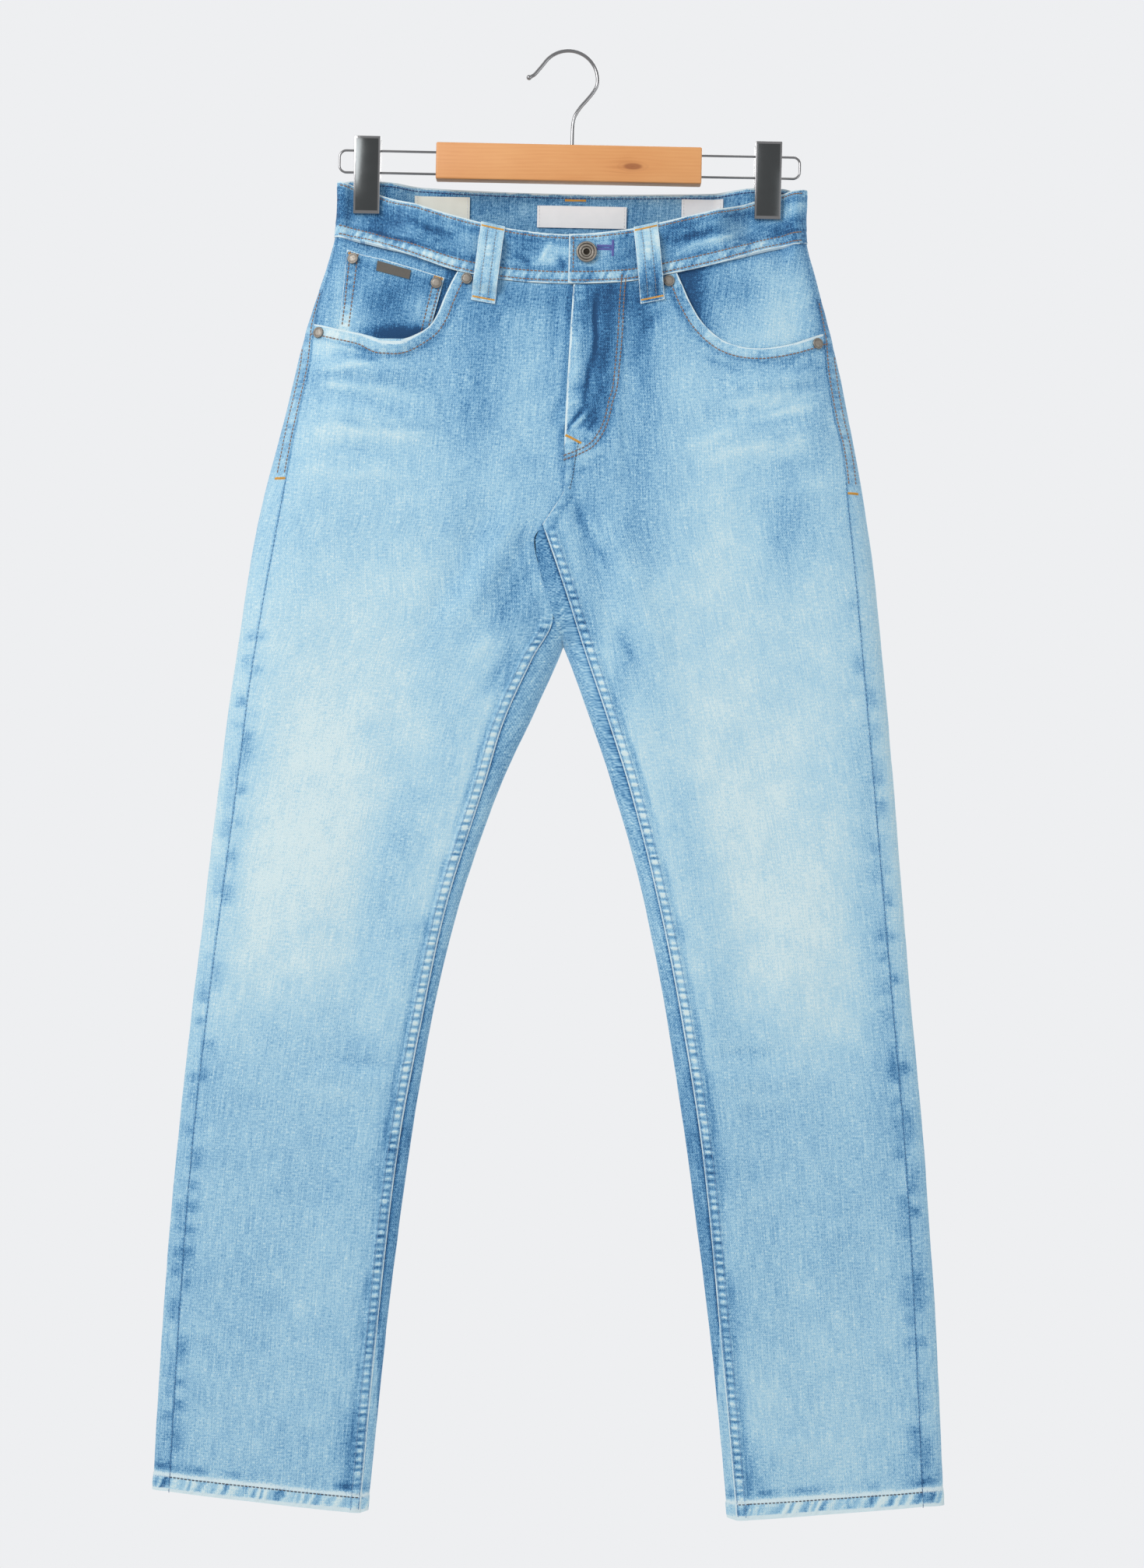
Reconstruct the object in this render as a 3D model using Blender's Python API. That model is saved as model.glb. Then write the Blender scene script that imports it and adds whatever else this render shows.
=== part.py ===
"""Slim jeans hung by their waistband from a wooden clip hanger.

The origin is the inside of the hook's crown, where a rail carries the hanger. +Z is up, +X is to the
right of someone who faces the fly, and the front of the jeans faces -Y. Sizes below are millimetres;
"drop" is the distance below the hook's crown, and x is measured from the hanger's stem.
"""

import bpy
import bmesh
import numpy as np
from mathutils import Vector

MM = 0.001
STEM_X = 4.3  # the stem stands this far to the right of the crown

# Cloth and seams
DENIM = 1.2  # wall of a single panel
BAND = 2.6  # wall of the waistband, two layers and their turnings
BAND_PROUD = 1.0  # the waistband stands out this far from the panels
GAP = 0.3  # pieces are this far apart at a seam
PARTING = 0.8  # and the stretches of a long panel this far, where it turns in at the crotch too
TUCKED = 0.6  # and an edge this far below the proud edge of the waistband
FRONT, FOLD, BACK = -1.0, 0.0, 1.0

# The silhouette, from the waist to the hems: drop, wearer's right side, wearer's left side
OUTER = np.array([
    (105, -191.5, 193.5),
    (155, -193.5, 194.5),
    (180, -199.5, 201.5),
    (229, -214.5, 215.5),
    (300, -231.0, 232.5),
    (400, -253.5, 251.5),
    (500, -267.5, 264.5),
    (600, -279.0, 275.0),
    (750, -294.0, 290.0),
    (900, -308.0, 306.0),
    (1050, -317.5, 319.0),
    (1210, -323.5, 329.0),
])

# The edges of the gap between the legs, from its top to the hems
GAP_TOP = (1.0, 488.0)
INNER = np.array([
    (488, 1.0, 1.0),
    (500, -3.5, 6.0),
    (540, -20.5, 21.5),
    (600, -47.0, 43.0),
    (700, -80.0, 72.5),
    (800, -101.5, 93.5),
    (900, -117.0, 110.5),
    (1050, -133.0, 132.5),
    (1210, -146.5, 151.5),
])

# Where the side seams lie: just in front of the outer folds
SIDE_SEAM = np.array([
    (153, -191.0, 192.0),
    (180, -196.5, 197.5),
    (229, -208.5, 208.5),
    (262, -211.0, 212.0),
    (300, -218.5, 219.5),
    (320, -222.5, 225.0),
    (380, -232.5, 233.0),
    (500, -252.0, 247.0),
    (600, -263.5, 258.0),
    (750, -280.5, 274.0),
    (900, -295.0, 290.0),
    (1050, -303.5, 301.5),
    (1210, -309.5, 311.5),
])

# The crotch: where the front seam ends, and where the right inseam comes out from under the seat
FORK = (-18.0, 390.0)
TUCK = (-8.0, 465.0)
SEAT_LOW = (-0.5, 483.0)  # where the seat comes forward between the legs, just above the gap's top

# The front edges of the inseams, from the fork to the hems. Down to the tuck, the right one is the
# line where the seat hangs over it.
INSEAM_RIGHT = np.array([
    (390, -18.0),
    (403, -24.5),
    (430, -18.5),
    (465, -8.0),
    (500, -24.5),
    (550, -46.0),
    (600, -60.5),
    (700, -90.0),
    (800, -109.5),
    (900, -126.0),
    (1050, -140.5),
    (1210, -152.5),
])
INSEAM_LEFT = np.array([
    (390, -18.0),
    (440, 0.5),
    (500, 21.5),
    (550, 39.5),
    (600, 56.5),
    (700, 84.0),
    (800, 105.5),
    (900, 123.0),
    (1050, 141.0),
    (1210, 158.5),
])

# The fly's edge, which becomes the front seam: drop, x
FLY_EDGE = np.array([
    (190, 3.5), (230, 1.6), (270, 0.0), (318, -1.5), (364, -2.0), (377, -9.8), (390, -18.0),
])

# The waistband's edges all round: x, front top, front seam, back top, back seam
WAIST = np.array([
    (-194, 109.5, 155.5, 109.5, 155.5),
    (-168, 117.0, 161.5, 109.0, 154.0),
    (-130, 130.0, 173.0, 109.5, 153.0),
    (-90, 141.5, 185.5, 111.0, 153.0),
    (-50, 150.0, 192.0, 112.0, 153.0),
    (0, 154.0, 194.0, 112.5, 153.0),
    (45, 149.0, 191.5, 112.0, 153.0),
    (85, 139.5, 183.5, 111.0, 152.5),
    (125, 129.0, 173.5, 109.5, 152.0),
    (161, 116.5, 161.5, 108.0, 152.5),
    (194, 109.5, 153.5, 109.5, 153.5),
])

# How full the hollow is: drop, half depth in front, half depth behind, width of the rounded edge
FULLNESS = np.array([
    (105, 22.0, 20.0, 95),
    (150, 23.0, 21.0, 95),
    (200, 23.0, 25.0, 95),
    (300, 23.0, 29.0, 90),
    (400, 22.0, 29.0, 80),
    (488, 19.0, 24.0, 70),
    (600, 15.0, 17.0, 62),
    (750, 12.0, 12.5, 60),
    (900, 10.5, 10.5, 60),
    (1050, 9.8, 9.8, 60),
    (1210, 9.5, 9.5, 60),
])

# The two clips: x of the middle, top drop, bottom drop
CLIPS = {"right": (-167.8, 74.0, 137.0), "left": (161.2, 72.0, 135.0)}
CLIP_WIDTH = 21.5
PINCHED_HALF = 2.6  # half depth of the panels where a clip pinches them
PINCH_FLAT = 12.5  # flat on each side of the clip's middle
PINCH_FADE_IN, PINCH_FADE_OUT = 32.0, 11.0  # towards the fly, towards the fold
PINCH_ENDS = (142.0, 176.0)  # drops between which the pinch dies away

# The largest soft folds: face, start x, start drop, end x, end drop, half width, height
FOLDS = np.array([
    (FRONT, -205, 262, -120, 276, 9, 1.6),
    (FRONT, -212, 300, -95, 312, 11, 1.8),
    (FRONT, 208, 262, 120, 284, 9, 1.5),
    (FRONT, 214, 306, 110, 318, 11, 1.7),
    (FRONT, 18, 205, 22, 300, 7, -1.6),
    (FRONT, -34, 372, -78, 470, 12, 2.2),
    (FRONT, -55, 360, -110, 480, 13, -1.8),
    (FRONT, 8, 372, 52, 500, 11, -2.0),
    (FRONT, 30, 360, 90, 520, 13, 1.8),
    (FRONT, -150, 205, -158, 222, 9, -1.0),
    (FRONT, -235, 560, -170, 840, 30, 1.6),
    (FRONT, -150, 620, -195, 1000, 26, -1.3),
    (FRONT, 225, 540, 180, 860, 30, 1.5),
    (FRONT, 140, 640, 195, 1020, 26, -1.3),
    (FRONT, -205, 842, -130, 850, 10, 1.0),
    (FRONT, 130, 845, 210, 838, 10, 1.0),
    (BACK, -205, 330, -60, 380, 34, 1.6),
    (BACK, 205, 336, 62, 384, 34, 1.6),
    (BACK, -120, 428, -30, 474, 16, -2.0),
    (BACK, 120, 432, 32, 474, 16, -2.0),
    (BACK, -150, 478, -50, 508, 13, 1.8),
    (BACK, 152, 480, 56, 512, 13, 1.8),
    (BACK, -240, 600, -190, 900, 30, 1.5),
    (BACK, 238, 620, 190, 900, 30, 1.5),
    (BACK, -220, 820, -140, 842, 12, 1.4),
    (BACK, 220, 828, 138, 846, 12, 1.4),
])


def curve(table, column):
    """A smooth monotone curve through a table's rows, as a function of its first column."""
    knots, values = table[:, 0].astype(float), table[:, column].astype(float)
    steps = np.diff(knots)
    slopes = np.diff(values) / steps
    tangents = np.concatenate([slopes[:1], (slopes[:-1] + slopes[1:]) / 2, slopes[-1:]])
    turning = slopes[:-1] * slopes[1:] <= 0
    tangents[1:-1][turning] = 0.0

    def at(where):
        where = np.clip(np.asarray(where, float), knots[0], knots[-1])
        row = np.clip(np.searchsorted(knots, where, side="right") - 1, 0, len(steps) - 1)
        t = (where - knots[row]) / steps[row]
        rise = slopes[row] * steps[row]
        start, end = tangents[row] * steps[row], tangents[row + 1] * steps[row]
        bend = (start - rise) * (1 - t) - (end - rise) * t
        return values[row] + t * rise + t * (1 - t) * bend

    return at


OUTER_X = {"right": curve(OUTER, 1), "left": curve(OUTER, 2)}
INNER_X = {"right": curve(INNER, 1), "left": curve(INNER, 2)}
SIDE_X = {"right": curve(SIDE_SEAM, 1), "left": curve(SIDE_SEAM, 2)}
INSEAM_X = {"right": curve(INSEAM_RIGHT, 1), "left": curve(INSEAM_LEFT, 1)}
FLY_X = curve(FLY_EDGE, 1)
FRONT_TOP, FRONT_SEAM, BACK_TOP, BACK_SEAM = (curve(WAIST, n) for n in (1, 2, 3, 4))
FULL_FRONT, FULL_BACK, EDGE_WIDTH = (curve(FULLNESS, n) for n in (1, 2, 3))
SIGN = {"right": -1.0, "left": 1.0}


def smooth(low, high, value):
    """0 below low, 1 above high, and an S between them."""
    t = np.clip((np.asarray(value, float) - low) / (high - low), 0.0, 1.0)
    return t * t * (3 - 2 * t)


def to_line(x, drop, points):
    """Distance from each place to a line through points."""
    best = np.full(np.shape(x), 1e9)
    for (x0, d0), (x1, d1) in zip(points[:-1], points[1:]):
        length = (x1 - x0) ** 2 + (d1 - d0) ** 2
        t = np.clip(((x - x0) * (x1 - x0) + (drop - d0) * (d1 - d0)) / length, 0, 1)
        away = np.hypot(x - x0 - t * (x1 - x0), drop - d0 - t * (d1 - d0))
        best = np.minimum(best, away)
    return best


def gap_outline():
    """The gap between the legs as one line, up the right leg, over the crotch and down the left."""
    drops = np.concatenate([np.arange(488, 620, 8.0), np.arange(620, 1241, 30.0)])
    right = [(float(INNER_X["right"](d)), d) for d in drops[::-1]]
    return right + [(float(INNER_X["left"](d)), d) for d in drops[1:]]


GAP_LINE = gap_outline()


def pinch(x, drop):
    """1 where a clip holds front and back together, fading to 0 round it."""
    found = np.zeros(np.shape(x))
    for side, (middle, _, _) in CLIPS.items():
        outward = SIGN[side] * (x - middle)
        fade = np.where(outward > 0, PINCH_FADE_OUT, PINCH_FADE_IN)
        away = np.clip((np.abs(outward) - PINCH_FLAT) / fade, 0.0, 1.0)
        found = np.maximum(found, 1 - smooth(0, 1, away))
    return found * (1 - smooth(*PINCH_ENDS, drop))


def half_depth(x, drop, face):
    """Half the depth of the hung garment, from its middle plane to the base surface of a face."""
    edge = EDGE_WIDTH(drop)
    share = 1.0
    outer_right = x - OUTER_X["right"](drop)
    outer_left = OUTER_X["left"](drop) - x
    for away in (np.minimum(outer_right, outer_left), to_line(x, drop, GAP_LINE)):
        share = share * (1 - (1 - np.clip(away / edge, 0.0, 1.0)) ** 3)
    full = np.where(np.asarray(face) > 0, FULL_BACK(drop), FULL_FRONT(drop))
    held = pinch(x, drop)
    return (1 - held) * full * np.sqrt(share) + held * PINCHED_HALF


def fold_height(x, drop, face):
    """How far the soft folds lift or sink a place."""
    height = np.zeros(np.shape(x))
    for on, x0, d0, x1, d1, width, rise in FOLDS:
        length = np.hypot(x1 - x0, d1 - d0)
        along = ((x - x0) * (x1 - x0) + (drop - d0) * (d1 - d0)) / length
        across = ((x - x0) * (d1 - d0) - (drop - d0) * (x1 - x0)) / length
        taper = smooth(-0.1, 0.3, along / length) * (1 - smooth(0.7, 1.1, along / length))
        height = height + rise * taper * np.exp(-((across / width) ** 2)) * (np.asarray(face) == on)
    return height


def place(x, drop, face, out):
    """Places on the garment, in metres: out is the distance outwards from the base surface."""
    x, drop, face, out = np.broadcast_arrays(*(np.asarray(v, float) for v in (x, drop, face, out)))
    depth = np.where(face == FOLD, 0.0, half_depth(x, drop, face))
    y = face * depth
    middle = np.where(
        drop < GAP_TOP[1], 0.0, np.sign(x) * (np.abs(INNER_X["left"](drop)) + np.abs(x) + 60) / 2
    )
    inward = np.where(face == FOLD, 0.8 * np.sign(middle - x), 0.0)
    step = 0.35
    side = np.where(face == FOLD, FRONT, face)

    def square(dx, dd):
        return half_depth(x + inward + dx, drop + dd, side) ** 2

    normal = np.stack([
        -(square(step, 0) - square(-step, 0)) / (2 * step),
        2 * y,
        (square(0, step) - square(0, -step)) / (2 * step),
    ], axis=-1)
    normal /= np.maximum(np.linalg.norm(normal, axis=-1, keepdims=True), 1e-9)
    rise = out + fold_height(x, drop, face)
    points = np.stack([x + STEM_X, y, -drop], axis=-1) + normal * rise[..., None]
    return points * MM


def finish(obj, colour, roughness=0.8, metallic=0.0):
    material = bpy.data.materials.new(obj.name + "_finish")
    material.use_nodes = True
    shader = material.node_tree.nodes["Principled BSDF"]
    shader.inputs["Base Color"].default_value = (*colour, 1.0)
    shader.inputs["Roughness"].default_value = roughness
    shader.inputs["Metallic"].default_value = metallic
    obj.data.materials.append(material)
    return obj


def solid(name, points, faces, colour, roughness=0.8, metallic=0.0):
    """One named object from points in metres and its faces, turned to point outwards."""
    points = np.asarray(points, float)
    volume = 0.0
    for face in faces:
        for n in range(1, len(face) - 1):
            volume += np.linalg.det(points[[face[0], face[n], face[n + 1]]])
    if volume < 0:
        faces = [tuple(reversed(face)) for face in faces]
    mesh = bpy.data.meshes.new(name)
    mesh.from_pydata([tuple(p) for p in points], [], [tuple(f) for f in faces])
    mesh.validate()
    mesh.shade_smooth()
    obj = bpy.data.objects.new(name, mesh)
    bpy.context.scene.collection.objects.link(obj)
    return finish(obj, colour, roughness, metallic)


def wall(name, x, drop, face, outer, thickness, colour, cells=None):
    """A cloth piece: a grid of places thickened inwards. cells marks the grid's squares that it has."""
    x, drop, face, outer = np.broadcast_arrays(x, drop, face, outer)
    rows, columns = x.shape
    if cells is None:
        cells = np.ones((rows - 1, columns - 1), bool)
    points = np.concatenate([
        place(x, drop, face, outer).reshape(-1, 3),
        place(x, drop, face, outer - thickness).reshape(-1, 3),
    ])
    inner = rows * columns
    faces, edges = [], {}
    for r, c in zip(*np.nonzero(cells)):
        corner = r * columns + c
        ring = (corner, corner + 1, corner + columns + 1, corner + columns)
        faces.append(ring)
        faces.append(tuple(v + inner for v in reversed(ring)))
        for start, end in zip(ring, ring[1:] + ring[:1]):
            edges[(start, end)] = True
    for start, end in edges:
        if (end, start) not in edges:
            faces.append((end, start, start + inner, end + inner))
    used = sorted({v for ring in faces for v in ring})
    renumber = {v: n for n, v in enumerate(used)}
    faces = [tuple(renumber[v] for v in ring) for ring in faces]
    return solid(name, points[used], faces, colour)


# Colours, linear
LIGHT_DENIM = (0.30, 0.52, 0.68)
DEEP_DENIM = (0.16, 0.36, 0.58)
PALE_DENIM = (0.45, 0.63, 0.72)
LABEL_WHITE = (0.80, 0.80, 0.84)
LABEL_CREAM = (0.72, 0.72, 0.66)
TAB_GREY = (0.11, 0.10, 0.09)
AGED_STEEL = (0.34, 0.31, 0.28)
PINE = (0.73, 0.37, 0.14)
CHROME = (0.72, 0.72, 0.74)

# Rows of the panels below the pockets. side is the side seam's drop, front_right and front_left the
# drops where the row meets the front seam or the inseam, and seat the drop at the back seam or the
# inner fold. The 8th row is the crotch's.
ROWS = np.array([
    # side, front_right, front_left, seat
    (229, 318, 318, 262),
    (255, 340, 330, 300),
    (285, 354, 341, 340),
    (320, 364, 351, 385),
    (362, 390, 358, 430),
    (392, 408, 364, 466),
    (421, 436, 377, 481),
    (450, 465, 390, 488),
    (485, 494, 425, 512),
    (520, 529, 470, 542),
    (560, 569, 521, 578),
    (605, 613, 575, 619),
    (655, 662, 634, 667),
    (712, 719, 698, 722),
    (775, 782, 768, 784),
    (845, 852, 843, 853),
    (915, 923, 919, 923),
    (985, 994, 993, 993),
    (1050, 1060, 1060, 1059),
    (1110, 1121, 1121, 1120),
    (1174, 1188, 1188, 1187),
    (1176, 1190, 1190, 1189),
    (1187, 1202, 1202, 1200.5),
], float)
CROTCH_ROW, KNEE_ROW = 7, 14
YOKE_TOP_SIDE, YOKE_TOP_SEAT = 155.0, 153.0  # drops of the yoke's upper edge, at the side and the back seam
YOKE_SIDE, YOKE_SEAT = 200.0, 224.0  # and of its lower seam
YOKE_ROWS = 4
BACK_SEAM_X = 1.0

# The pocket mouths on the fronts, from the waistband to the side seam: x, drop, drop at the fly
MOUTH = {
    "right": np.array([
        (-91.5, 185.3, 194), (-96, 194, 201), (-102, 208, 211), (-107, 221, 223), (-113, 230.5, 235),
        (-122, 237, 248), (-136, 242, 262), (-152, 242, 276), (-168, 238, 290), (-188, 234, 304),
        (-208.5, 229, 318),
    ], float),
    "left": np.array([
        (87.5, 183.2, 194), (92, 193, 201), (98, 206, 211), (106, 219.5, 223), (115, 229.5, 235),
        (127, 238, 248), (141, 242.5, 262), (155, 243.5, 276), (171, 241.5, 290), (190, 236.5, 304),
        (208.5, 229, 318),
    ], float),
}

HEM_RISE = 0.7  # the turned hem stands this far out
HEM_ROWS = 2  # rows of the grid in the hem
RIDGE_RISE = 0.9  # the lapped inseam stands this far out
RIDGE = (10.5, 9.0, 1.5)  # its outer foot, its shoulder and its edge, from the inseam
FLY_RISE = 2.0  # the closed fly stands out over the right front
FLY_FADE = (40.0, 52.0)  # x between which the fly's rise dies away
UNDERLAP = 7.5  # the right front runs this far under the fly
UNDERLAP_END = (296.0, 316.0)  # drops between which the underlap runs out
FRONT_COLUMNS = 10  # columns of a front, besides those of its inseam
SEAM_RISE = 0.4  # the stitched front seam of the left front
STEP_OVER = 1.2  # the seat hangs over the right front by this much, above the tuck


def fly_rise(x, drop):
    """How far the left front is lifted over the right front, the fly and its shield."""
    return FLY_RISE * (1 - smooth(*FLY_FADE, x)) * (1 - smooth(322, 372, drop))


def split_wall(name, x, drop, face, outer, first_row, cells=None):
    """A long panel as three solids, parted at the crotch and the knee, so that each bends around less of
    the hollow. first_row is the grid's row that the first of ROWS makes."""
    rows, columns = x.shape
    face, outer = np.broadcast_to(face, x.shape), np.broadcast_to(outer, x.shape)
    if cells is None:
        cells = np.ones((rows - 1, columns - 1), bool)
    stops = [0, first_row + CROTCH_ROW, first_row + KNEE_ROW, rows - 1]
    for stretch, start, end in zip(("hip", "thigh", "calf"), stops[:-1], stops[1:]):
        part_drop = drop[start:end + 1].copy()
        if start:
            part_drop[0] += PARTING
        wall(
            f"{name}_{stretch}", x[start:end + 1], part_drop, face[start:end + 1], outer[start:end + 1],
            DENIM, LIGHT_DENIM, cells[start:end],
        )


def front_panel(side):
    """A leg's front, from the waistband to the hem, with the pocket mouth cut from its corner."""
    sign = SIGN[side]
    mouth = MOUTH[side]
    below = ROWS[1:]
    column = 1 if side == "right" else 2
    outer_drop = np.concatenate([mouth[:, 1], below[:, 0]])
    outer_x = np.concatenate([mouth[:, 0], SIDE_X[side](below[:, 0])])
    outer_x = outer_x - sign * GAP / 2
    inner_drop = np.concatenate([mouth[:, 2], below[:, column]])
    on_front_seam = inner_drop <= FORK[1] + 0.01
    inner_x = np.where(on_front_seam, FLY_X(inner_drop), INSEAM_X[side](inner_drop))
    if side == "right":
        under = UNDERLAP * (1 - smooth(*UNDERLAP_END, inner_drop))
        inner_x = inner_x + under - GAP / 2
    else:
        inner_x = inner_x + GAP / 2
    top = np.arange(len(outer_drop)) == 0
    inner_drop = inner_drop + np.where(top, GAP, 0)
    outer_drop = outer_drop + np.where(top, GAP, 0)
    across = np.hypot(outer_x - inner_x, outer_drop - inner_drop)
    main = np.linspace(0.0, 1.0, FRONT_COLUMNS)[None, :] * (1 - RIDGE[0] / across)[:, None]
    ridge = 1 - np.array(RIDGE[1:] + (0.0,))[None, :] / across[:, None]
    shares = np.concatenate([main, ridge], axis=1)
    x = outer_x[:, None] + (inner_x - outer_x)[:, None] * shares
    drop = outer_drop[:, None] + (inner_drop - outer_drop)[:, None] * shares
    drop[0] = np.maximum(drop[0], FRONT_SEAM(x[0]) + TUCKED)
    rise = np.zeros_like(x)
    rise[-HEM_ROWS:] += HEM_RISE
    start = len(mouth) + (4 if side == "right" else CROTCH_ROW)
    rise[start:, -2:] += RIDGE_RISE
    if side == "left":
        rise += fly_rise(x, drop)
        rise[len(mouth) - 1:start, -2:] += SEAM_RISE
    else:
        under_seat = slice(len(mouth) + 3, len(mouth) + CROTCH_ROW - 1)
        rise[under_seat, -3:] = 0.0
    split_wall("front_" + side, x, drop, FRONT, rise, len(mouth) - 1)


STRIP = np.array([0.0, 0.5, 0.85, 1.0])  # from the side seam to the outer fold
NEAR_FOLD = (2.0, 7.0, 17.0)  # columns beside a fold
SEAT_COLUMNS = 8


def back_row(side, side_drop, seat_drop, seam_x):
    """x, drop and face of a back panel's columns, from the side seam round the fold to its far edge."""
    sign = SIGN[side]
    seam = SIDE_X[side](side_drop) + sign * GAP / 2
    fold = OUTER_X[side](side_drop)
    x = list(seam + (fold - seam) * STRIP)
    drop = [side_drop] * len(STRIP)
    face = [FRONT] * (len(STRIP) - 1) + [FOLD]
    across = np.hypot(fold - seam_x, side_drop - seat_drop)
    close = np.array(NEAR_FOLD) / across
    shares = np.concatenate([
        close, np.linspace(close[-1], 1 - close[-1], SEAT_COLUMNS)[1:-1], 1 - close[::-1], [1.0],
    ])
    x += list(fold + (seam_x - fold) * shares)
    drop += list(side_drop + (seat_drop - side_drop) * shares)
    face += [BACK] * len(shares)
    return x, drop, face


TUCK_SHARES = (0.06, 0.28, 0.55, 0.8, 1.0)  # from the inner fold to the inseam


def tongue_top(side):
    """The top edge of the seat's front part: from the gap's top to the tuck, and on to the fork."""
    if side == "left":
        line = [SEAT_LOW, TUCK]
        line += [(float(INSEAM_X["right"](d)), d) for d in (436.0, 408.0)]
        line += [FORK]
    else:
        near = np.array(SEAT_LOW)
        step = (np.array(TUCK) - near) / 4
        line = [tuple(near + step * n) for n in range(5)]
    return np.array(line, float)


def back_panel(side):
    """A leg's back, from the yoke to the hem, round both folds to the side seam and the inseam."""
    sign = SIGN[side]
    rows = np.concatenate([[(YOKE_SIDE + GAP / 2, 0, 0, YOKE_SEAT + GAP / 2)], ROWS])
    crotch = CROTCH_ROW + 1
    x, drop, face = [], [], []
    column = 1 if side == "right" else 2
    for n, row in enumerate(rows):
        in_leg = n >= crotch
        end_x = INNER_X[side](row[3]) if in_leg else BACK_SEAM_X + sign * GAP / 2
        row_x, row_drop, row_face = back_row(side, row[0], row[3], end_x)
        if in_leg:
            row_face[-1] = FOLD
        start = np.array([row_x[-1], row_drop[-1]])
        if n == crotch:
            tongue = tongue_top(side) + np.array([sign * GAP / 2, GAP / 2])
        else:
            seam = np.array([INSEAM_X[side](row[column]) - sign * GAP / 2, row[column]])
            tongue = start + (seam - start) * np.array(TUCK_SHARES)[:, None]
        row_x += list(tongue[:, 0])
        row_drop += list(tongue[:, 1])
        row_face += [FRONT] * len(tongue)
        x.append(row_x)
        drop.append(row_drop)
        face.append(row_face)
    x, drop, face = (np.array(v, float) for v in (x, drop, face))
    cells = np.ones((len(rows) - 1, x.shape[1] - 1), bool)
    first_tongue = x.shape[1] - len(TUCK_SHARES) - 1
    cells[:crotch, first_tongue:] = False
    rise = np.zeros_like(x)
    rise[-HEM_ROWS:] += HEM_RISE
    if side == "left":
        rise[crotch, -4:-1] += STEP_OVER
        rise[crotch + 1, -3:-1] += STEP_OVER / 2
    split_wall("back_" + side, x, drop, face, rise, 1, cells)


def yoke(side):
    """The yoke between the waistband and a back panel, deeper at the back seam than at the side."""
    sign = SIGN[side]
    x, drop, face = [], [], []
    for share in np.linspace(0.0, 1.0, YOKE_ROWS):
        side_drop = YOKE_TOP_SIDE + (YOKE_SIDE - GAP / 2 - YOKE_TOP_SIDE) * share
        seat_drop = YOKE_TOP_SEAT + (YOKE_SEAT - GAP / 2 - YOKE_TOP_SEAT) * share
        row_x, row_drop, row_face = back_row(side, side_drop, seat_drop, BACK_SEAM_X + sign * GAP / 2)
        x.append(row_x)
        drop.append(row_drop)
        face.append(row_face)
    x, drop, face = (np.array(v, float) for v in (x, drop, face))
    seam = np.where(face[0] == FRONT, FRONT_SEAM(x[0]), BACK_SEAM(x[0]))
    drop[0] = seam + TUCKED
    return wall("yoke_" + side, x, drop, face, 0.0, DENIM, LIGHT_DENIM)


BAND_FRONT = (28, 10, -10, -35, -60, -85, -108, -126, -141, -155, -168, -180)
BAND_BACK = (
    -180, -168, -155, -147, -139, -131, -123, -115, -104, -92, -78, -52, -26, 0,
    26, 52, 76, 92, 100, 108, 116, 124, 132, 140, 148.5, 161, 174,
)
BAND_LAP = (174, 161, 148.5, 134, 119, 98, 75, 60, 49, 42, 35, 28, 14, -1)
BAND_ROWS = (0.0, 0.5, 0.78, 1.0)
BAND_FOLD = (8.0, 4.0, 1.2)  # columns beside a fold
LAP_RISE = 3.0  # the buttoned end lies on the other end
LAP_FADE = (28.0, 49.0)


def waistband():
    """The waistband, one strip all round from its underlap to the buttoned end that laps over it."""
    columns = [(x, None, FRONT, 0.0) for x in BAND_FRONT]
    columns += [(None, ("right", e), FRONT, 0.0) for e in BAND_FOLD]
    columns += [(None, ("right", 0.0), FOLD, 0.0)]
    columns += [(None, ("right", e), BACK, 0.0) for e in BAND_FOLD[::-1]]
    columns += [(x, None, BACK, 0.0) for x in BAND_BACK]
    columns += [(None, ("left", e), BACK, 0.0) for e in BAND_FOLD]
    columns += [(None, ("left", 0.0), FOLD, 0.0)]
    columns += [(None, ("left", e), FRONT, 0.0) for e in BAND_FOLD[::-1]]
    columns += [(x, None, FRONT, LAP_RISE * float(1 - smooth(*LAP_FADE, x))) for x in BAND_LAP]
    x, drop, face, rise = [], [], [], []
    for share in BAND_ROWS:
        line = []
        for along, near_fold, on, lift in columns:
            if near_fold:
                side, away = near_fold
                at = float(OUTER_X[side](130.0)) - SIGN[side] * away
            else:
                at = along
            if on == BACK:
                top, seam = BACK_TOP(at), BACK_SEAM(at)
            else:
                top, seam = FRONT_TOP(at), FRONT_SEAM(at)
            level = float(top + (seam - top) * share)
            if near_fold:
                at = float(OUTER_X[side](level)) - SIGN[side] * away
            line.append((at, level, on, BAND_PROUD + lift))
        line = np.array(line)
        x.append(line[:, 0])
        drop.append(line[:, 1])
        face.append(line[:, 2])
        rise.append(line[:, 3])
    return wall("waistband", *(np.array(v) for v in (x, drop, face, rise)), BAND, DEEP_DENIM)


FACING_SINK = {"right": 4.6, "left": 2.6}
FACING_SEAM = (155.5, 228.2)  # drops of the facing's side edge, from its top to its end
# The hidden lower edge of each pocket facing, from the waistband to the side seam: x, drop
FACING_EDGE = {
    "right": np.array([
        (-80, 188), (-82, 200), (-85, 215), (-93, 237), (-110, 252), (-132, 259), (-158, 257),
        (-196, 247),
    ], float),
    "left": np.array([
        (77, 186), (79, 198), (83, 213), (92, 235), (109, 251), (132, 259), (158, 258.5),
        (196, 248),
    ], float),
}


def facing_sink(x, drop, side):
    """How deep a pocket facing lies under the front, rising to meet the side seam."""
    from_seam = np.abs(SIDE_X[side](drop)) - np.abs(x)
    deep = np.maximum(smooth(2, 26, from_seam), smooth(208, 225, drop))
    return 0.2 + (FACING_SINK[side] - 0.2) * deep


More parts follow.
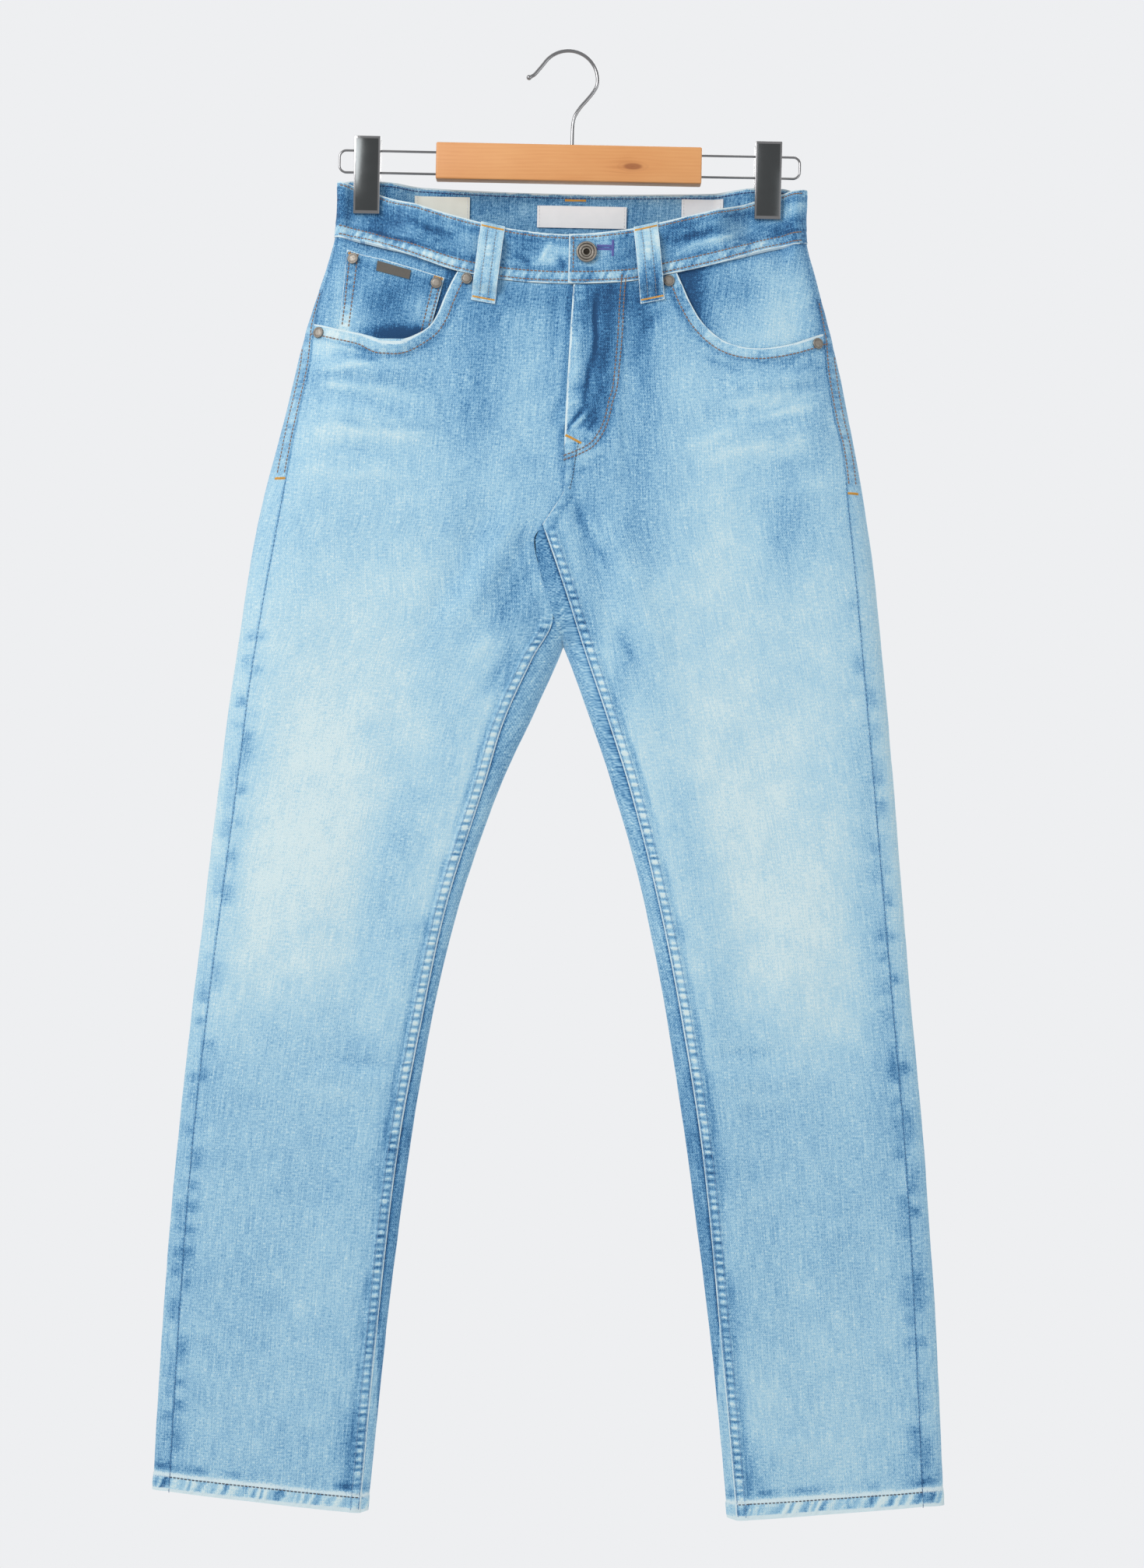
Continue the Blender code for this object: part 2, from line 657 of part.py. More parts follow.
def pocket_facing(side):
    """The denim behind a front pocket's mouth, sewn in under the waistband and at the side seam."""
    sign = SIGN[side]
    edge = FACING_EDGE[side]
    seam_drop = np.linspace(*FACING_SEAM, len(edge))
    seam_x = SIDE_X[side](seam_drop) - sign * GAP / 2
    across = np.linspace(0.0, 1.0, 12)
    x = seam_x[:, None] + (edge[:, :1] - seam_x[:, None]) * across
    drop = seam_drop[:, None] + (edge[:, 1:] - seam_drop[:, None]) * across
    drop[0] = FRONT_SEAM(x[0]) + TUCKED
    sink = facing_sink(x, drop, side)
    return wall("pocket_facing_" + side, x, drop, FRONT, -sink, DENIM, DEEP_DENIM)


# The coin pocket on the right facing: its corners as x, drop
COIN_TOP_OUT, COIN_TOP_IN = (-182.5, 167.5), (-102.0, 190.5)
COIN_LOW_OUT, COIN_LOW_IN = (-189.0, 243.0), (-116.0, 246.0)
COIN_SAG = 5.0
ROOM = 0.3  # more room under a patch, as its facets and the cloth's below don't run alike
COIN_OUT = DENIM + GAP + ROOM


def coin_place(across, down):
    """x and drop on the coin pocket: across from its outer to its inner edge, down from its top."""
    corners = [np.array(c) for c in (COIN_TOP_OUT, COIN_TOP_IN, COIN_LOW_OUT, COIN_LOW_IN)]
    across, down = np.asarray(across, float)[..., None], np.asarray(down, float)[..., None]
    upper = corners[0] + (corners[1] - corners[0]) * across
    lower = corners[2] + (corners[3] - corners[2]) * across
    spot = upper + (lower - upper) * down
    return spot[..., 0], spot[..., 1] + COIN_SAG * (4 * across * (1 - across) * down)[..., 0]


def coin_pocket():
    across, down = np.meshgrid(np.linspace(0, 1, 10), np.linspace(0, 1, 8) ** 1.3)
    x, drop = coin_place(across, down)
    out = COIN_OUT - facing_sink(x, drop, "right")
    return wall("coin_pocket", x, drop, FRONT, out, DENIM, DEEP_DENIM)


# A back pocket: its middle, its mouth's drop, its width, its height at the sides, and its point below
# that. It leans outwards, its mouth rises towards the side, and it tapers by a share of its width.
POCKET_MIDDLE, POCKET_TOP, POCKET_WIDTH, POCKET_HEIGHT, POCKET_POINT = 104.0, 262.0, 140.0, 128.0, 22.0
POCKET_LEAN, POCKET_TILT, POCKET_TAPER = 6.0, 5.0, 0.10


def back_pocket(side):
    """A plain patch pocket: straight mouth, sides that taper a little, and a pointed foot."""
    sign = SIGN[side]
    across, down = np.meshgrid(np.linspace(-1, 1, 7), np.linspace(0, 1, 6))
    x = sign * POCKET_MIDDLE + sign * POCKET_LEAN * down
    x += across * POCKET_WIDTH / 2 * (1 - POCKET_TAPER * down)
    drop = POCKET_TOP - POCKET_TILT * across * sign
    drop += down * (POCKET_HEIGHT + POCKET_POINT * (1 - np.abs(across)))
    return wall("back_pocket_" + side, x, drop, BACK, DENIM + GAP + ROOM, DENIM, PALE_DENIM)


# Belt loops: face, top x, bottom x, how far they run above the waistband's edge and below its seam
LOOPS = {
    "belt_loop_front_right": (FRONT, -63.0, -70.0, 0.5, 21.0),
    "belt_loop_front_left": (FRONT, 61.0, 68.0, 0.5, 20.0),
    "belt_loop_back_right": (BACK, -108.0, -109.0, 0.5, 18.0),
    "belt_loop_back_left": (BACK, 102.0, 103.0, 0.5, 18.0),
    "belt_loop_back_centre": (BACK, 4.0, 4.0, 0.5, 18.0),
}
LOOP_WIDTH, LOOP_WALL, LOOP_ROOM = 19.5, 1.8, 4.8
LOOP_ENDS = (0.10, 0.24)  # shares of the length: tacked down to the first, free from the second


def belt_loop(name):
    face, top_x, low_x, above, below = LOOPS[name]
    top_edge, seam = (FRONT_TOP, FRONT_SEAM) if face == FRONT else (BACK_TOP, BACK_SEAM)
    shares = np.array([0.0, 0.10, 0.17, 0.24, 0.5, 0.76, 0.83, 0.90, 1.0])
    middle = top_x + (low_x - top_x) * shares
    across = np.array([-0.5, 0.5]) * LOOP_WIDTH
    x = middle[:, None] + across[None, :]
    start = top_edge(x) - above
    end = seam(low_x + across)[None, :] + below
    drop = start + (end - start) * shares[:, None]
    free = smooth(*LOOP_ENDS, shares) * (1 - smooth(1 - LOOP_ENDS[1], 1 - LOOP_ENDS[0], shares))
    foot = np.where(shares < 0.85, BAND_PROUD, 0.2)
    inner = foot + GAP + LOOP_ROOM * free
    return wall(name, x, drop, face, (inner + LOOP_WALL)[:, None], LOOP_WALL, PALE_DENIM)


SHIELD_X, SHIELD_DROP = (-6.0, 36.0), (197.0, 322.0)


def fly_shield():
    """The underlap behind the fly, sewn to the right front."""
    x, drop = np.meshgrid(np.linspace(*SHIELD_X, 5), np.linspace(*SHIELD_DROP, 6))
    return wall("fly_shield", x, drop, FRONT, -(DENIM + GAP), DENIM, DEEP_DENIM)


# Labels on the inside of the back waistband: middle x, half width, top drop, bottom drop
LABELS = {
    "label_centre": (9.0, 37.0, 122.5, 146.0, LABEL_WHITE),
    "label_right": (-107.5, 23.5, 117.0, 143.0, LABEL_CREAM),
    "label_left": (109.5, 18.0, 115.0, 141.0, LABEL_WHITE),
}
LABEL_WALL = 0.8
LABEL_ROOM = 0.2  # more room behind a label, which is flatter than the band


def label(name):
    middle, half, top, bottom, colour = LABELS[name]
    x, drop = np.meshgrid(np.linspace(middle - half, middle + half, 8), [top, bottom])
    out = BAND_PROUD - BAND - GAP - LABEL_ROOM
    return wall(name, x, drop, BACK, out, LABEL_WALL, colour)


TAB_WALL = 0.8
TAB_ACROSS, TAB_DOWN = (0.32, 0.665), (0.035, 0.145)  # shares of the coin pocket


def woven_tab():
    """A bare woven tab across the coin pocket's top edge."""
    across, down = np.meshgrid(np.linspace(*TAB_ACROSS, 3), TAB_DOWN)
    x, drop = coin_place(across, down)
    out = COIN_OUT + GAP + TAB_WALL - facing_sink(x, drop, "right")
    return wall("woven_tab", x, drop, FRONT, out, TAB_WALL, TAB_GREY)


def turned(name, x, drop, base, profile, sides, colour, roughness, metallic):
    """A turned piece on the front of the garment: profile holds (radius, height) from its foot to
    its crown, both on its axis."""
    centre = place(x, drop, FRONT, base)
    axis = place(x, drop, FRONT, base + 10.0) - centre
    axis = Vector(axis).normalized()
    first = axis.cross(Vector((0, 0, 1))).normalized()
    second = axis.cross(first)
    points, faces = [], []
    for radius, height in profile[1:-1]:
        for n in range(sides):
            turn = 2 * np.pi * n / sides
            spot = Vector(centre) + axis * (height * MM)
            spot += (first * np.cos(turn) + second * np.sin(turn)) * (radius * MM)
            points.append(tuple(spot))
    rings = len(profile) - 2
    for r in range(rings - 1):
        for n in range(sides):
            m = (n + 1) % sides
            a, b = r * sides + n, r * sides + m
            faces.append((a, b, b + sides, a + sides))
    for end, ring in ((0, 0), (-1, rings - 1)):
        points.append(tuple(Vector(centre) + axis * (profile[end][1] * MM)))
        hub = len(points) - 1
        for n in range(sides):
            a, b = ring * sides + n, ring * sides + (n + 1) % sides
            faces.append((b, a, hub) if end == 0 else (a, b, hub))
    return solid(name, points, faces, colour, roughness, metallic)


RIVET_ROOM = 0.9  # clear of the curved coin pocket
RIVET = [(0, 0), (4.4, 0), (4.5, 0.7), (3.9, 1.3), (0, 1.5)]
RIVETS = {
    # name: x, drop, and what it sits on
    "rivet_coin_outer": (-177.5, 175.5, "coin"),
    "rivet_coin_inner": (-108.5, 195.0, "coin"),
    "rivet_right_top": (-83.5, 191.5, "front"),
    "rivet_right_side": (-204.0, 236.5, "front"),
    "rivet_left_top": (81.0, 190.0, "front"),
    "rivet_left_side": (203.5, 237.5, "front"),
}
BUTTON = [
    (0, 0), (3.2, 0), (3.2, 1.0), (7.6, 1.2), (8.5, 2.0), (8.3, 3.2), (7.0, 3.9), (5.2, 3.5),
    (4.2, 2.7), (2.6, 2.9), (2.1, 2.4), (1.6, 1.5), (0, 1.5),
]
BUTTON_AT = (13.5, 168.8)


def fasteners():
    for name, (x, drop, seat) in RIVETS.items():
        base = GAP
        if seat == "coin":
            base = COIN_OUT + RIVET_ROOM - float(facing_sink(x, drop, "right"))
        turned(name, x, drop, base, RIVET, 12, AGED_STEEL, 0.4, 1.0)
    lap = BAND_PROUD + LAP_RISE + GAP
    turned("waist_button", *BUTTON_AT, lap, BUTTON, 16, AGED_STEEL, 0.4, 1.0)


# The hanger: a pine bar, a chromed hook, two wire loops and two clips
BAR_LEFT, BAR_RIGHT, BAR_TOP, BAR_LOW, BAR_DEPTH = -111.5, 106.5, 77.0, 107.0, 15.0
BAR_BEVEL = 1.2
SOCKET_DEPTH, SOCKET_ROOM = 16.0, 0.3
HOOK_RADIUS, BALL_RADIUS = 1.5, 2.2
WIRE_RADIUS = 1.0
WIRES = {"right": (-192.0, 84.0, 102.0), "left": (188.5, 82.5, 100.0)}
WIRE_CORNER = 5.5
CROWN = (-4.3, 22.6, 24.1)  # the crown's middle x and drop, and its radius at the wire's middle


def tube(name, line, radii, sides, colour):
    """A round bar along a line of (x, drop) in the hanger's plane, closed at both ends."""
    line = np.asarray(line, float)
    radii = np.broadcast_to(radii, len(line))
    ahead = np.gradient(line, axis=0)
    ahead /= np.linalg.norm(ahead, axis=1, keepdims=True)
    beside = np.stack([ahead[:, 1], -ahead[:, 0]], axis=1)
    points, faces = [], []
    for (x, drop), (bx, bd), radius in zip(line, beside, radii):
        for n in range(sides):
            turn = 2 * np.pi * n / sides
            reach = radius * np.cos(turn)
            spot = (x + STEM_X + bx * reach, radius * np.sin(turn), -(drop + bd * reach))
            points.append(tuple(v * MM for v in spot))
    for r in range(len(line) - 1):
        for n in range(sides):
            a, b = r * sides + n, r * sides + (n + 1) % sides
            faces.append((a, b, b + sides, a + sides))
    last = (len(line) - 1) * sides
    faces.append(tuple(reversed(range(sides))))
    faces.append(tuple(range(last, last + sides)))
    return solid(name, points, faces, colour, 0.12, 1.0)


def hook():
    """The hook: stem, swan neck, crown and a ball at the tip."""
    middle_x, middle_drop, radius = CROWN
    stem = [(0.0, BAR_TOP + SOCKET_DEPTH - 2), (0.0, BAR_TOP), (0.0, 68.0), (0.2, 60.0), (1.6, 52.5)]
    neck = [(6.0, 45.0), (11.5, 38.5), (16.4, 32.2)]
    turn = np.radians(np.linspace(-8, 146, 15))
    crown = [(middle_x + radius * np.cos(a), middle_drop - radius * np.sin(a)) for a in turn]
    tip = [(-29.0, 15.0), (-32.4, 18.8), (-34.6, 20.2)]
    line = stem + neck + crown + tip
    radii = [HOOK_RADIUS] * len(line)
    end = np.array([-36.6, 21.1])
    way = (end - np.array(tip[-1])) / np.linalg.norm(end - np.array(tip[-1]))
    for share in (-0.72, -0.3, 0.2, 0.65, 0.95):
        line.append(tuple(end + way * BALL_RADIUS * share))
        radii.append(BALL_RADIUS * np.sqrt(1 - share ** 2))
    return tube("hook", line, radii, 8, CHROME)


def wire_loop(side):
    """A long wire loop that slides in the bar and carries a clip."""
    sign = SIGN[side]
    far, upper, lower = WIRES[side]
    bar_end = BAR_RIGHT if side == "left" else BAR_LEFT
    inside = bar_end - sign * (SOCKET_DEPTH - 2)
    far = far - sign * WIRE_RADIUS
    line = [(inside, upper), (bar_end, upper), ((bar_end + far) / 2, upper)]
    for turn in np.radians(np.linspace(0, 90, 5)):
        line.append((far - sign * WIRE_CORNER * (1 - np.sin(turn)),
                     upper + WIRE_CORNER * (1 - np.cos(turn))))
    for turn in np.radians(np.linspace(0, 90, 5)):
        line.append((far - sign * WIRE_CORNER * (1 - np.cos(turn)),
                     lower - WIRE_CORNER * (1 - np.sin(turn))))
    line += [((bar_end + far) / 2, lower), (bar_end, lower), (inside, lower)]
    return tube("wire_" + side, line, WIRE_RADIUS, 8, CHROME)


def helper(name, mesh):
    """A cutter, left out of the part."""
    obj = bpy.data.objects.new(name, mesh)
    obj.hide_render = True
    obj.display_type = "WIRE"
    bpy.context.scene.collection.objects.link(obj)
    return obj


def block(low, high):
    """A box mesh between two corners, in metres."""
    mesh = bpy.data.meshes.new("block")
    shape = bmesh.new()
    bmesh.ops.create_cube(shape, size=1.0)
    low, high = Vector(low) * MM, Vector(high) * MM
    for vert in shape.verts:
        vert.co = Vector((low[i] + (vert.co[i] + 0.5) * (high[i] - low[i]) for i in range(3)))
    shape.to_mesh(mesh)
    shape.free()
    return mesh


def socket_cutters():
    """Round sockets in the bar: one for the hook's stem and two in each end for the wires."""
    shape = bmesh.new()
    places = [((0.0, BAR_TOP + SOCKET_DEPTH / 2 - 1), "Z", HOOK_RADIUS)]
    for side, (_, upper, lower) in WIRES.items():
        end = BAR_RIGHT if side == "left" else BAR_LEFT
        middle = end - SIGN[side] * (SOCKET_DEPTH / 2 - 1)
        places += [((middle, upper), "X", WIRE_RADIUS), ((middle, lower), "X", WIRE_RADIUS)]
    for (x, drop), along, radius in places:
        made = bmesh.ops.create_cone(
            shape, cap_ends=True, segments=12, depth=(SOCKET_DEPTH + 2) * MM,
            radius1=(radius + SOCKET_ROOM) * MM, radius2=(radius + SOCKET_ROOM) * MM,
        )
        for vert in made["verts"]:
            if along == "X":
                vert.co = Vector((vert.co.z, vert.co.y, -vert.co.x))
            vert.co += Vector(((x + STEM_X) * MM, 0, -drop * MM))
    bmesh.ops.recalc_face_normals(shape, faces=shape.faces)
    mesh = bpy.data.meshes.new("sockets")
    shape.to_mesh(mesh)
    shape.free()
    return helper("socket_cutters", mesh)


def cut(obj, cutter):
    boolean = obj.modifiers.new("cut", "BOOLEAN")
    boolean.operation = "DIFFERENCE"
    boolean.solver = "EXACT"
    boolean.object = cutter


def bar():
    low = (BAR_LEFT + STEM_X, -BAR_DEPTH / 2, -BAR_LOW)
    high = (BAR_RIGHT + STEM_X, BAR_DEPTH / 2, -BAR_TOP)
    obj = bpy.data.objects.new("hanger_bar", block(low, high))
    bpy.context.scene.collection.objects.link(obj)
    finish(obj, PINE, 0.45)
    bevel = obj.modifiers.new("worn edges", "BEVEL")
    bevel.width = BAR_BEVEL * MM
    bevel.segments = 2
    cut(obj, socket_cutters())
    return obj


JAW_SKIN = 1.2
JAW_TOP_OUT, JAW_LOW_OUT = 11.0, 7.4  # how far the jaw's face stands from the middle plane
JAW_GRIP = PINCHED_HALF + BAND_PROUD + GAP  # where it meets the cloth
JAW_NEAR = WIRE_RADIUS + GAP  # where it meets the wires
JAW_CLOTH = 107.2  # the drop at which it meets the cloth, clear of the waistband's top edge
JAW_BEND, JAW_BEND_OUT = 7.0, 4.5  # its top edge leans out over this height, and stands out this far
JAW_LIP = 1.6  # height of the lower lip


def jaw(side, face):
    """Half a clip: a pressed channel that leans in to grip the cloth with its lower lip."""
    middle, top, low = CLIPS[side]
    outline = [
        (JAW_TOP_OUT, top), (JAW_LOW_OUT, low), (JAW_GRIP, low), (JAW_GRIP, JAW_CLOTH + 1.2),
        (JAW_NEAR, JAW_CLOTH - 0.8), (JAW_NEAR, top + JAW_BEND), (JAW_BEND_OUT, top),
    ]
    hollow = [
        (JAW_TOP_OUT - JAW_SKIN, top + JAW_SKIN), (JAW_LOW_OUT - JAW_SKIN, low - JAW_LIP),
        (GAP, low - JAW_LIP), (GAP, top + JAW_SKIN),
    ]

    def prism(points, half_width):
        corners = []
        for x in (middle - half_width, middle + half_width):
            corners += [((x + STEM_X) * MM, face * y * MM, -d * MM) for y, d in points]
        count = len(points)
        faces = [tuple(range(count)), tuple(reversed(range(count, 2 * count)))]
        for n in range(count):
            m = (n + 1) % count
            faces.append((m, n, n + count, m + count))
        return corners, faces

    where = "front" if face == FRONT else "back"
    obj = solid(f"clip_{side}_{where}", *prism(outline, CLIP_WIDTH / 2), CHROME, 0.12, 1.0)
    inner = solid(f"hollow_{side}_{where}", *prism(hollow, CLIP_WIDTH / 2 - JAW_SKIN), CHROME)
    inner.hide_render = True
    inner.display_type = "WIRE"
    obj.data.shade_flat()
    cut(obj, inner)
    return obj


def main():
    for obj in list(bpy.data.objects):
        bpy.data.objects.remove(obj)
    for side in ("right", "left"):
        front_panel(side)
        back_panel(side)
        yoke(side)
        pocket_facing(side)
        back_pocket(side)
        wire_loop(side)
        jaw(side, FRONT)
        jaw(side, BACK)
    waistband()
    coin_pocket()
    fly_shield()
    for name in LOOPS:
        belt_loop(name)
    for name in LABELS:
        label(name)
    woven_tab()
    fasteners()
    hook()
    bar()


main()
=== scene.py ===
"""The looks of a pair of stonewashed slim jeans that hang by their waistband from a wooden clip hanger.

Sizes are millimetres unless a name says otherwise. x runs from the hanger's stem to the right of someone
who faces the fly, and drop is the distance below the hook's crown, as in the part's own source.
"""

import math

import bmesh
import bpy
import numpy as np
from mathutils import Matrix, Vector


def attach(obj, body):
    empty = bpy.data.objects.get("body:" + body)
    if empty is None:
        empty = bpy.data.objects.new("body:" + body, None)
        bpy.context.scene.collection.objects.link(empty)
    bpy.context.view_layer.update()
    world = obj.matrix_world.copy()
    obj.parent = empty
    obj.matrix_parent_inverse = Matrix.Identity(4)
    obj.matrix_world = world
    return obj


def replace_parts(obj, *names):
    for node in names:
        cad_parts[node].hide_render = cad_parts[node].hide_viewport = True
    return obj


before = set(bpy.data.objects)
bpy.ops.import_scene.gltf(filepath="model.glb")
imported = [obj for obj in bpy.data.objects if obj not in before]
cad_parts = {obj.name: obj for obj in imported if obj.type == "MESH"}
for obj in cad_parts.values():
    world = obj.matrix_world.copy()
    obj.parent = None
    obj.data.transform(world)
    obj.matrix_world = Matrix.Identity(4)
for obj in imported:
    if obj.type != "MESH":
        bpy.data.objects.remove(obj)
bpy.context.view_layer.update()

# The view. A level camera stands straight in front of the hanging jeans and is rolled a little, as the
# photograph was. The studio is pale all round and dimmer behind the camera, with a large soft lamp
# high on the left. Nothing stands behind the jeans, and the pale floor lies well below the hems.
MM = 0.001
STEM_X = 4.3  # the stem stands this far to the right of the crown
AIM = (14.6, 601.0)  # what the middle of the picture shows, from the crown: across and down
CAMERA_AWAY = 2300.0
FRAME_HEIGHT = 1289.0  # what the picture holds from top to bottom, at the jeans
ROLL = math.radians(1.15)
SENSOR = 36.0


def show(name, data):
    """An object for a mesh, a camera or a lamp, linked into the scene."""
    obj = bpy.data.objects.new(name, data)
    bpy.context.scene.collection.objects.link(obj)
    return obj


camera_data = bpy.data.cameras.new("camera")
camera_data.sensor_fit = "VERTICAL"
camera_data.sensor_height = SENSOR
camera_data.lens = SENSOR * CAMERA_AWAY / FRAME_HEIGHT
camera = show("camera", camera_data)
camera.matrix_world = (
    Matrix.Translation(Vector((AIM[0], -CAMERA_AWAY, -AIM[1])) * MM)
    @ Matrix.Rotation(math.pi / 2, 4, "X")
    @ Matrix.Rotation(ROLL, 4, "Z")
)
bpy.context.scene.camera = camera
bpy.context.scene.view_settings.view_transform = "Standard"

LAMPS = [
    # name, place in metres, width, watts, colour
    ("key lamp", (-1.5, -2.0, 0.55), 1.3, 38.0, (1.0, 0.995, 0.985)),
    ("fill lamp", (1.9, -1.9, -0.5), 1.8, 11.0, (0.95, 0.98, 1.0)),
    ("rim lamp", (0.6, 1.6, 0.7), 1.4, 14.0, (1.0, 1.0, 1.0)),
]
for name, place, width, watts, colour in LAMPS:
    lamp_data = bpy.data.lights.new(name, "AREA")
    lamp_data.size = width
    lamp_data.energy = watts
    lamp_data.color = colour
    lamp = show(name, lamp_data)
    lamp.location = place
    aim = Vector((0.0, 0.0, -AIM[1] * MM)) - lamp.location
    lamp.rotation_euler = aim.to_track_quat("-Z", "Y").to_euler()


class Shade:
    """A socket in a material's nodes, so that shader maths reads as plain expressions."""

    def __init__(self, tree, socket=None):
        self.tree, self.socket = tree, socket

    def add(self, kind, settings=None, inputs=None, output=0):
        """One more node: its settings first, then the values or links of its sockets."""
        node = self.tree.nodes.new("ShaderNode" + kind)
        for name, value in (settings or {}).items():
            if name == "stops":
                ramp = node.color_ramp
                for element, (position, colour) in zip(ramp.elements, (value[0], value[-1])):
                    element.position = position
                    element.color = (*colour, 1.0)
                for position, colour in value[1:-1]:
                    ramp.elements.new(position).color = (*colour, 1.0)
            else:
                setattr(node, name, value)
        for key, value in (inputs or {}).items():
            if isinstance(value, Shade):
                self.tree.links.new(value.socket, node.inputs[key])
            else:
                node.inputs[key].default_value = value
        return Shade(self.tree, node.outputs[output])

    def maths(self, operation, *values):
        return self.add("Math", {"operation": operation}, dict(enumerate(values)))

    def __add__(self, other):
        return self.maths("ADD", self, other)

    def __sub__(self, other):
        return self.maths("SUBTRACT", self, other)

    def __rsub__(self, other):
        return self.maths("SUBTRACT", other, self)

    def __mul__(self, other):
        return self.maths("MULTIPLY", self, other)

    def __pow__(self, other):
        return self.maths("POWER", self, other)

    __radd__, __rmul__ = __add__, __mul__

    def held(self, low=0.0, high=1.0):
        """The value kept between two limits."""
        return self.maths("MINIMUM", self.maths("MAXIMUM", self, low), high)

    def step(self, low, high):
        """0 below low, 1 above high, and an S between them."""
        inputs = {"Value": self, "From Min": low, "From Max": high}
        return self.add("MapRange", {"interpolation_type": "SMOOTHSTEP"}, inputs)

    def mix(self, factor, first, second):
        """A colour between two colours: sockets 0, 6 and 7 are a colour Mix node's factor and colours."""
        colours = {6: first, 7: second}
        for key, value in colours.items():
            if not isinstance(value, Shade):
                colours[key] = (*value, 1.0)
        return self.add("Mix", {"data_type": "RGBA"}, {0: factor, **colours}, 2)

    def noise(self, where, scale, detail=2.0, stretch=(1.0, 1.0, 1.0), rough=0.5):
        """Random cloudiness from 0 to 1. stretch multiplies the scale along each axis."""
        spread = self.add("Mapping", {}, {"Vector": where, "Scale": tuple(scale * s for s in stretch)})
        inputs = {"Vector": spread, "Scale": 1.0, "Detail": detail, "Roughness": rough}
        return self.add("TexNoise", {}, inputs)


def srgb(red, green, blue):
    """A colour as seen on a screen, 0 to 255, in the linear values that Blender takes."""
    return tuple(
        c / 12.92 if c <= 0.04045 else ((c + 0.055) / 1.055) ** 2.4
        for c in (red / 255, green / 255, blue / 255)
    )


def new_material(name):
    """A new material, and a start for its nodes."""
    material = bpy.data.materials.new(name)
    material.use_nodes = True
    return material, Shade(material.node_tree)


def finished(material, inputs):
    """The material, with its shader's sockets set to plain values or linked to what other nodes make."""
    shader = material.node_tree.nodes["Principled BSDF"]
    for socket, value in inputs.items():
        if isinstance(value, Shade):
            value.tree.links.new(value.socket, shader.inputs[socket])
        else:
            shader.inputs[socket].default_value = value
    return material


BACKDROP = srgb(238, 239, 241)
ROOM_BEHIND, ROOM_BEFORE = 0.84, 0.50  # the studio's light from behind the jeans, and from the camera's side
world = bpy.data.worlds.new("studio")
world.use_nodes = True
sky = Shade(world.node_tree)
towards = sky.add("TexCoord", output=0)
depth_of_room = sky.add("SeparateXYZ", {}, {0: towards}, 1)
glow = sky.mix(depth_of_room.step(-0.6, 0.5), (ROOM_BEFORE,) * 3, (ROOM_BEHIND,) * 3)
seen = sky.add("LightPath", output=0)
world.node_tree.links.new(
    sky.mix(seen, glow, BACKDROP).socket, world.node_tree.nodes["Background"].inputs["Color"]
)
bpy.context.scene.world = world

FLOOR_DROP, FLOOR_SIDE = 1900.0, 1500.0
floor_mesh = bpy.data.meshes.new("floor")
half_side = FLOOR_SIDE / 2 * MM
corners = [(-half_side, -half_side), (half_side, -half_side), (half_side, half_side), (-half_side, half_side)]
floor_mesh.from_pydata([(x, y, -FLOOR_DROP * MM) for x, y in corners], [], [(0, 1, 2, 3)])
floor_paint, _ = new_material("pale floor")
finished(floor_paint, {"Base Color": (*srgb(226, 226, 224), 1.0), "Roughness": 0.7})
floor_mesh.materials.append(floor_paint)
floor = show("floor", floor_mesh)

# Front legs. Each front is one panel of washed stretch denim from the waistband to the hem, with the
# pocket mouth curved out of its corner, the inseam lapped and twice stitched on it, and the bottom
# turned up and stitched. The left one laps over the right at the fly.

# Cloth and seams
DENIM = 1.2  # wall of a single panel
BAND = 2.6  # wall of the waistband, two layers and their turnings
BAND_PROUD = 1.0  # the waistband stands out this far from the panels
GAP = 0.3  # pieces that lie on one another are this far apart
SEAM_GAP = 0.04  # and those that meet at a seam nearly touch
TUCKED = 0.6  # and an edge this far below the proud edge of the waistband
FRONT, FOLD, BACK = -1.0, 0.0, 1.0

# The silhouette, from the waist to the hems: drop, wearer's right side, wearer's left side
OUTER = np.array([
    (105, -191.5, 193.5), (155, -193.5, 194.5), (180, -199.5, 201.5), (229, -214.5, 215.5),
    (300, -231.0, 232.5), (400, -253.5, 251.5), (500, -267.5, 264.5), (600, -279.0, 275.0),
    (750, -294.0, 290.0), (900, -308.0, 306.0), (1050, -317.5, 319.0), (1210, -323.5, 329.0),
])

# The edges of the gap between the legs, from its top to the hems
GAP_TOP = (1.0, 488.0)
INNER = np.array([
    (488, 1.0, 1.0), (500, -3.5, 6.0), (540, -20.5, 21.5), (600, -47.0, 43.0), (700, -80.0, 72.5),
    (800, -101.5, 93.5), (900, -117.0, 110.5), (1050, -133.0, 132.5), (1210, -146.5, 151.5),
])

# Where the side seams lie: just in front of the outer folds
SIDE_SEAM = np.array([
    (153, -191.0, 192.0), (180, -196.5, 197.5), (229, -208.5, 208.5), (262, -211.0, 212.0),
    (300, -218.5, 219.5), (320, -222.5, 225.0), (380, -232.5, 233.0), (500, -252.0, 247.0),
    (600, -263.5, 258.0), (750, -280.5, 274.0), (900, -295.0, 290.0), (1050, -303.5, 301.5),
    (1210, -309.5, 311.5),
])

# The crotch: where the front seam ends, and where the right inseam comes out from under the seat
FORK = (-18.0, 390.0)
TUCK = (-8.0, 465.0)

# The front edges of the inseams, from the fork to the hems. Down to the tuck, the right one is the
# line where the seat hangs over it.
INSEAM_RIGHT = np.array([
    (390, -18.0), (403, -24.5), (430, -18.5), (465, -8.0), (500, -24.5), (550, -46.0), (600, -60.5),
    (700, -90.0), (800, -109.5), (900, -126.0), (1050, -140.5), (1210, -152.5),
])
INSEAM_LEFT = np.array([
    (390, -18.0), (440, 0.5), (500, 21.5), (550, 39.5), (600, 56.5), (700, 84.0), (800, 105.5),
    (900, 123.0), (1050, 141.0), (1210, 158.5),
])

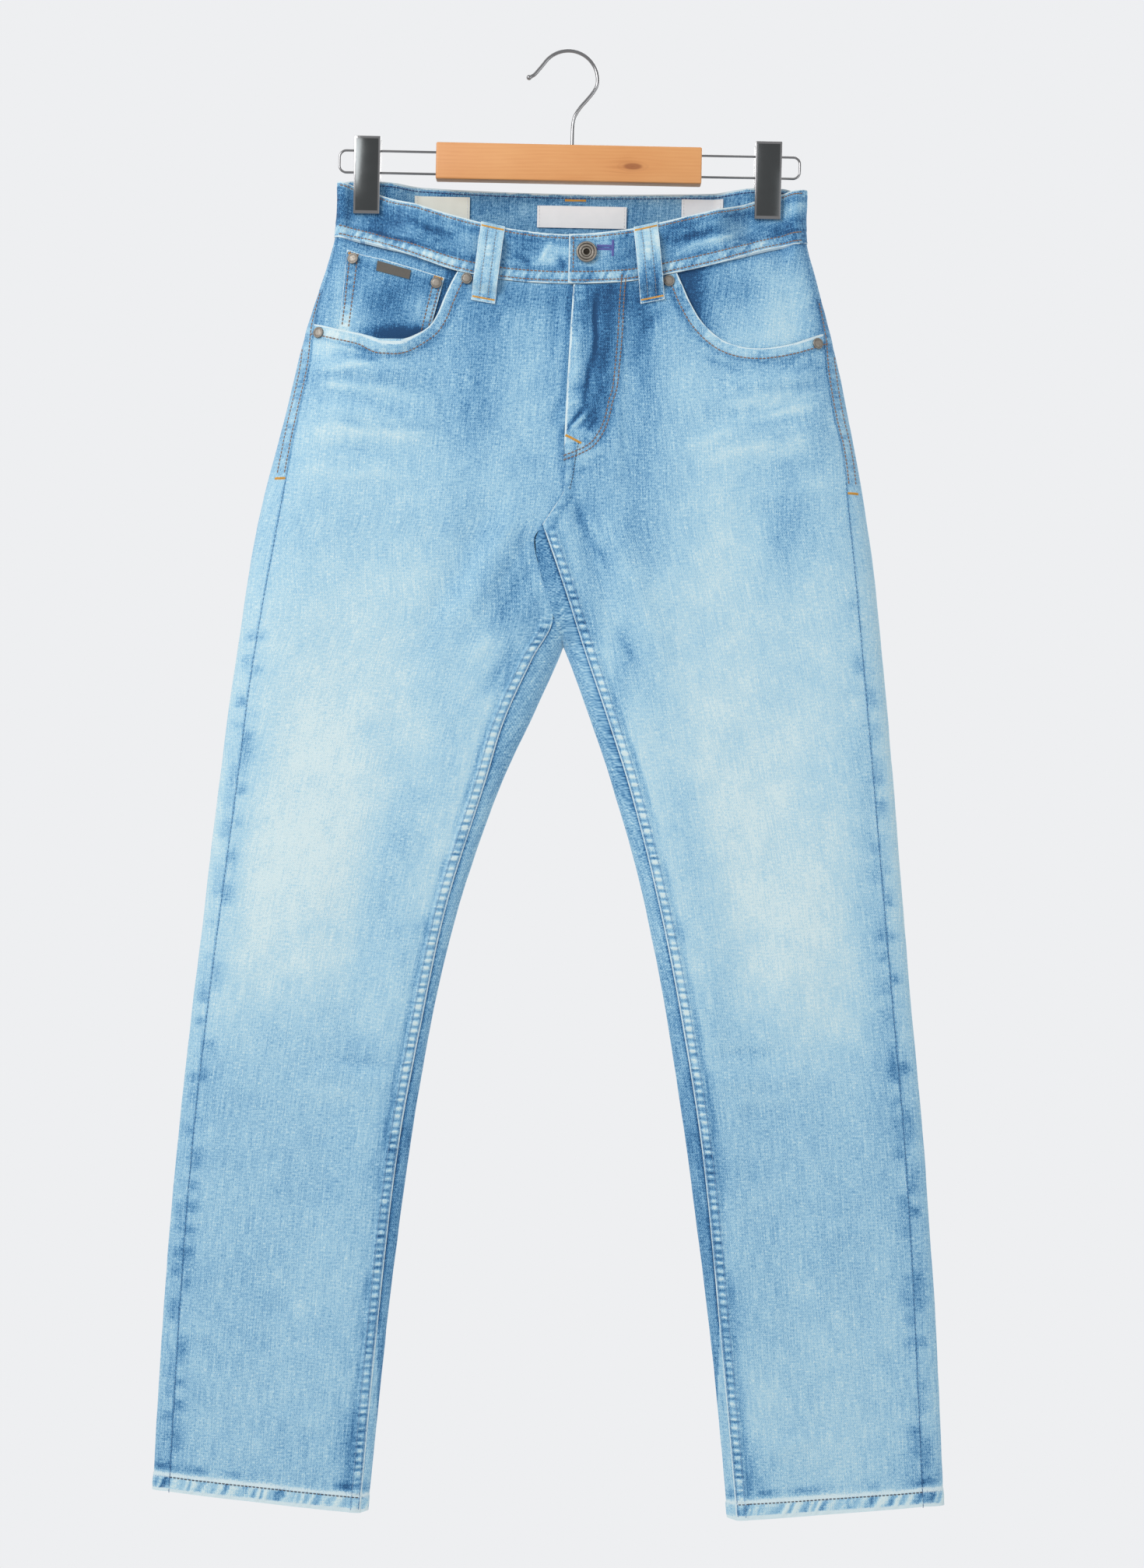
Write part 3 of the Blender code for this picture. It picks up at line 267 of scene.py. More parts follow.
# The fly's edge, which becomes the front seam: drop, x
FLY_EDGE = np.array([
    (190, 3.5), (230, 1.6), (270, 0.0), (318, -1.5), (364, -2.0), (377, -9.8), (390, -18.0),
])

# The waistband's edges all round: x, front top, front seam, back top, back seam
WAIST = np.array([
    (-194, 109.5, 155.5, 109.5, 155.5), (-168, 117.0, 161.5, 109.0, 154.0),
    (-130, 130.0, 173.0, 109.5, 153.0), (-90, 141.5, 185.5, 111.0, 153.0),
    (-50, 150.0, 192.0, 112.0, 153.0), (0, 154.0, 194.0, 112.5, 153.0), (45, 149.0, 191.5, 112.0, 153.0),
    (85, 139.5, 183.5, 111.0, 152.5), (125, 129.0, 173.5, 109.5, 152.0), (161, 116.5, 161.5, 108.0, 152.5),
    (194, 109.5, 153.5, 109.5, 153.5),
])

# How full the hollow is: drop, half depth in front, half depth behind, width of the rounded edge
FULLNESS = np.array([
    (105, 22.0, 20.0, 95), (150, 23.0, 21.0, 95), (200, 23.0, 25.0, 95), (300, 23.0, 29.0, 90),
    (400, 22.0, 29.0, 80), (488, 19.0, 24.0, 70), (600, 15.0, 17.0, 62), (750, 12.0, 12.5, 60),
    (900, 10.5, 10.5, 60), (1050, 9.8, 9.8, 60), (1210, 9.5, 9.5, 60),
])

# The two clips: x of the middle, top drop, bottom drop
CLIPS = {"right": (-167.8, 74.0, 137.0), "left": (161.2, 72.0, 135.0)}
CLIP_WIDTH = 21.5
PINCHED_HALF = 2.6  # half depth of the panels where a clip pinches them
PINCH_FLAT = 12.5  # flat on each side of the clip's middle
PINCH_FADE_IN, PINCH_FADE_OUT = 32.0, 11.0  # towards the fly, towards the fold
PINCH_ENDS = (142.0, 176.0)  # drops between which the pinch dies away

# The largest soft folds on each face: start x, start drop, end x, end drop, half width, height
FOLDS = {
    FRONT: [
        (-205, 262, -120, 276, 9, 1.6), (-212, 300, -95, 312, 11, 1.8), (208, 262, 120, 284, 9, 1.5),
        (214, 306, 110, 318, 11, 1.7), (18, 205, 22, 300, 7, -1.6), (-34, 372, -78, 470, 12, 2.2),
        (-55, 360, -110, 480, 13, -1.8), (8, 372, 52, 500, 11, -2.0), (30, 360, 90, 520, 13, 1.8),
        (-150, 205, -158, 222, 9, -1.0), (-235, 560, -170, 840, 30, 1.6),
        (-150, 620, -195, 1000, 26, -1.3), (225, 540, 180, 860, 30, 1.5), (140, 640, 195, 1020, 26, -1.3),
        (-205, 842, -130, 850, 10, 1.0), (130, 845, 210, 838, 10, 1.0),
    ],
    BACK: [
        (-205, 330, -60, 380, 34, 1.6), (205, 336, 62, 384, 34, 1.6), (-120, 428, -30, 474, 16, -2.0),
        (120, 432, 32, 474, 16, -2.0), (-150, 478, -50, 508, 13, 1.8), (152, 480, 56, 512, 13, 1.8),
        (-240, 600, -190, 900, 30, 1.5), (238, 620, 190, 900, 30, 1.5), (-220, 820, -140, 842, 12, 1.4),
        (220, 828, 138, 846, 12, 1.4),
    ],
}


def curve(table, column):
    """A smooth monotone curve through a table's rows, as a function of its first column."""
    knots, values = table[:, 0].astype(float), table[:, column].astype(float)
    steps = np.diff(knots)
    slopes = np.diff(values) / steps
    tangents = np.concatenate([slopes[:1], (slopes[:-1] + slopes[1:]) / 2, slopes[-1:]])
    turning = slopes[:-1] * slopes[1:] <= 0
    tangents[1:-1][turning] = 0.0

    def at(where):
        where = np.clip(np.asarray(where, float), knots[0], knots[-1])
        row = np.clip(np.searchsorted(knots, where, side="right") - 1, 0, len(steps) - 1)
        t = (where - knots[row]) / steps[row]
        rise = slopes[row] * steps[row]
        start, end = tangents[row] * steps[row], tangents[row + 1] * steps[row]
        bend = (start - rise) * (1 - t) - (end - rise) * t
        return values[row] + t * rise + t * (1 - t) * bend

    return at


OUTER_X = {"right": curve(OUTER, 1), "left": curve(OUTER, 2)}
INNER_X = {"right": curve(INNER, 1), "left": curve(INNER, 2)}
SIDE_X = {"right": curve(SIDE_SEAM, 1), "left": curve(SIDE_SEAM, 2)}
INSEAM_X = {"right": curve(INSEAM_RIGHT, 1), "left": curve(INSEAM_LEFT, 1)}
FLY_X = curve(FLY_EDGE, 1)
FRONT_TOP, FRONT_SEAM, BACK_TOP, BACK_SEAM = (curve(WAIST, n) for n in (1, 2, 3, 4))
FULL_FRONT, FULL_BACK, EDGE_WIDTH = (curve(FULLNESS, n) for n in (1, 2, 3))
SIGN = {"right": -1.0, "left": 1.0}


def smooth(low, high, value):
    """0 below low, 1 above high, and an S between them."""
    t = np.clip((np.asarray(value, float) - low) / (high - low), 0.0, 1.0)
    return t * t * (3 - 2 * t)


def to_line(x, drop, points):
    """Distance from each place to a line through points."""
    best = np.full(np.shape(x), 1e9)
    for (x0, d0), (x1, d1) in zip(points[:-1], points[1:]):
        length = (x1 - x0) ** 2 + (d1 - d0) ** 2
        t = np.clip(((x - x0) * (x1 - x0) + (drop - d0) * (d1 - d0)) / length, 0, 1)
        away = np.hypot(x - x0 - t * (x1 - x0), drop - d0 - t * (d1 - d0))
        best = np.minimum(best, away)
    return best


def gap_outline():
    """The gap between the legs as one line, up the right leg, over the crotch and down the left."""
    drops = np.concatenate([np.arange(488, 620, 8.0), np.arange(620, 1241, 30.0)])
    right = [(float(INNER_X["right"](d)), d) for d in drops[::-1]]
    return right + [(float(INNER_X["left"](d)), d) for d in drops[1:]]


GAP_LINE = gap_outline()


def pinch(x, drop):
    """1 where a clip holds front and back together, fading to 0 round it."""
    found = np.zeros(np.shape(x))
    for side, (middle, _, _) in CLIPS.items():
        outward = SIGN[side] * (x - middle)
        fade = np.where(outward > 0, PINCH_FADE_OUT, PINCH_FADE_IN)
        away = np.clip((np.abs(outward) - PINCH_FLAT) / fade, 0.0, 1.0)
        found = np.maximum(found, 1 - smooth(0, 1, away))
    return found * (1 - smooth(*PINCH_ENDS, drop))


def half_depth(x, drop, face):
    """Half the depth of the hung garment, from its middle plane to the base surface of a face."""
    edge = EDGE_WIDTH(drop)
    share = 1.0
    outer_right = x - OUTER_X["right"](drop)
    outer_left = OUTER_X["left"](drop) - x
    for away in (np.minimum(outer_right, outer_left), to_line(x, drop, GAP_LINE)):
        share = share * (1 - (1 - np.clip(away / edge, 0.0, 1.0)) ** 3)
    full = np.where(np.asarray(face) > 0, FULL_BACK(drop), FULL_FRONT(drop))
    held = pinch(x, drop)
    return (1 - held) * full * np.sqrt(share) + held * PINCHED_HALF


def marks_of(table):
    """The rows of a table of marks on the cloth, each with the face that it is on."""
    return [(face, row) for face, rows in table.items() for row in rows]


def stroke(x, drop, x0, d0, x1, d1):
    """A stroke's length, and how far each place lies along it and across from it."""
    length = np.hypot(x1 - x0, d1 - d0)
    along = ((x - x0) * (x1 - x0) + (drop - d0) * (d1 - d0)) / length
    return length, along, ((x - x0) * (d1 - d0) - (drop - d0) * (x1 - x0)) / length


def fold_height(x, drop, face):
    """How far the soft folds lift or sink a place."""
    height = np.zeros(np.shape(x))
    for on, (x0, d0, x1, d1, width, rise) in marks_of(FOLDS):
        length, along, across = stroke(x, drop, x0, d0, x1, d1)
        taper = smooth(-0.1, 0.3, along / length) * (1 - smooth(0.7, 1.1, along / length))
        height += rise * taper * np.exp(-((across / width) ** 2)) * (np.asarray(face) == on)
    return height


# Smaller creases than the folds: start x, start drop, end x, end drop, half width, height, and how much
# paler the wear has left it. A trough has a negative height and is darker.
CREASES = {
    FRONT: [
        (-214, 268, -128, 262, 3.5, 0.7, 0.10), (-212, 280, -110, 290, 4.0, 0.8, 0.12),
        (-208, 289, -130, 300, 3.0, -0.6, -0.07), (-216, 312, -100, 326, 4.5, 0.8, 0.11),
        (-214, 328, -140, 340, 3.5, -0.5, -0.05), (-220, 345, -120, 356, 5.0, 0.5, 0.06),
        (-180, 255, -140, 268, 2.5, -0.6, -0.08), (214, 266, 134, 272, 3.5, 0.6, 0.09),
        (216, 282, 120, 296, 4.5, 0.8, 0.12), (210, 293, 140, 305, 3.0, -0.5, -0.06),
        (220, 314, 104, 334, 5.0, 0.8, 0.11), (218, 330, 150, 346, 3.5, -0.5, -0.05),
        (224, 350, 140, 366, 5.0, 0.4, 0.05), (-208, 268, -148, 261, 2.6, 0.4, 0.08),
        (-210, 275, -172, 285, 2.4, 0.4, 0.10), (-208, 282, -156, 288, 2.4, -0.5, -0.12),
        (-192, 253, -154, 259, 2.6, -0.6, -0.13), (-178, 245, -154, 262, 2.4, -0.6, -0.14),
        (-213, 310, -100, 315, 2.6, -0.4, -0.09), (-170, 305, -100, 320, 3.0, 0.4, 0.08),
        (154, 254, 218, 257, 3.2, -0.5, -0.13), (104, 252, 150, 265, 3.0, -0.6, -0.13),
        (134, 288, 224, 273, 3.0, 0.5, 0.11), (140, 298, 220, 282, 2.4, -0.5, -0.11),
        (118, 308, 224, 287, 3.4, 0.5, 0.10), (90, 329, 150, 306, 4.0, 0.4, 0.08),
        (-184, 148, -110, 168, 4.0, -0.6, -0.12), (-176, 158, -92, 176, 2.6, 0.6, 0.14),
        (-132, 146, -88, 160, 3.0, -0.5, -0.14), (-46, 170, -30, 182, 3.0, -0.6, -0.14),
        (-14, 160, -26, 178, 2.2, 0.6, 0.16), (-12, 170, -4, 184, 3.0, -0.6, -0.16),
        (76, 158, 128, 148, 3.4, -0.7, -0.18), (82, 168, 150, 146, 2.4, 0.5, 0.12),
        (118, 158, 176, 140, 3.0, -0.5, -0.12), (24, 196, 19, 268, 1.9, -1.4, -0.40),
        (19, 250, 12, 298, 1.9, -1.1, -0.34), (15, 293, -3, 319, 2.0, -1.3, -0.44),
        (-1, 294, 13, 287, 1.7, 0.8, 0.15), (3, 313, 19, 298, 1.9, 1.0, 0.20),
        (11, 314, 23, 293, 2.0, -1.0, -0.22), (17, 317, 26, 299, 2.2, -0.8, -0.20),
        (10, 310, 24, 320, 2.2, 0.7, 0.16), (3, 220, 18, 217, 1.6, 0.5, 0.14),
        (3, 207, 15, 205, 1.5, 0.5, 0.12), (3, 236, 13, 247, 2.6, 0.5, 0.10),
        (5, 253, 9, 276, 3.6, 0.5, 0.10), (2, 282, 16, 276, 1.8, -0.5, -0.12),
        (28, 276, 38, 262, 3.0, 0.5, 0.10), (8, 334, 34, 327, 4.0, 0.5, 0.12),
        (7, 349, 22, 345, 2.2, -0.5, -0.14), (80, 210, 56, 238, 4.0, -0.7, -0.16),
        (-13, 200, -9, 250, 4.0, -0.5, -0.12), (-6, 284, -11, 312, 4.5, -0.6, -0.14),
        (4, 364, 32, 418, 3.4, -1.0, -0.17), (18, 382, 30, 412, 2.6, 0.7, 0.12),
        (29, 404, 38, 432, 3.4, -0.6, -0.12), (14, 368, 12, 392, 5.0, -0.6, -0.12),
        (44, 470, 66, 518, 5.0, -0.6, -0.11), (-22, 404, -60, 478, 7.0, -0.7, -0.10),
        (-34, 484, -72, 536, 6.0, -0.5, -0.13), (-57, 484, -74, 506, 5.0, 0.5, 0.08),
        (12, 396, 40, 456, 4.0, -0.7, -0.06), (34, 400, 84, 500, 7.0, 0.7, 0.05),
        (-30, 396, -60, 452, 5.0, -0.6, -0.05), (-46, 386, -90, 470, 6.0, 0.6, 0.05),
        (-84, 420, -120, 520, 9.0, -0.6, -0.04), (-190, 826, -130, 834, 5.0, -0.5, -0.06),
        (-214, 856, -150, 864, 6.0, 0.5, 0.04), (128, 826, 190, 818, 5.0, -0.5, -0.06),
        (140, 862, 214, 852, 6.0, 0.5, 0.04), (-170, 1140, -230, 1120, 7.0, 0.5, 0.03),
        (168, 1150, 226, 1128, 7.0, 0.5, 0.03), (-300, 1060, -250, 1086, 7.0, -0.4, -0.03),
        (300, 1058, 256, 1082, 7.0, -0.4, -0.03),
    ],
    BACK: [
        (-196, 420, -96, 452, 6.0, 0.7, 0.09), (-200, 444, -110, 474, 4.0, -0.6, -0.06),
        (198, 424, 98, 456, 6.0, 0.7, 0.09), (202, 448, 112, 478, 4.0, -0.6, -0.06),
        (-60, 396, -16, 440, 5.0, 0.7, 0.06), (62, 400, 18, 442, 5.0, 0.7, 0.06),
        (-230, 770, -140, 800, 5.0, 0.8, 0.11), (-232, 792, -150, 816, 4.0, -0.6, -0.06),
        (-236, 812, -146, 826, 5.0, 0.7, 0.09), (230, 776, 138, 806, 5.0, 0.8, 0.11),
        (232, 796, 148, 820, 4.0, -0.6, -0.06), (236, 818, 142, 834, 5.0, 0.7, 0.09),
        (-290, 1080, -220, 1060, 7.0, 0.5, 0.04), (290, 1084, 222, 1064, 7.0, 0.5, 0.04),
    ],
}

# Patches where the washing left the indigo paler or deeper, with patches of painted shade at the crotch,
# inner thighs, hips' edges, beside the right pocket mouth and below the knees: x, drop, half width, half
# height, how far the patch leans across for each unit down, and how much paler it is
WASH_AND_SHADE_PATCHES = {
    FRONT: [
        (-180, 575, 62, 150, -0.28, 0.05), (-222, 660, 44, 110, -0.20, 0.06),
        (-196, 244, 24, 16, 0.0, 0.16), (-196, 322, 28, 46, 0.0, 0.09), (156, 640, 50, 110, 0.26, 0.04),
        (196, 740, 44, 80, 0.16, 0.06), (140, 420, 30, 60, 0.0, 0.06), (100, 275, 18, 24, 0.0, 0.10),
        (-30, 290, 15, 60, 0.0, 0.05), (-72, 286, 20, 62, 0.0, -0.22), (-110, 262, 30, 24, 0.0, -0.07),
        (10, 208, 12, 22, 0.0, -0.22), (9, 250, 9, 40, 0.0, -0.12), (31, 250, 11, 74, -0.06, -0.50),
        (14, 298, 12, 20, 0.0, -0.24), (44, 203, 30, 16, 0.0, -0.22), (58, 228, 11, 36, 0.0, -0.40),
        (22, 255, 12, 80, 0.0, -0.13), (-190, 270, 16, 8, 0.0, -0.14), (-190, 241, 14, 8, 0.0, 0.10),
        (205, 215, 10, 30, 0.0, -0.07), (116, 302, 28, 14, 0.0, -0.08), (-30, 342, 16, 16, 0.0, -0.07),
        (-112, 580, 22, 40, 0.0, 0.10), (20, 460, 12, 30, 0.0, -0.16), (-48, 505, 12, 50, 0.0, -0.14),
        (48, 520, 9, 50, 0.0, -0.14), (-122, 730, 18, 40, 0.0, -0.10), (245, 1120, 62, 90, 0.0, 0.09),
        (176, 1110, 16, 40, 0.0, 0.07), (-192, 1010, 30, 50, 0.0, 0.06), (190, 560, 26, 30, 0.0, 0.05),
        (-140, 580, 20, 30, 0.0, -0.07), (-30, 460, 10, 20, 0.0, -0.05), (-150, 274, 36, 12, 0.0, -0.10),
        (-116, 244, 16, 12, 0.0, -0.16), (-108, 302, 26, 24, 0.0, -0.10), (-30, 310, 16, 40, 0.0, -0.07),
        (-190, 205, 16, 16, 0.0, -0.10), (205, 222, 12, 40, 0.0, -0.10), (180, 268, 26, 12, 0.0, -0.09),
        (20, 340, 16, 12, 0.0, 0.07), (140, 340, 26, 26, 0.0, 0.06), (205, 345, 14, 26, 0.0, 0.06),
        (94, 210, 9, 24, 0.3, -0.16), (66, 278, 10, 34, 0.0, -0.13), (-74, 212, 22, 24, 0.0, -0.10),
        (-15, 250, 7, 60, 0.0, -0.10), (60, 316, 20, 36, 0.0, -0.12), (-40, 204, 40, 13, 0.0, -0.16),
        (-60, 226, 22, 22, 0.0, -0.10), (-206, 280, 10, 30, 0.0, -0.10), (207, 305, 12, 50, 0.0, -0.14),
        (180, 385, 20, 46, 0.0, -0.16), (22, 400, 28, 70, 0.30, -0.16), (62, 384, 20, 60, 0.10, -0.16),
        (66, 500, 22, 50, 0.30, -0.08), (-56, 440, 34, 60, -0.40, -0.18), (-26, 462, 22, 30, 0.0, -0.14),
        (-82, 380, 24, 40, 0.0, -0.06), (-128, 640, 20, 130, -0.24, -0.14),
        (-88, 580, 16, 50, -0.24, -0.10), (114, 670, 18, 130, 0.22, -0.12),
        (262, 700, 18, 190, 0.10, -0.16), (-264, 650, 16, 110, -0.10, -0.10),
        (-190, 822, 64, 16, 0.0, -0.05), (176, 858, 60, 18, 0.0, -0.02), (-272, 862, 26, 40, 0.0, -0.06),
        (-162, 1136, 12, 24, 0.0, -0.16), (-306, 1150, 16, 24, 0.0, -0.10),
        (172, 1168, 10, 12, 0.0, -0.10), (306, 1164, 18, 20, 0.0, -0.12),
    ],
    BACK: [
        (-112, 340, 74, 84, 0.0, 0.14), (112, 344, 74, 84, 0.0, 0.14), (-180, 600, 60, 160, -0.24, 0.10),
        (180, 604, 60, 160, 0.24, 0.10), (-200, 800, 60, 40, 0.0, -0.10), (200, 806, 60, 40, 0.0, -0.10),
        (0, 400, 40, 90, 0.0, -0.12), (-170, 1150, 40, 40, 0.0, -0.08), (170, 1150, 40, 40, 0.0, -0.08),
    ],
}

# How pale the plain cloth is down the legs: drop, front, back
CLOTH_FADE = np.array([
    (105, 0.50, 0.50), (190, 0.60, 0.55), (240, 0.69, 0.62), (300, 0.75, 0.68), (380, 0.80, 0.72),
    (460, 0.87, 0.74), (560, 0.90, 0.77), (680, 0.91, 0.79), (760, 0.865, 0.79), (820, 0.80, 0.75),
    (880, 0.74, 0.72), (960, 0.72, 0.71), (1080, 0.725, 0.72), (1210, 0.71, 0.71),
])
PLAIN_FRONT, PLAIN_BACK = curve(CLOTH_FADE, 1), curve(CLOTH_FADE, 2)


def ripple(along, pitch, seed):
    """Uneven waves along a line, from -1 to 1, with a swing about every pitch."""
    knots = np.random.default_rng(seed).uniform(-1.0, 1.0, 2048)
    at = np.asarray(along, float) / pitch + 1000.0
    low = np.floor(at).astype(int)
    t = at - low
    t = t * t * (3 - 2 * t)
    return knots[low % 2048] * (1 - t) + knots[(low + 1) % 2048] * t


def mottle(x, drop, size, seed):
    """Soft random patches, from -1 to 1, of about a size across and down."""
    knots = np.random.default_rng(seed).uniform(-1.0, 1.0, (97, 97))
    u, v = np.asarray(x, float) / size[0] + 500.0, np.asarray(drop, float) / size[1] + 500.0
    column, row = np.floor(u).astype(int), np.floor(v).astype(int)
    s, t = u - column, v - row
    s, t = s * s * (3 - 2 * s), t * t * (3 - 2 * t)
    upper = knots[row % 97, column % 97] * (1 - s) + knots[row % 97, (column + 1) % 97] * s
    lower = knots[(row + 1) % 97, column % 97] * (1 - s) + knots[(row + 1) % 97, (column + 1) % 97] * s
    return upper * (1 - t) + lower * t


def bump(away, width):
    """1 on a line, dying away on both sides of it."""
    return np.exp(-((np.asarray(away) / width) ** 2))


def crease(x, drop, face):
    """The height of the small creases, and how much paler they are."""
    height, paler = np.zeros(np.shape(x)), np.zeros(np.shape(x))
    for on, (x0, d0, x1, d1, width, rise, pale) in marks_of(CREASES):
        length, along, across = stroke(x, drop, x0, d0, x1, d1)
        across = across + width * 0.8 * ripple(along, 22.0, int(abs(x0) + d0))
        there = smooth(-0.1, 0.35, along / length) * (1 - smooth(0.6, 1.1, along / length))
        there = there * bump(across, width) * (np.asarray(face) == on)
        height += rise * there
        paler += 1.3 * pale * there
    height += 0.35 * mottle(x, drop, (26.0, 60.0), 7) + 0.16 * mottle(x, drop, (9.0, 14.0), 8)
    return height, paler


def wash_and_shade(x, drop, face):
    """How pale the cloth looks, from 0 for deep indigo to 1 for nearly white: the faded indigo, with painted
    shade in some of its patches.
    """
    face = np.asarray(face, float)
    pale = np.where(face > 0, PLAIN_BACK(drop), PLAIN_FRONT(drop))
    for on, (middle_x, middle_drop, half_x, half_drop, lean, amount) in marks_of(WASH_AND_SHADE_PATCHES):
        side = x - middle_x - lean * (drop - middle_drop)
        reach = (side / half_x) ** 2 + ((drop - middle_drop) / half_drop) ** 2
        pale += amount * np.exp(-reach) * ((face > 0) == (on > 0))
    pale += crease(x, drop, face)[1]
    pale += 0.03 * mottle(x, drop, (30.0, 44.0), 3) + 0.02 * mottle(x, drop, (9.0, 18.0), 4)
    pale += 0.015 * mottle(x, drop, (4.0, 9.0), 5)
    return pale


def surface(x, drop, face):
    """Places on the hung cloth, in millimetres, and the way outwards at each."""
    x, drop, face = np.broadcast_arrays(*(np.asarray(v, float) for v in (x, drop, face)))
    y = face * np.where(face == FOLD, 0.0, half_depth(x, drop, face))
    middle = np.where(
        drop < GAP_TOP[1], 0.0, np.sign(x) * (np.abs(INNER_X["left"](drop)) + np.abs(x) + 60) / 2
    )
    inward = np.where(face == FOLD, 0.8 * np.sign(middle - x), 0.0)
    step = 0.35
    side = np.where(face == FOLD, FRONT, face)

    def square(dx, dd):
        return half_depth(x + inward + dx, drop + dd, side) ** 2

    outward = np.stack([
        -(square(step, 0) - square(-step, 0)) / (2 * step),
        2 * y,
        (square(0, step) - square(0, -step)) / (2 * step),
    ], axis=-1)
    outward /= np.maximum(np.linalg.norm(outward, axis=-1, keepdims=True), 1e-9)
    lift = fold_height(x, drop, face) + crease(x, drop, face)[0]
    points = np.stack([x + STEM_X, y, -drop], axis=-1) + outward * lift[..., None]
    return points, outward


def denim(name):
    """Stonewashed twill. The mesh's fade says how pale the cloth looks: how much indigo is left, darkened in
    places by painted shade and shadow. Its rub says where edges are worn to white thread, pucker how much
    it is gathered along a seam, and gather counts the puckers along it. Its grain map runs across and down
    the cloth in metres."""
    material, start = new_material(name)
    grain = start.add("UVMap", {"uv_map": "grain"})
    fade, rub, pucker, gather = (
        start.add("Attribute", {"attribute_name": mark}, output=2)
        for mark in ("fade", "rub", "pucker", "gather")
    )
    slub = start.noise(grain, 1.0, 2.0, (820.0, 42.0, 1.0))
    weft = start.noise(grain, 1.0, 1.0, (150.0, 1250.0, 1.0))
    thread = start.noise(grain, 1.0, 1.5, (1500.0, 480.0, 1.0))
    cloud = start.noise(grain, 42.0, 4.0)
    twill = start.add("TexWave", {"wave_type": "BANDS", "bands_direction": "DIAGONAL"}, {
        "Vector": grain, "Scale": 340.0, "Distortion": 1.2, "Detail": 1.0, "Detail Scale": 1.5,
    }, 1)
    uneven = start.add("TexNoise", {"noise_dimensions": "1D"}, {"W": gather, "Scale": 0.7, "Detail": 2.0})
    swell = start.maths("SINE", gather * math.tau + uneven * 5.0) * (uneven * 1.8 - 0.1)
    coarse = (fade * -3.6 + 4.1).held(0.85, 2.0)
    weave = (slub - 0.5) * 0.32 + (weft - 0.5) * 0.30 + (thread - 0.5) * 0.50 + (twill - 0.5) * 0.07
    tone = fade + weave * coarse + (cloud - 0.5) * 0.15 + pucker * swell * 0.34
    indigo = start.add("ValToRGB", {"stops": INDIGO}, {"Fac": tone.held()})
    worn = (rub * 1.5 - 0.25 + (thread - 0.5) * 0.9 + (cloud - 0.5) * 0.7).step(0.15, 0.75)
    colour = start.mix(worn, indigo, WORN_THREAD)
    relief = slub * 0.5 + thread * 0.5 + twill * 0.4 + weft * 0.3 + pucker * swell * 1.8
    woven_relief = start.add("Bump", {}, {"Height": relief, "Strength": 0.45, "Distance": 0.0004})
    return finished(material, {
        "Base Color": colour, "Normal": woven_relief, "Roughness": 0.92, "Sheen Weight": 0.12,
        "Sheen Roughness": 0.5,
    })


# The indigo as it washes out: how pale, and its colour
INDIGO = [
    (0.0, srgb(22, 70, 114)), (0.2, srgb(43, 102, 152)), (0.35, srgb(76, 134, 180)),
    (0.5, srgb(109, 161, 200)), (0.62, srgb(132, 180, 213)), (0.74, srgb(155, 199, 225)),
    (0.86, srgb(177, 214, 232)), (0.95, srgb(197, 224, 234)), (1.0, srgb(215, 234, 238)),
]
WORN_THREAD = srgb(214, 232, 238)
JEAN_DENIM = denim("washed denim")
INSIDE_PALE = 0.86  # the reverse of the cloth shows its undyed weft


def cloth(
    name, place, out, fade, rub, grain, thickness=DENIM, finish=JEAN_DENIM, inside=INSIDE_PALE,
    cells=None, pucker=0.0, gather=0.0,
):
    """A closed shell of cloth. place is what surface gave for a grid, out how far each spot lies outside
    the hung form, and cells marks the grid's squares that the piece has. fade is how pale the outside is,
    inside how pale the reverse."""
    points, outward = place
    rows, columns = points.shape[:2]
    if cells is None:
        cells = np.ones((rows - 1, columns - 1), bool)
    out = np.broadcast_to(out, (rows, columns))
    count = rows * columns
    places = np.concatenate([
        (points + outward * out[..., None]).reshape(-1, 3),
        (points + outward * (out - thickness)[..., None]).reshape(-1, 3),
    ]) * MM
    number = np.arange(count).reshape(rows, columns)
    a, b, c, d = number[:-1, :-1], number[:-1, 1:], number[1:, 1:], number[1:, :-1]
    faces = [np.stack([a, b, c, d], -1)[cells], np.stack([d, c, b, a], -1)[cells] + count]
    ringed = np.pad(cells, 1)
    for start, end, beyond in (
        (a, b, ringed[:-2, 1:-1]), (b, c, ringed[1:-1, 2:]),
        (c, d, ringed[2:, 1:-1]), (d, a, ringed[1:-1, :-2]),
    ):
        edge = cells & ~beyond
        faces.append(np.stack([end, start, start + count, end + count], -1)[edge])
    faces = np.concatenate(faces)
    first = faces[:1]
    way = np.cross(places[first[:, 1]] - places[first[:, 0]], places[first[:, 2]] - places[first[:, 1]])
    if (way * outward.reshape(-1, 3)[first[:, 0]]).sum() < 0:
        faces = faces[:, ::-1]
    used, faces = np.unique(faces, return_inverse=True)
    faces = faces.reshape(-1, 4)
    reverse = np.broadcast_to(inside, (rows, columns))
    marks = {"fade": np.concatenate([np.broadcast_to(fade, (rows, columns)).ravel(), reverse.ravel()])[used]}
    for mark, values in (("rub", rub), ("pucker", pucker), ("gather", gather)):
        marks[mark] = np.tile(np.broadcast_to(values, (rows, columns)).ravel(), 2)[used]
    grain = np.tile(np.stack(np.broadcast_arrays(*grain), -1).reshape(-1, 2) * MM, (2, 1))[used]
    return piece(name, places[used], faces, marks, grain, finish)


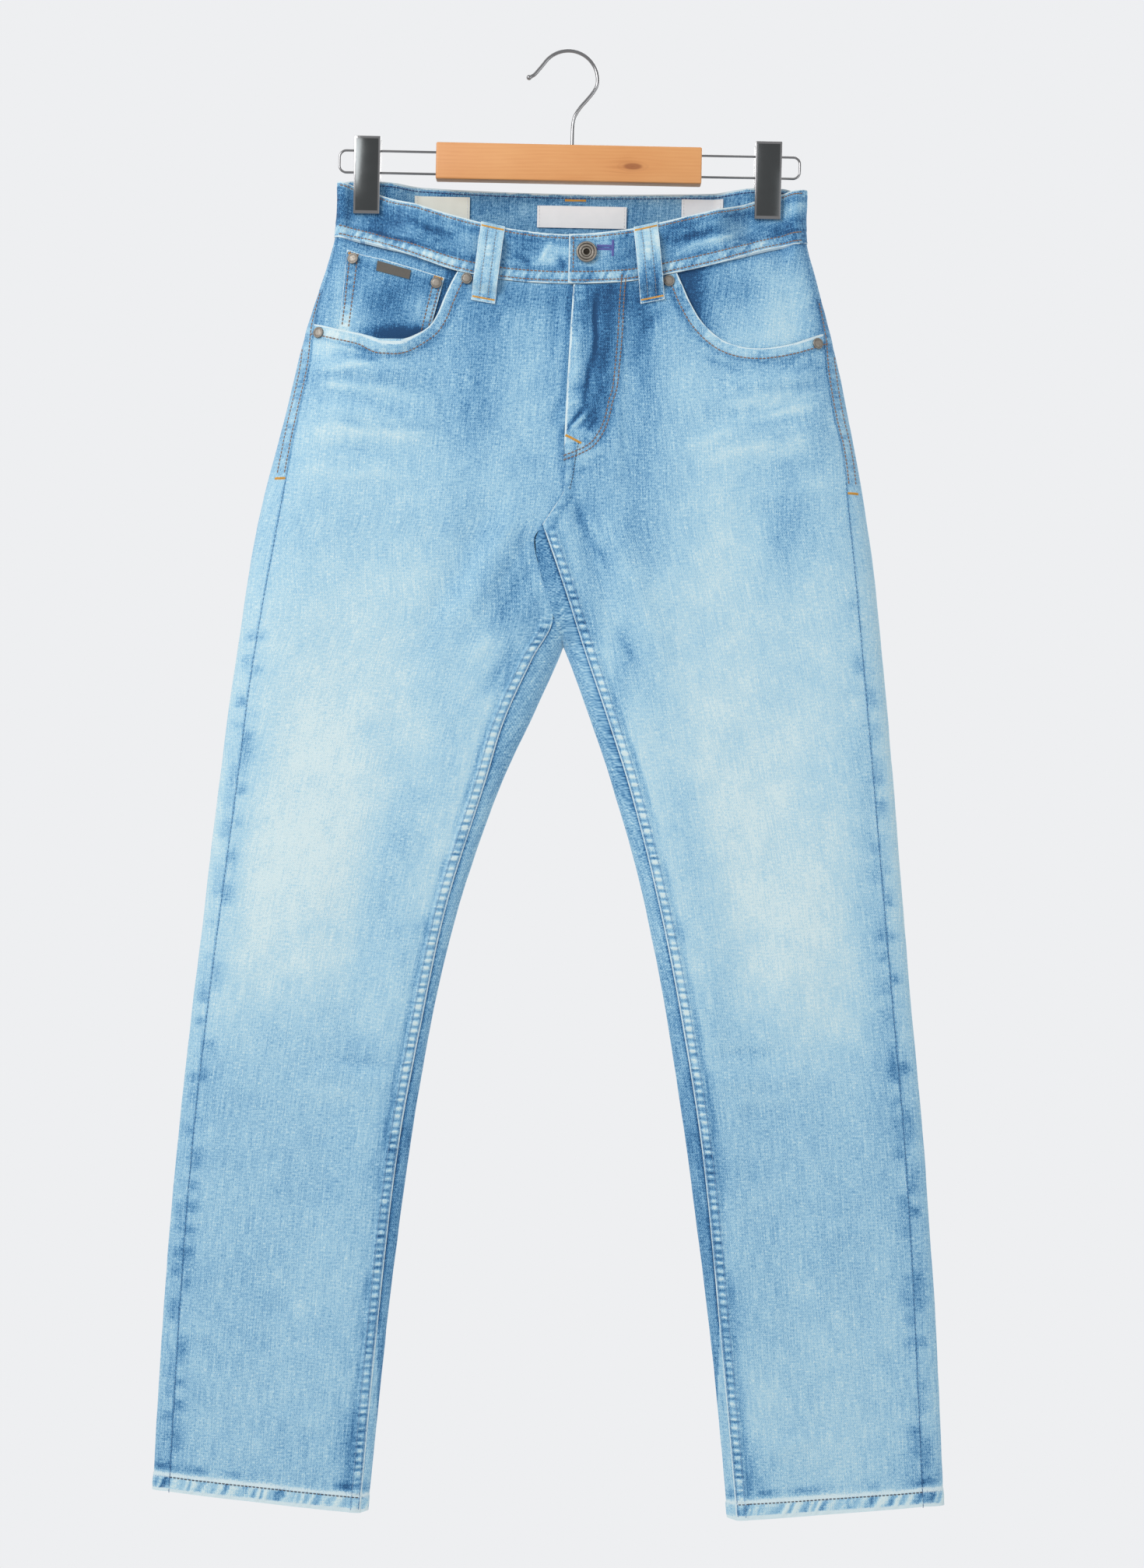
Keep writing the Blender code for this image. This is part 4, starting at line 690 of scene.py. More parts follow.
def piece(name, places, faces, marks, grain, finish):
    """An object from arrays: places in metres, faces of equal size, a value a point for each mark."""
    mesh = bpy.data.meshes.new(name)
    sides = faces.shape[1]
    mesh.vertices.add(len(places))
    mesh.vertices.foreach_set("co", np.ascontiguousarray(places, np.float32).ravel())
    mesh.loops.add(faces.size)
    mesh.loops.foreach_set("vertex_index", np.ascontiguousarray(faces, np.int32).ravel())
    mesh.polygons.add(len(faces))
    mesh.polygons.foreach_set("loop_start", np.arange(len(faces), dtype=np.int32) * sides)
    mesh.update(calc_edges=True)
    mesh.validate()
    for mark, values in marks.items():
        mesh.attributes.new(mark, "FLOAT", "POINT").data.foreach_set("value", values.astype(np.float32))
    if grain is not None:
        corners = np.empty(len(mesh.loops), np.int32)
        mesh.loops.foreach_get("vertex_index", corners)
        mesh.uv_layers.new(name="grain").data.foreach_set("uv", grain[corners].astype(np.float32).ravel())
    mesh.shade_smooth()
    mesh.set_sharp_from_angle(angle=math.radians(60))
    mesh.materials.append(finish)
    return show(name, mesh)


def wear(obj, slot, *nodes):
    """A piece rides on the one body and may stand for CAD nodes; its slot is not used."""
    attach(obj, "root")
    if nodes:
        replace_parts(obj, *nodes)
    return obj


def stitch_tree():
    """Geometry Nodes that lay arched stitches along a path's edges. The path's points say which way is
    out of the cloth. Turned a quarter, the same stitches make a dense bar."""
    tree = bpy.data.node_groups.new("stitches", "GeometryNodeTree")
    sockets = [
        ("Path", "INPUT", "NodeSocketGeometry"), ("Pitch", "INPUT", "NodeSocketFloat"),
        ("Stitch length", "INPUT", "NodeSocketFloat"), ("Thread", "INPUT", "NodeSocketFloat"),
        ("Turn", "INPUT", "NodeSocketFloat"), ("Colour", "INPUT", "NodeSocketMaterial"),
        ("Stitches", "OUTPUT", "NodeSocketGeometry"),
    ]
    for name, way, kind in sockets:
        tree.interface.new_socket(name, in_out=way, socket_type=kind)

    def add(kind, settings=None, inputs=None):
        node = tree.nodes.new(kind)
        for name, value in (settings or {}).items():
            setattr(node, name, value)
        for key, value in (inputs or {}).items():
            if isinstance(value, bpy.types.NodeSocket):
                tree.links.new(value, node.inputs[key])
            else:
                node.inputs[key].default_value = value
        return node.outputs[0] if len(node.outputs) else node

    given = tree.nodes.new("NodeGroupInput").outputs
    spots = add("GeometryNodeResampleCurve", {"mode": "LENGTH"}, {
        "Curve": add("GeometryNodeMeshToCurve", {}, {"Mesh": given["Path"]}), "Length": given["Pitch"],
    })
    outward = add("GeometryNodeInputNamedAttribute", {"data_type": "FLOAT_VECTOR"}, {"Name": "outward"})
    ahead = add("FunctionNodeAlignRotationToVector", {"axis": "X"}, {
        "Vector": add("GeometryNodeInputTangent"),
    })
    upright = add("FunctionNodeAlignRotationToVector", {"axis": "Z", "pivot_axis": "X"}, {
        "Rotation": ahead, "Vector": outward,
    })
    quarter = add("FunctionNodeEulerToRotation", {}, {
        0: add("ShaderNodeCombineXYZ", {}, {"Z": given["Turn"]}),
    })
    turned = add("FunctionNodeRotateRotation", {"rotation_space": "LOCAL"}, {0: upright, 1: quarter})

    def times(socket, factor):
        return add("ShaderNodeMath", {"operation": "MULTIPLY"}, {0: socket, 1: factor})

    sunk = times(given["Thread"], -0.7)
    arch = add("GeometryNodeCurveQuadraticBezier", {}, {
        "Resolution": 3,
        "Start": add("ShaderNodeCombineXYZ", {}, {"X": times(given["Stitch length"], -0.5), "Z": sunk}),
        "Middle": add("ShaderNodeCombineXYZ", {}, {"Z": times(given["Thread"], 1.1)}),
        "End": add("ShaderNodeCombineXYZ", {}, {"X": times(given["Stitch length"], 0.5), "Z": sunk}),
    })
    ring = add("GeometryNodeCurvePrimitiveCircle", {}, {
        "Resolution": 5, "Radius": times(given["Thread"], 0.5),
    })
    stitch = add("GeometryNodeCurveToMesh", {}, {"Curve": arch, "Profile Curve": ring, "Fill Caps": True})
    laid = add("GeometryNodeInstanceOnPoints", {}, {"Points": spots, "Instance": stitch, "Rotation": turned})
    real = add("GeometryNodeRealizeInstances", {}, {0: laid})
    soft = add("GeometryNodeSetShadeSmooth", {}, {0: real})
    done = add("GeometryNodeSetMaterial", {}, {"Geometry": soft, "Material": given["Colour"]})
    tree.links.new(done, tree.nodes.new("NodeGroupOutput").inputs[0])
    return tree


STITCHES = stitch_tree()
TOPSTITCH = {"Pitch": 3.1 * MM, "Stitch length": 2.7 * MM, "Thread": 1.0 * MM, "Turn": 0.0}
FINE_STITCH = {"Pitch": 2.6 * MM, "Stitch length": 2.2 * MM, "Thread": 0.58 * MM, "Turn": 0.0}
DITCH_STITCH = {"Pitch": 4.0 * MM, "Stitch length": 4.08 * MM, "Thread": 0.55 * MM, "Turn": 0.0}
BAR_STITCH = {"Pitch": 0.55 * MM, "Stitch length": 2.0 * MM, "Thread": 0.60 * MM, "Turn": math.pi / 2}


def thread(name, colour, fuzz=0.12):
    """Spun polyester thread, a little faded by washing."""
    material, start = new_material(name)
    where = start.add("TexCoord", output=3)
    streak = start.noise(where, 900.0, 2.0)
    patch = start.noise(where, 60.0, 2.0)
    darker = tuple(c * 0.62 for c in colour)
    paler = tuple(min(1.0, c * 1.25 + fuzz) for c in colour)
    shown = start.mix((streak * 0.5 + patch * 0.7 - 0.1).held(), darker, paler)
    twist = start.add("Bump", {}, {"Height": streak, "Strength": 0.4, "Distance": 0.0002})
    return finished(material, {"Base Color": shown, "Normal": twist, "Roughness": 0.75})


BROWN_THREAD = thread("brown thread", srgb(143, 110, 92), 0.04)
GOLD_THREAD = thread("gold thread", srgb(226, 168, 66), 0.04)
BLUE_THREAD = thread("light blue thread", srgb(120, 164, 200))
GREY_THREAD = thread("grey thread", srgb(126, 132, 140))
DARK_THREAD = thread("dark thread", srgb(70, 72, 84), 0.04)
NAVY_THREAD = thread("navy thread", srgb(38, 66, 120), 0.04)
DEEP_THREAD = thread("deep blue thread", srgb(74, 116, 160), 0.0)


def applied(obj):
    """The object, with its modifiers made part of its mesh."""
    bpy.context.view_layer.update()
    made = bpy.data.meshes.new_from_object(obj.evaluated_get(bpy.context.evaluated_depsgraph_get()))
    obj.modifiers.clear()
    obj.data = made
    return obj


def sew(name, lines, kind, colour):
    """A joined mesh of stitches, worn as trim. Each line is its places in millimetres and the way out at
    each."""
    places, ways, edges = [], [], []
    for line, way in lines:
        first = len(places)
        places += [tuple(p) for p in np.asarray(line) * MM]
        ways += [tuple(w) for w in way]
        edges += [(n, n + 1) for n in range(first, len(places) - 1)]
    path = bpy.data.meshes.new(name)
    path.from_pydata(places, edges, [])
    outward = path.attributes.new("outward", "FLOAT_VECTOR", "POINT")
    outward.data.foreach_set("vector", np.asarray(ways, np.float32).ravel())
    obj = show(name, path)
    modifier = obj.modifiers.new("stitches", "NODES")
    modifier.node_group = STITCHES
    values = {**kind, "Colour": colour}
    for socket in STITCHES.interface.items_tree:
        if socket.name in values:
            modifier[socket.identifier] = values[socket.name]
    applied(obj)
    bpy.data.meshes.remove(path)
    return wear(obj, None)


def along(points, pitch=2.0):
    """A line's points at an even pitch, with its corners kept soft."""
    points = np.asarray(points, float)
    if len(points) > 2:
        reach = np.concatenate([[0], np.cumsum(np.hypot(*np.diff(points, axis=0).T))])
        table = np.column_stack([reach, points])
        at = np.linspace(0, reach[-1], max(2, int(reach[-1] / pitch) + 1))
        return np.stack([curve(table, 1)(at), curve(table, 2)(at)], -1)
    count = max(2, int(np.hypot(*(points[1] - points[0])) / pitch) + 1)
    return points[0] + (points[1] - points[0]) * np.linspace(0, 1, count)[:, None]


THREAD_LIFT = 0.15  # the stitches' paths lie this far over the cloth


def on_cloth(line, face, out):
    """A line of (x, drop) laid on the cloth. out is how far the cloth stands outside the hung form, for
    each point or as a function of x and drop."""
    x, drop = np.asarray(line, float).T
    points, outward = surface(x, drop, face)
    lift = out(x, drop) if callable(out) else out
    return points + outward * (lift + THREAD_LIFT)[:, None], outward


# Rows of the panels below the pockets. side is the side seam's drop, front_right and front_left the
# drops where the row meets the front seam or the inseam, and seat the drop at the back seam or the
# inner fold. The 8th row is the crotch's.
ROWS = np.array([
    # side, front_right, front_left, seat
    (229, 318, 318, 262),
    (255, 340, 330, 300),
    (285, 354, 341, 340),
    (320, 364, 351, 385),
    (362, 390, 358, 430),
    (392, 408, 364, 466),
    (421, 436, 377, 481),
    (450, 465, 390, 488),
    (485, 494, 425, 512),
    (520, 529, 470, 542),
    (560, 569, 521, 578),
    (605, 613, 575, 619),
    (655, 662, 634, 667),
    (712, 719, 698, 722),
    (775, 782, 768, 784),
    (845, 852, 843, 853),
    (915, 923, 919, 923),
    (985, 994, 993, 993),
    (1050, 1060, 1060, 1059),
    (1110, 1121, 1121, 1120),
    (1174, 1188, 1188, 1187),
    (1176, 1190, 1190, 1189),
    (1187, 1202, 1202, 1200.5),
], float)
CROTCH_ROW = 7
YOKE_SIDE, YOKE_SEAT = 200.0, 224.0  # drops of the yoke's lower seam
BACK_SEAM_X = 1.0

# The pocket mouths on the fronts, from the waistband to the side seam: x, drop, drop at the fly
MOUTH = {
    "right": np.array([
        (-91.5, 185.3, 194), (-96, 194, 201), (-102, 208, 211), (-107, 221, 223), (-113, 230.5, 235),
        (-122, 237, 248), (-136, 242, 262), (-152, 242, 276), (-168, 238, 290), (-188, 234, 304),
        (-208.5, 229, 318),
    ], float),
    "left": np.array([
        (87.5, 183.2, 194), (92, 193, 201), (98, 206, 211), (106, 219.5, 223), (115, 229.5, 235),
        (127, 238, 248), (141, 242.5, 262), (155, 243.5, 276), (171, 241.5, 290), (190, 236.5, 304),
        (208.5, 229, 318),
    ], float),
}

HEM_RISE = 0.7  # the turned hem stands this far out
RIDGE_RISE = 0.9  # the lapped inseam stands this far out
RIDGE_START = {"right": (462.0, 476.0), "left": (388.0, 400.0)}  # drops over which it starts
RIDGE_FOOT = (8.9, 10.7)  # and it slopes down to the front between these, from its edge
FLY_RISE = 2.0  # the closed fly stands out over the right front
FLY_FADE = (40.0, 52.0)  # x between which the fly's rise dies away
UNDERLAP = 7.5  # the right front runs this far under the fly
STEP_OVER = 1.2  # the seat hangs over the right front by this much, above the tuck


def fly_rise(x, drop):
    """How far the left front is lifted over the right front, the fly and its shield."""
    return FLY_RISE * (1 - smooth(*FLY_FADE, x)) * (1 - smooth(322, 372, drop))


HEM_DEEP = 13.5  # how much of the bottom is turned up
HEM_STITCH = 12.0  # the hem's stitching, above the bottom edge
RIDGE_ROWS = (1.6, 7.9)  # the inseam's two rows, from its edge
MOUTH_STITCH = 8.2  # the pocket mouth's row, from its edge
GAPE = 3.6  # the right mouth stands open below the coin pocket
MOUTH_SAG = 4.0  # and its lip hangs this much lower there
NEAR_INSEAM = (0.0, 0.5, 1.3, 2.4, 3.8, 5.2, 6.6, 7.8, 8.7, 9.5, 10.4, 11.6, 13.4, 16.0)
NEAR_SIDE = (0.0, 0.6, 1.6, 3.2, 5.6, 8.6, 12.0, 16.0)
FRONT_COLUMNS = 46  # columns between those near the two seams
ROW_PITCH = 2.0


def rows_between(values, pitch):
    """Row numbers of a table, with parts of a row, so that mesh rows lie about a pitch apart."""
    counts = np.maximum(1, np.round(np.abs(np.diff(values)) / pitch)).astype(int)
    parts = [np.linspace(n, n + 1, count, endpoint=False) for n, count in enumerate(counts)]
    return np.concatenate(parts + [[len(counts)]])


def at_rows(values, index):
    """A table column's value at row numbers with parts."""
    return curve(np.column_stack([np.arange(len(values)), values]), 1)(index)


def hem_bottom(x):
    """The drop of the bottom edge: it runs a little lower towards the inseam."""
    return np.interp(np.abs(x), (150.0, 312.0), (1201.5, 1187.0))


def hem(x, drop, seed):
    """The turned hem: how far it stands out, how much paler it is, and how worn."""
    above = hem_bottom(x) - drop
    inside = 1 - smooth(HEM_DEEP - 0.6, HEM_DEEP + 1.0, above)
    roping = ripple(x + 0.9 * drop, 4.6, seed) * (0.6 + 0.4 * ripple(x, 21.0, seed + 2))
    rise = inside * (HEM_RISE + 0.35 * roping * smooth(0, 3, above)) - 0.35 * bump(above - HEM_STITCH, 1.2)
    paler = inside * (0.12 + 0.06 * roping) + 0.12 * bump(above - HEM_DEEP - 1.5, 3.0)
    paler -= 0.40 * bump(above - HEM_DEEP - 6.5, 3.2) * np.maximum(0.3 + ripple(x, 15.0, seed + 1), 0.0)
    blots = np.maximum(ripple(x + 0.4 * drop, 4.4, seed + 2) - 0.1, 0.0)
    paler -= 0.55 * inside * blots * smooth(1.5, 4.0, above)
    paler -= 0.22 * bump(above - HEM_STITCH - 0.9, 1.2)
    worn = 1.3 * bump(above, 2.0) + 0.60 * bump(above - HEM_DEEP - 0.8, 2.4) + 0.20 * inside
    return rise, paler, worn


def puckers(x, drop, side=None):
    """How much the cloth is gathered, and a count of the gathers: slanting along the hem and, on a front's
    side, along its inseam and its pocket mouth."""
    above = hem_bottom(x) - drop
    in_hem = (1 - smooth(HEM_DEEP - 3.0, HEM_DEEP - 1.0, above)) * smooth(-0.5, 2.0, above)
    in_hem = in_hem * (0.55 + 0.4 * ripple(x, 13.0, 36))
    gather = np.where(above < HEM_DEEP, (x + 0.45 * drop) / 10.0 + 0.6 * ripple(x, 15.0, 37), drop / 6.4)
    if side is None:
        return in_hem, gather
    away, ridge = inseam_ridge(side, x, drop)
    band = ridge * (above > HEM_DEEP) * bump(away - 5.0, 3.6)
    mouth = to_line(x, drop, mouth_line(side))
    gather = np.where(mouth < 12, np.arctan2(drop - 180, np.abs(x) - 165) * 9.0, gather)
    return in_hem + band * (0.95 + 0.3 * ripple(drop, 34.0, 38)) + 0.22 * bump(mouth - 6.5, 4.0), gather


def side_tracks(side, x, drop, seed):
    """Darker patches beside the side seam, where its turnings kept the washing off."""
    away = np.abs(np.abs(x) - np.abs(SIDE_X[side](drop)))
    tracks = np.maximum(0.15 + ripple(drop, 9.0, seed), 0.0) * (0.8 + 0.3 * ripple(drop, 60.0, seed + 5))
    there = smooth(400, 500, drop) * (1 - 0.8 * smooth(1140, 1180, drop))
    return -there * (0.32 * tracks * bump(away - 4.5, 5.0) + 0.01 * bump(away, 12.0)), away


def inseam_ridge(side, x, drop):
    """Where a front's lapped inseam lies: how far from its edge, and how much of it there is."""
    away = np.abs(x - INSEAM_X[side](drop))
    return away, smooth(*RIDGE_START[side], drop) * (1 - smooth(*RIDGE_FOOT, away))


FLY_STITCH = np.array([
    (46, 187), (45, 200), (43.5, 240), (42, 260), (40, 280), (37, 290), (35, 300), (32, 310),
    (28, 318), (22, 326), (12, 332), (-0.5, 337),
], float)
FLY_STITCH_INNER = FLY_STITCH + np.array([
    (-3.4, 0), (-3.4, 0), (-3.4, 0), (-3.4, -0.3), (-3.3, -0.8), (-3.0, -1.4), (-2.8, -1.9),
    (-2.5, -2.4), (-2.2, -2.8), (-1.6, -3.2), (-0.6, -3.5), (0, -3.6),
])
FRONT_SEAM_LINE = [(-1.5, 322), (-2, 350), (-2, 364), (-9.8, 377), (-18, 390)]
FLY_TACK = np.array([(-0.5, 317.5), (12, 323.5)])
FLY_SHORT = np.array([(10, 324), (8, 335), (6, 350), (4, 360)], float)


def mouth_line(side):
    """The edge of a front at its pocket mouth: the right one hangs open and lower."""
    line = MOUTH[side][:, :2].copy()
    if side == "right":
        line[:, 1] += MOUTH_SAG * bump(line[:, 0] + 145, 17.0)
    return line


def mouth_gather(x, drop):
    """The small slanting gathers beside a pocket mouth, from -1 to 1."""
    return ripple(x * 0.8 + drop * 0.6, 4.2, 41)


def front_out(side, x, drop):
    """How far a front stands outside the hung form."""
    out = hem(x, drop, 21)[0]
    away, ridge = inseam_ridge(side, x, drop)
    pucker = ripple(drop, 2.9, 31) * bump(away - 5.0, 3.4)
    out += ridge * (RIDGE_RISE + 0.42 * pucker - 0.5 * bump(away, 0.9))
    for row in RIDGE_ROWS:
        out -= 0.22 * ridge * bump(away - row, 0.8)
    mouth = to_line(x, drop, mouth_line(side))
    gather = mouth_gather(x, drop)
    out += (1 - smooth(8.0, 11.0, mouth)) * (0.35 + 0.25 * gather) - 0.3 * bump(mouth - MOUTH_STITCH, 1.2)
    if side == "right":
        out += GAPE * bump(x + 136, 26.0) * (1 - smooth(0.0, 14.0, mouth))
    out -= 0.35 * bump(mouth, 0.8)
    if side == "left":
        edge = x - FLY_X(drop)
        in_fly = 1 - smooth(320, 330, drop)
        out += fly_rise(x, drop) * (1 + 0.10 * ripple(drop, 19.0, 51) * bump(edge, 14.0))
        out += in_fly * 0.45 * bump(edge - 4.0, 5.0) * ripple(drop + 0.7 * edge, 8.0, 52)
        out -= 0.4 * in_fly * bump(edge, 1.0)
        for line in (FLY_STITCH, FLY_STITCH_INNER):
            out -= 0.22 * bump(to_line(x, drop, line), 1.1)
        seam = to_line(x, drop, FRONT_SEAM_LINE)
        out += 0.4 * bump(seam - 4.0, 3.0) * (0.7 + 0.5 * ripple(drop, 3.6, 53))
        out -= 0.3 * bump(to_line(x, drop, FLY_SHORT), 1.2)
    return out


def front_marks(side, x, drop):
    """How pale a front is, and how worn."""
    pale, worn = wash_and_shade(x, drop, FRONT), np.zeros(np.shape(x))
    _, hem_paler, hem_worn = hem(x, drop, 21)
    pale, worn = pale + hem_paler, worn + hem_worn
    tracks, from_side = side_tracks(side, x, drop, 61 if side == "right" else 62)
    pale += tracks - 0.34 * bump(from_side, 0.9)
    away, ridge = inseam_ridge(side, x, drop)
    slow = ripple(drop, 26.0, 32)
    pale += ridge * (0.14 * slow - 0.05) * bump(away - 5.0, 4.2)
    below_crotch = smooth(388, 410, drop) * (1 - smooth(1180, 1190, drop))
    # painted shadow on the front just beyond the foot of the raised inseam
    pale -= below_crotch * (0.16 + 0.14 * slow) * bump(away - 11.6, 2.6)
    pale -= below_crotch * 0.26 * np.maximum(ripple(drop, 30.0, 35) - 0.35, 0.0) * bump(away - 13.0, 7.0)
    pale -= ridge * (0.20 * bump(away - RIDGE_ROWS[1], 0.8) + 0.36 * bump(away - 1.9, 0.7))
    worn += ridge * (0.95 + 0.3 * slow) * bump(away, 0.9)
    mouth = to_line(x, drop, mouth_line(side))
    gather = mouth_gather(x, drop)
    pale += (1 - smooth(6.0, 9.5, mouth)) * (0.06 + 0.10 * gather) - 0.22 * bump(mouth - 10.4, 2.0)
    fray = 0.75 + 0.45 * ripple(x + drop, 5.0, 42)
    worn += 1.3 * fray * bump(mouth, 1.2) + 0.15 * (1 - smooth(5, 9, mouth)) * np.maximum(gather, 0)
    if side == "left":
        edge = x - FLY_X(drop)
        in_fly = 1 - smooth(318, 326, drop)
        fray = 0.75 + 0.4 * ripple(drop, 6.0, 54)
        worn += in_fly * (1.3 * fray * bump(edge, 1.4) + 0.15 * bump(edge - 3.0, 2.5))
        pale += in_fly * 0.10 * bump(edge - 5.0, 4.0)
        pale -= 0.13 * bump(to_line(x, drop, FLY_STITCH + (1.6, 0.5)), 1.6)
        seam = to_line(x, drop, FRONT_SEAM_LINE)
        worn += 0.7 * bump(seam, 0.9)
        pale += 0.16 * bump(seam - 3.5, 3.0) * ripple(drop, 3.4, 53) - 0.16 * bump(seam - 8.0, 2.4)
    else:
        # painted shadow on the right front beside the fly's lifted edge
        pale -= 0.22 * bump(x - FLY_X(drop) + 2.5, 3.5) * (1 - smooth(330, 360, drop))
        pale -= 0.16 * bump(to_line(x, drop, [(-2, 345), (-2, 364), (-9.8, 377), (-18, 390)]), 2.0)
        # painted shadow on the right front along the edge where the seat hangs over it
        seat_shadow_edge = [(float(INSEAM_X["right"](d)), d) for d in (392.0, 404.0, 430.0, 465.0)]
        pale -= 0.10 * bump(to_line(x, drop, seat_shadow_edge), 4.0)
    return pale, worn


def front_grid(side):
    """x and drop of a front's mesh, row by row from the side seam to the fly or inseam."""
    sign = SIGN[side]
    mouth, below = MOUTH[side], ROWS[1:]
    column = 1 if side == "right" else 2
    table_outer = np.concatenate([mouth[:, 1], below[:, 0]])
    table_inner = np.concatenate([mouth[:, 2], below[:, column]])
    span = np.concatenate([np.full(len(mouth) - 1, 11.0), np.diff(table_inner[len(mouth) - 1:])])
    index = rows_between(np.concatenate([[0.0], np.cumsum(span)]), ROW_PITCH)
    outer_drop, inner_drop = at_rows(table_outer, index), at_rows(table_inner, index)
    corner = len(mouth) - 1
    table_x = np.concatenate([mouth[:, 0], SIDE_X[side](below[:, 0])])
    outer_x = np.where(index < corner, at_rows(table_x, index), SIDE_X[side](outer_drop))
    outer_x -= sign * SEAM_GAP / 2
    above_fork = inner_drop <= FORK[1] + 0.01
    inner_x = np.where(above_fork, FLY_X(inner_drop), INSEAM_X[side](inner_drop))
    if side == "right":
        inner_x = inner_x + UNDERLAP * (1 - smooth(296, 316, inner_drop)) - SEAM_GAP / 2
    else:
        inner_x = inner_x + SEAM_GAP / 2
    across = np.hypot(outer_x - inner_x, outer_drop - inner_drop)[:, None]
    near, far = np.array(NEAR_SIDE) / across, 1 - np.array(NEAR_INSEAM)[::-1] / across
    middle = 1 - (1 - np.linspace(0, 1, FRONT_COLUMNS + 2)[1:-1]) ** 1.35
    shares = np.concatenate([near, near[:, -1:] + (far[:, :1] - near[:, -1:]) * middle, far], axis=1)
    x = outer_x[:, None] + (inner_x - outer_x)[:, None] * shares
    drop = outer_drop[:, None] + (inner_drop - outer_drop)[:, None] * shares
    lift = np.maximum(FRONT_SEAM(x[0]) + TUCKED - drop[0], 0.0)
    return x, drop + lift * (1 - smooth(0, 1.5, index))[:, None]


def long_panel(name):
    """The CAD nodes of a panel that runs from the hip to the hem."""
    return [f"{name}_{part}" for part in ("hip", "thigh", "calf")]


THREAD_STEP = 2.0  # from point to point of a stitches' path
FRONT_HEM = {"right": (-307.0, -154.0), "left": (160.0, 309.0)}  # where its hem's stitches start and end
RIDGE_TOP = {"right": 478.0, "left": 398.0}  # where the inseam's stitches start
for side in ("right", "left"):
    x, drop = front_grid(side)
    pale, worn = front_marks(side, x, drop)
    pucker, gather = puckers(x, drop, side)
    seam_middle = (SIDE_X[side](drop) + np.where(drop > FORK[1], INSEAM_X[side](drop), FORK[0])) / 2
    panel = cloth(
        f"front_{side}_cloth", surface(x, drop, FRONT), front_out(side, x, drop), pale, worn,
        (x - seam_middle, drop), pucker=pucker, gather=gather,
    )
    wear(panel, "denim", *long_panel(f"front_{side}"))

    def lie(line, side=side):
        return on_cloth(line, FRONT, lambda x, drop: front_out(side, x, drop))

    def beside_inseam(away, start, side=side):
        drops = np.arange(start, 1199.0, THREAD_STEP)
        return np.stack([INSEAM_X[side](drops) + SIGN[side] * away, drops], -1)

    def mouth_row(side=side):
        """The pocket mouth's row: its edge moved in towards the panel."""
        edge = along(mouth_line(side), 2.0)
        ahead = np.gradient(edge, axis=0)
        ahead /= np.linalg.norm(ahead, axis=1, keepdims=True)
        inward = np.stack([-ahead[:, 1], ahead[:, 0]], -1)
        inward = inward if side == "left" else -inward
        row = edge + inward * MOUTH_STITCH
        return row[row[:, 1] > FRONT_SEAM(row[:, 0]) + 2.0]

    hem_x = np.arange(*FRONT_HEM[side], THREAD_STEP)
    hem_line = np.stack([hem_x, hem_bottom(hem_x) - HEM_STITCH], -1)
    ridge_top = RIDGE_TOP[side]
    threads = [
        sew(f"front_{side}_topstitch", [lie(mouth_row())], TOPSTITCH, BROWN_THREAD),
        sew(f"front_{side}_hem_stitch", [lie(hem_line)], TOPSTITCH, DARK_THREAD),
        sew(f"front_{side}_inseam_stitch", [
            lie(beside_inseam(row, ridge_top)) for row in RIDGE_ROWS
        ], FINE_STITCH, BLUE_THREAD),
    ]
    drops = np.arange(352.0, 1187.0, THREAD_STEP)
    ditches = [
        np.stack([SIDE_X[side](drops) - SIGN[side] * 0.35, drops], -1), beside_inseam(1.9, ridge_top + 6.0),
    ]
    threads.append(sew(f"front_{side}_seam_stitch", [
        on_cloth(line, FRONT, lambda x, drop: front_out(side, x, drop) - 0.22) for line in ditches
    ], DITCH_STITCH, DEEP_THREAD))
    if side == "left":
        rows = [lie(along(FLY_STITCH)), lie(along(FLY_STITCH_INNER))]
        threads.append(sew("fly_topstitch", rows, TOPSTITCH, BROWN_THREAD))
        bars = [lie(along(FLY_TACK, 0.5))]
        threads.append(sew("fly_bartack", bars, BAR_STITCH, GOLD_THREAD))
        threads.append(sew("fly_short_seam", [lie(along(FLY_SHORT))], FINE_STITCH, DARK_THREAD))

# Back legs. Each back is one panel from the yoke down. It comes round the outer fold to the side seam,
# which lies on the front, and at the crotch its seat hangs forward between the two inseams.
BACK_PITCH = 2.6
STRIP_SHARES = np.array([0.0, 0.04, 0.12, 0.25, 0.4, 0.55, 0.7, 0.82, 0.92, 0.97, 1.0])
BESIDE_FOLD = np.array([0.3, 0.9, 2.0, 3.6, 6.0, 9.5, 14.0, 19.0])
BACK_COLUMNS = 34
TONGUE_SHARES = np.array([0.015, 0.04, 0.08, 0.16, 0.26, 0.38, 0.5, 0.62, 0.74, 0.86, 0.94, 0.98, 1.0])
SEAT_ROWS = (1.8, 8.0)  # the back seam's two rows, to the left of it
YOKE_ROWS = (1.8, 8.0)  # the yoke seam's two rows, above it
TOP_STRIP_ROWS = (2.0, 8.2)  # the side seam's two rows beside the pockets, on the strip


def back_columns(side, side_drop, seat_drop, seam_x):
    """x, drop and face across a back's row, from the side seam round the fold to its far edge."""
    sign = SIGN[side]
    seam = float(SIDE_X[side](side_drop)) + sign * SEAM_GAP / 2
    fold = float(OUTER_X[side](side_drop))
    strip_x = seam + (fold - seam) * STRIP_SHARES
    across = np.hypot(fold - seam_x, side_drop - seat_drop)
    near = BESIDE_FOLD / across
    middle = np.linspace(near[-1], 1 - near[-1], BACK_COLUMNS)[1:-1]
    shares = np.concatenate([near, middle, 1 - near[::-1], [1]])
    x = np.concatenate([strip_x, fold + (seam_x - fold) * shares])
    drop = np.concatenate([np.full(len(strip_x), side_drop), side_drop + (seat_drop - side_drop) * shares])
    face = np.concatenate([np.full(len(strip_x) - 1, FRONT), [FOLD], np.full(len(shares), BACK)])
    return x, drop, face


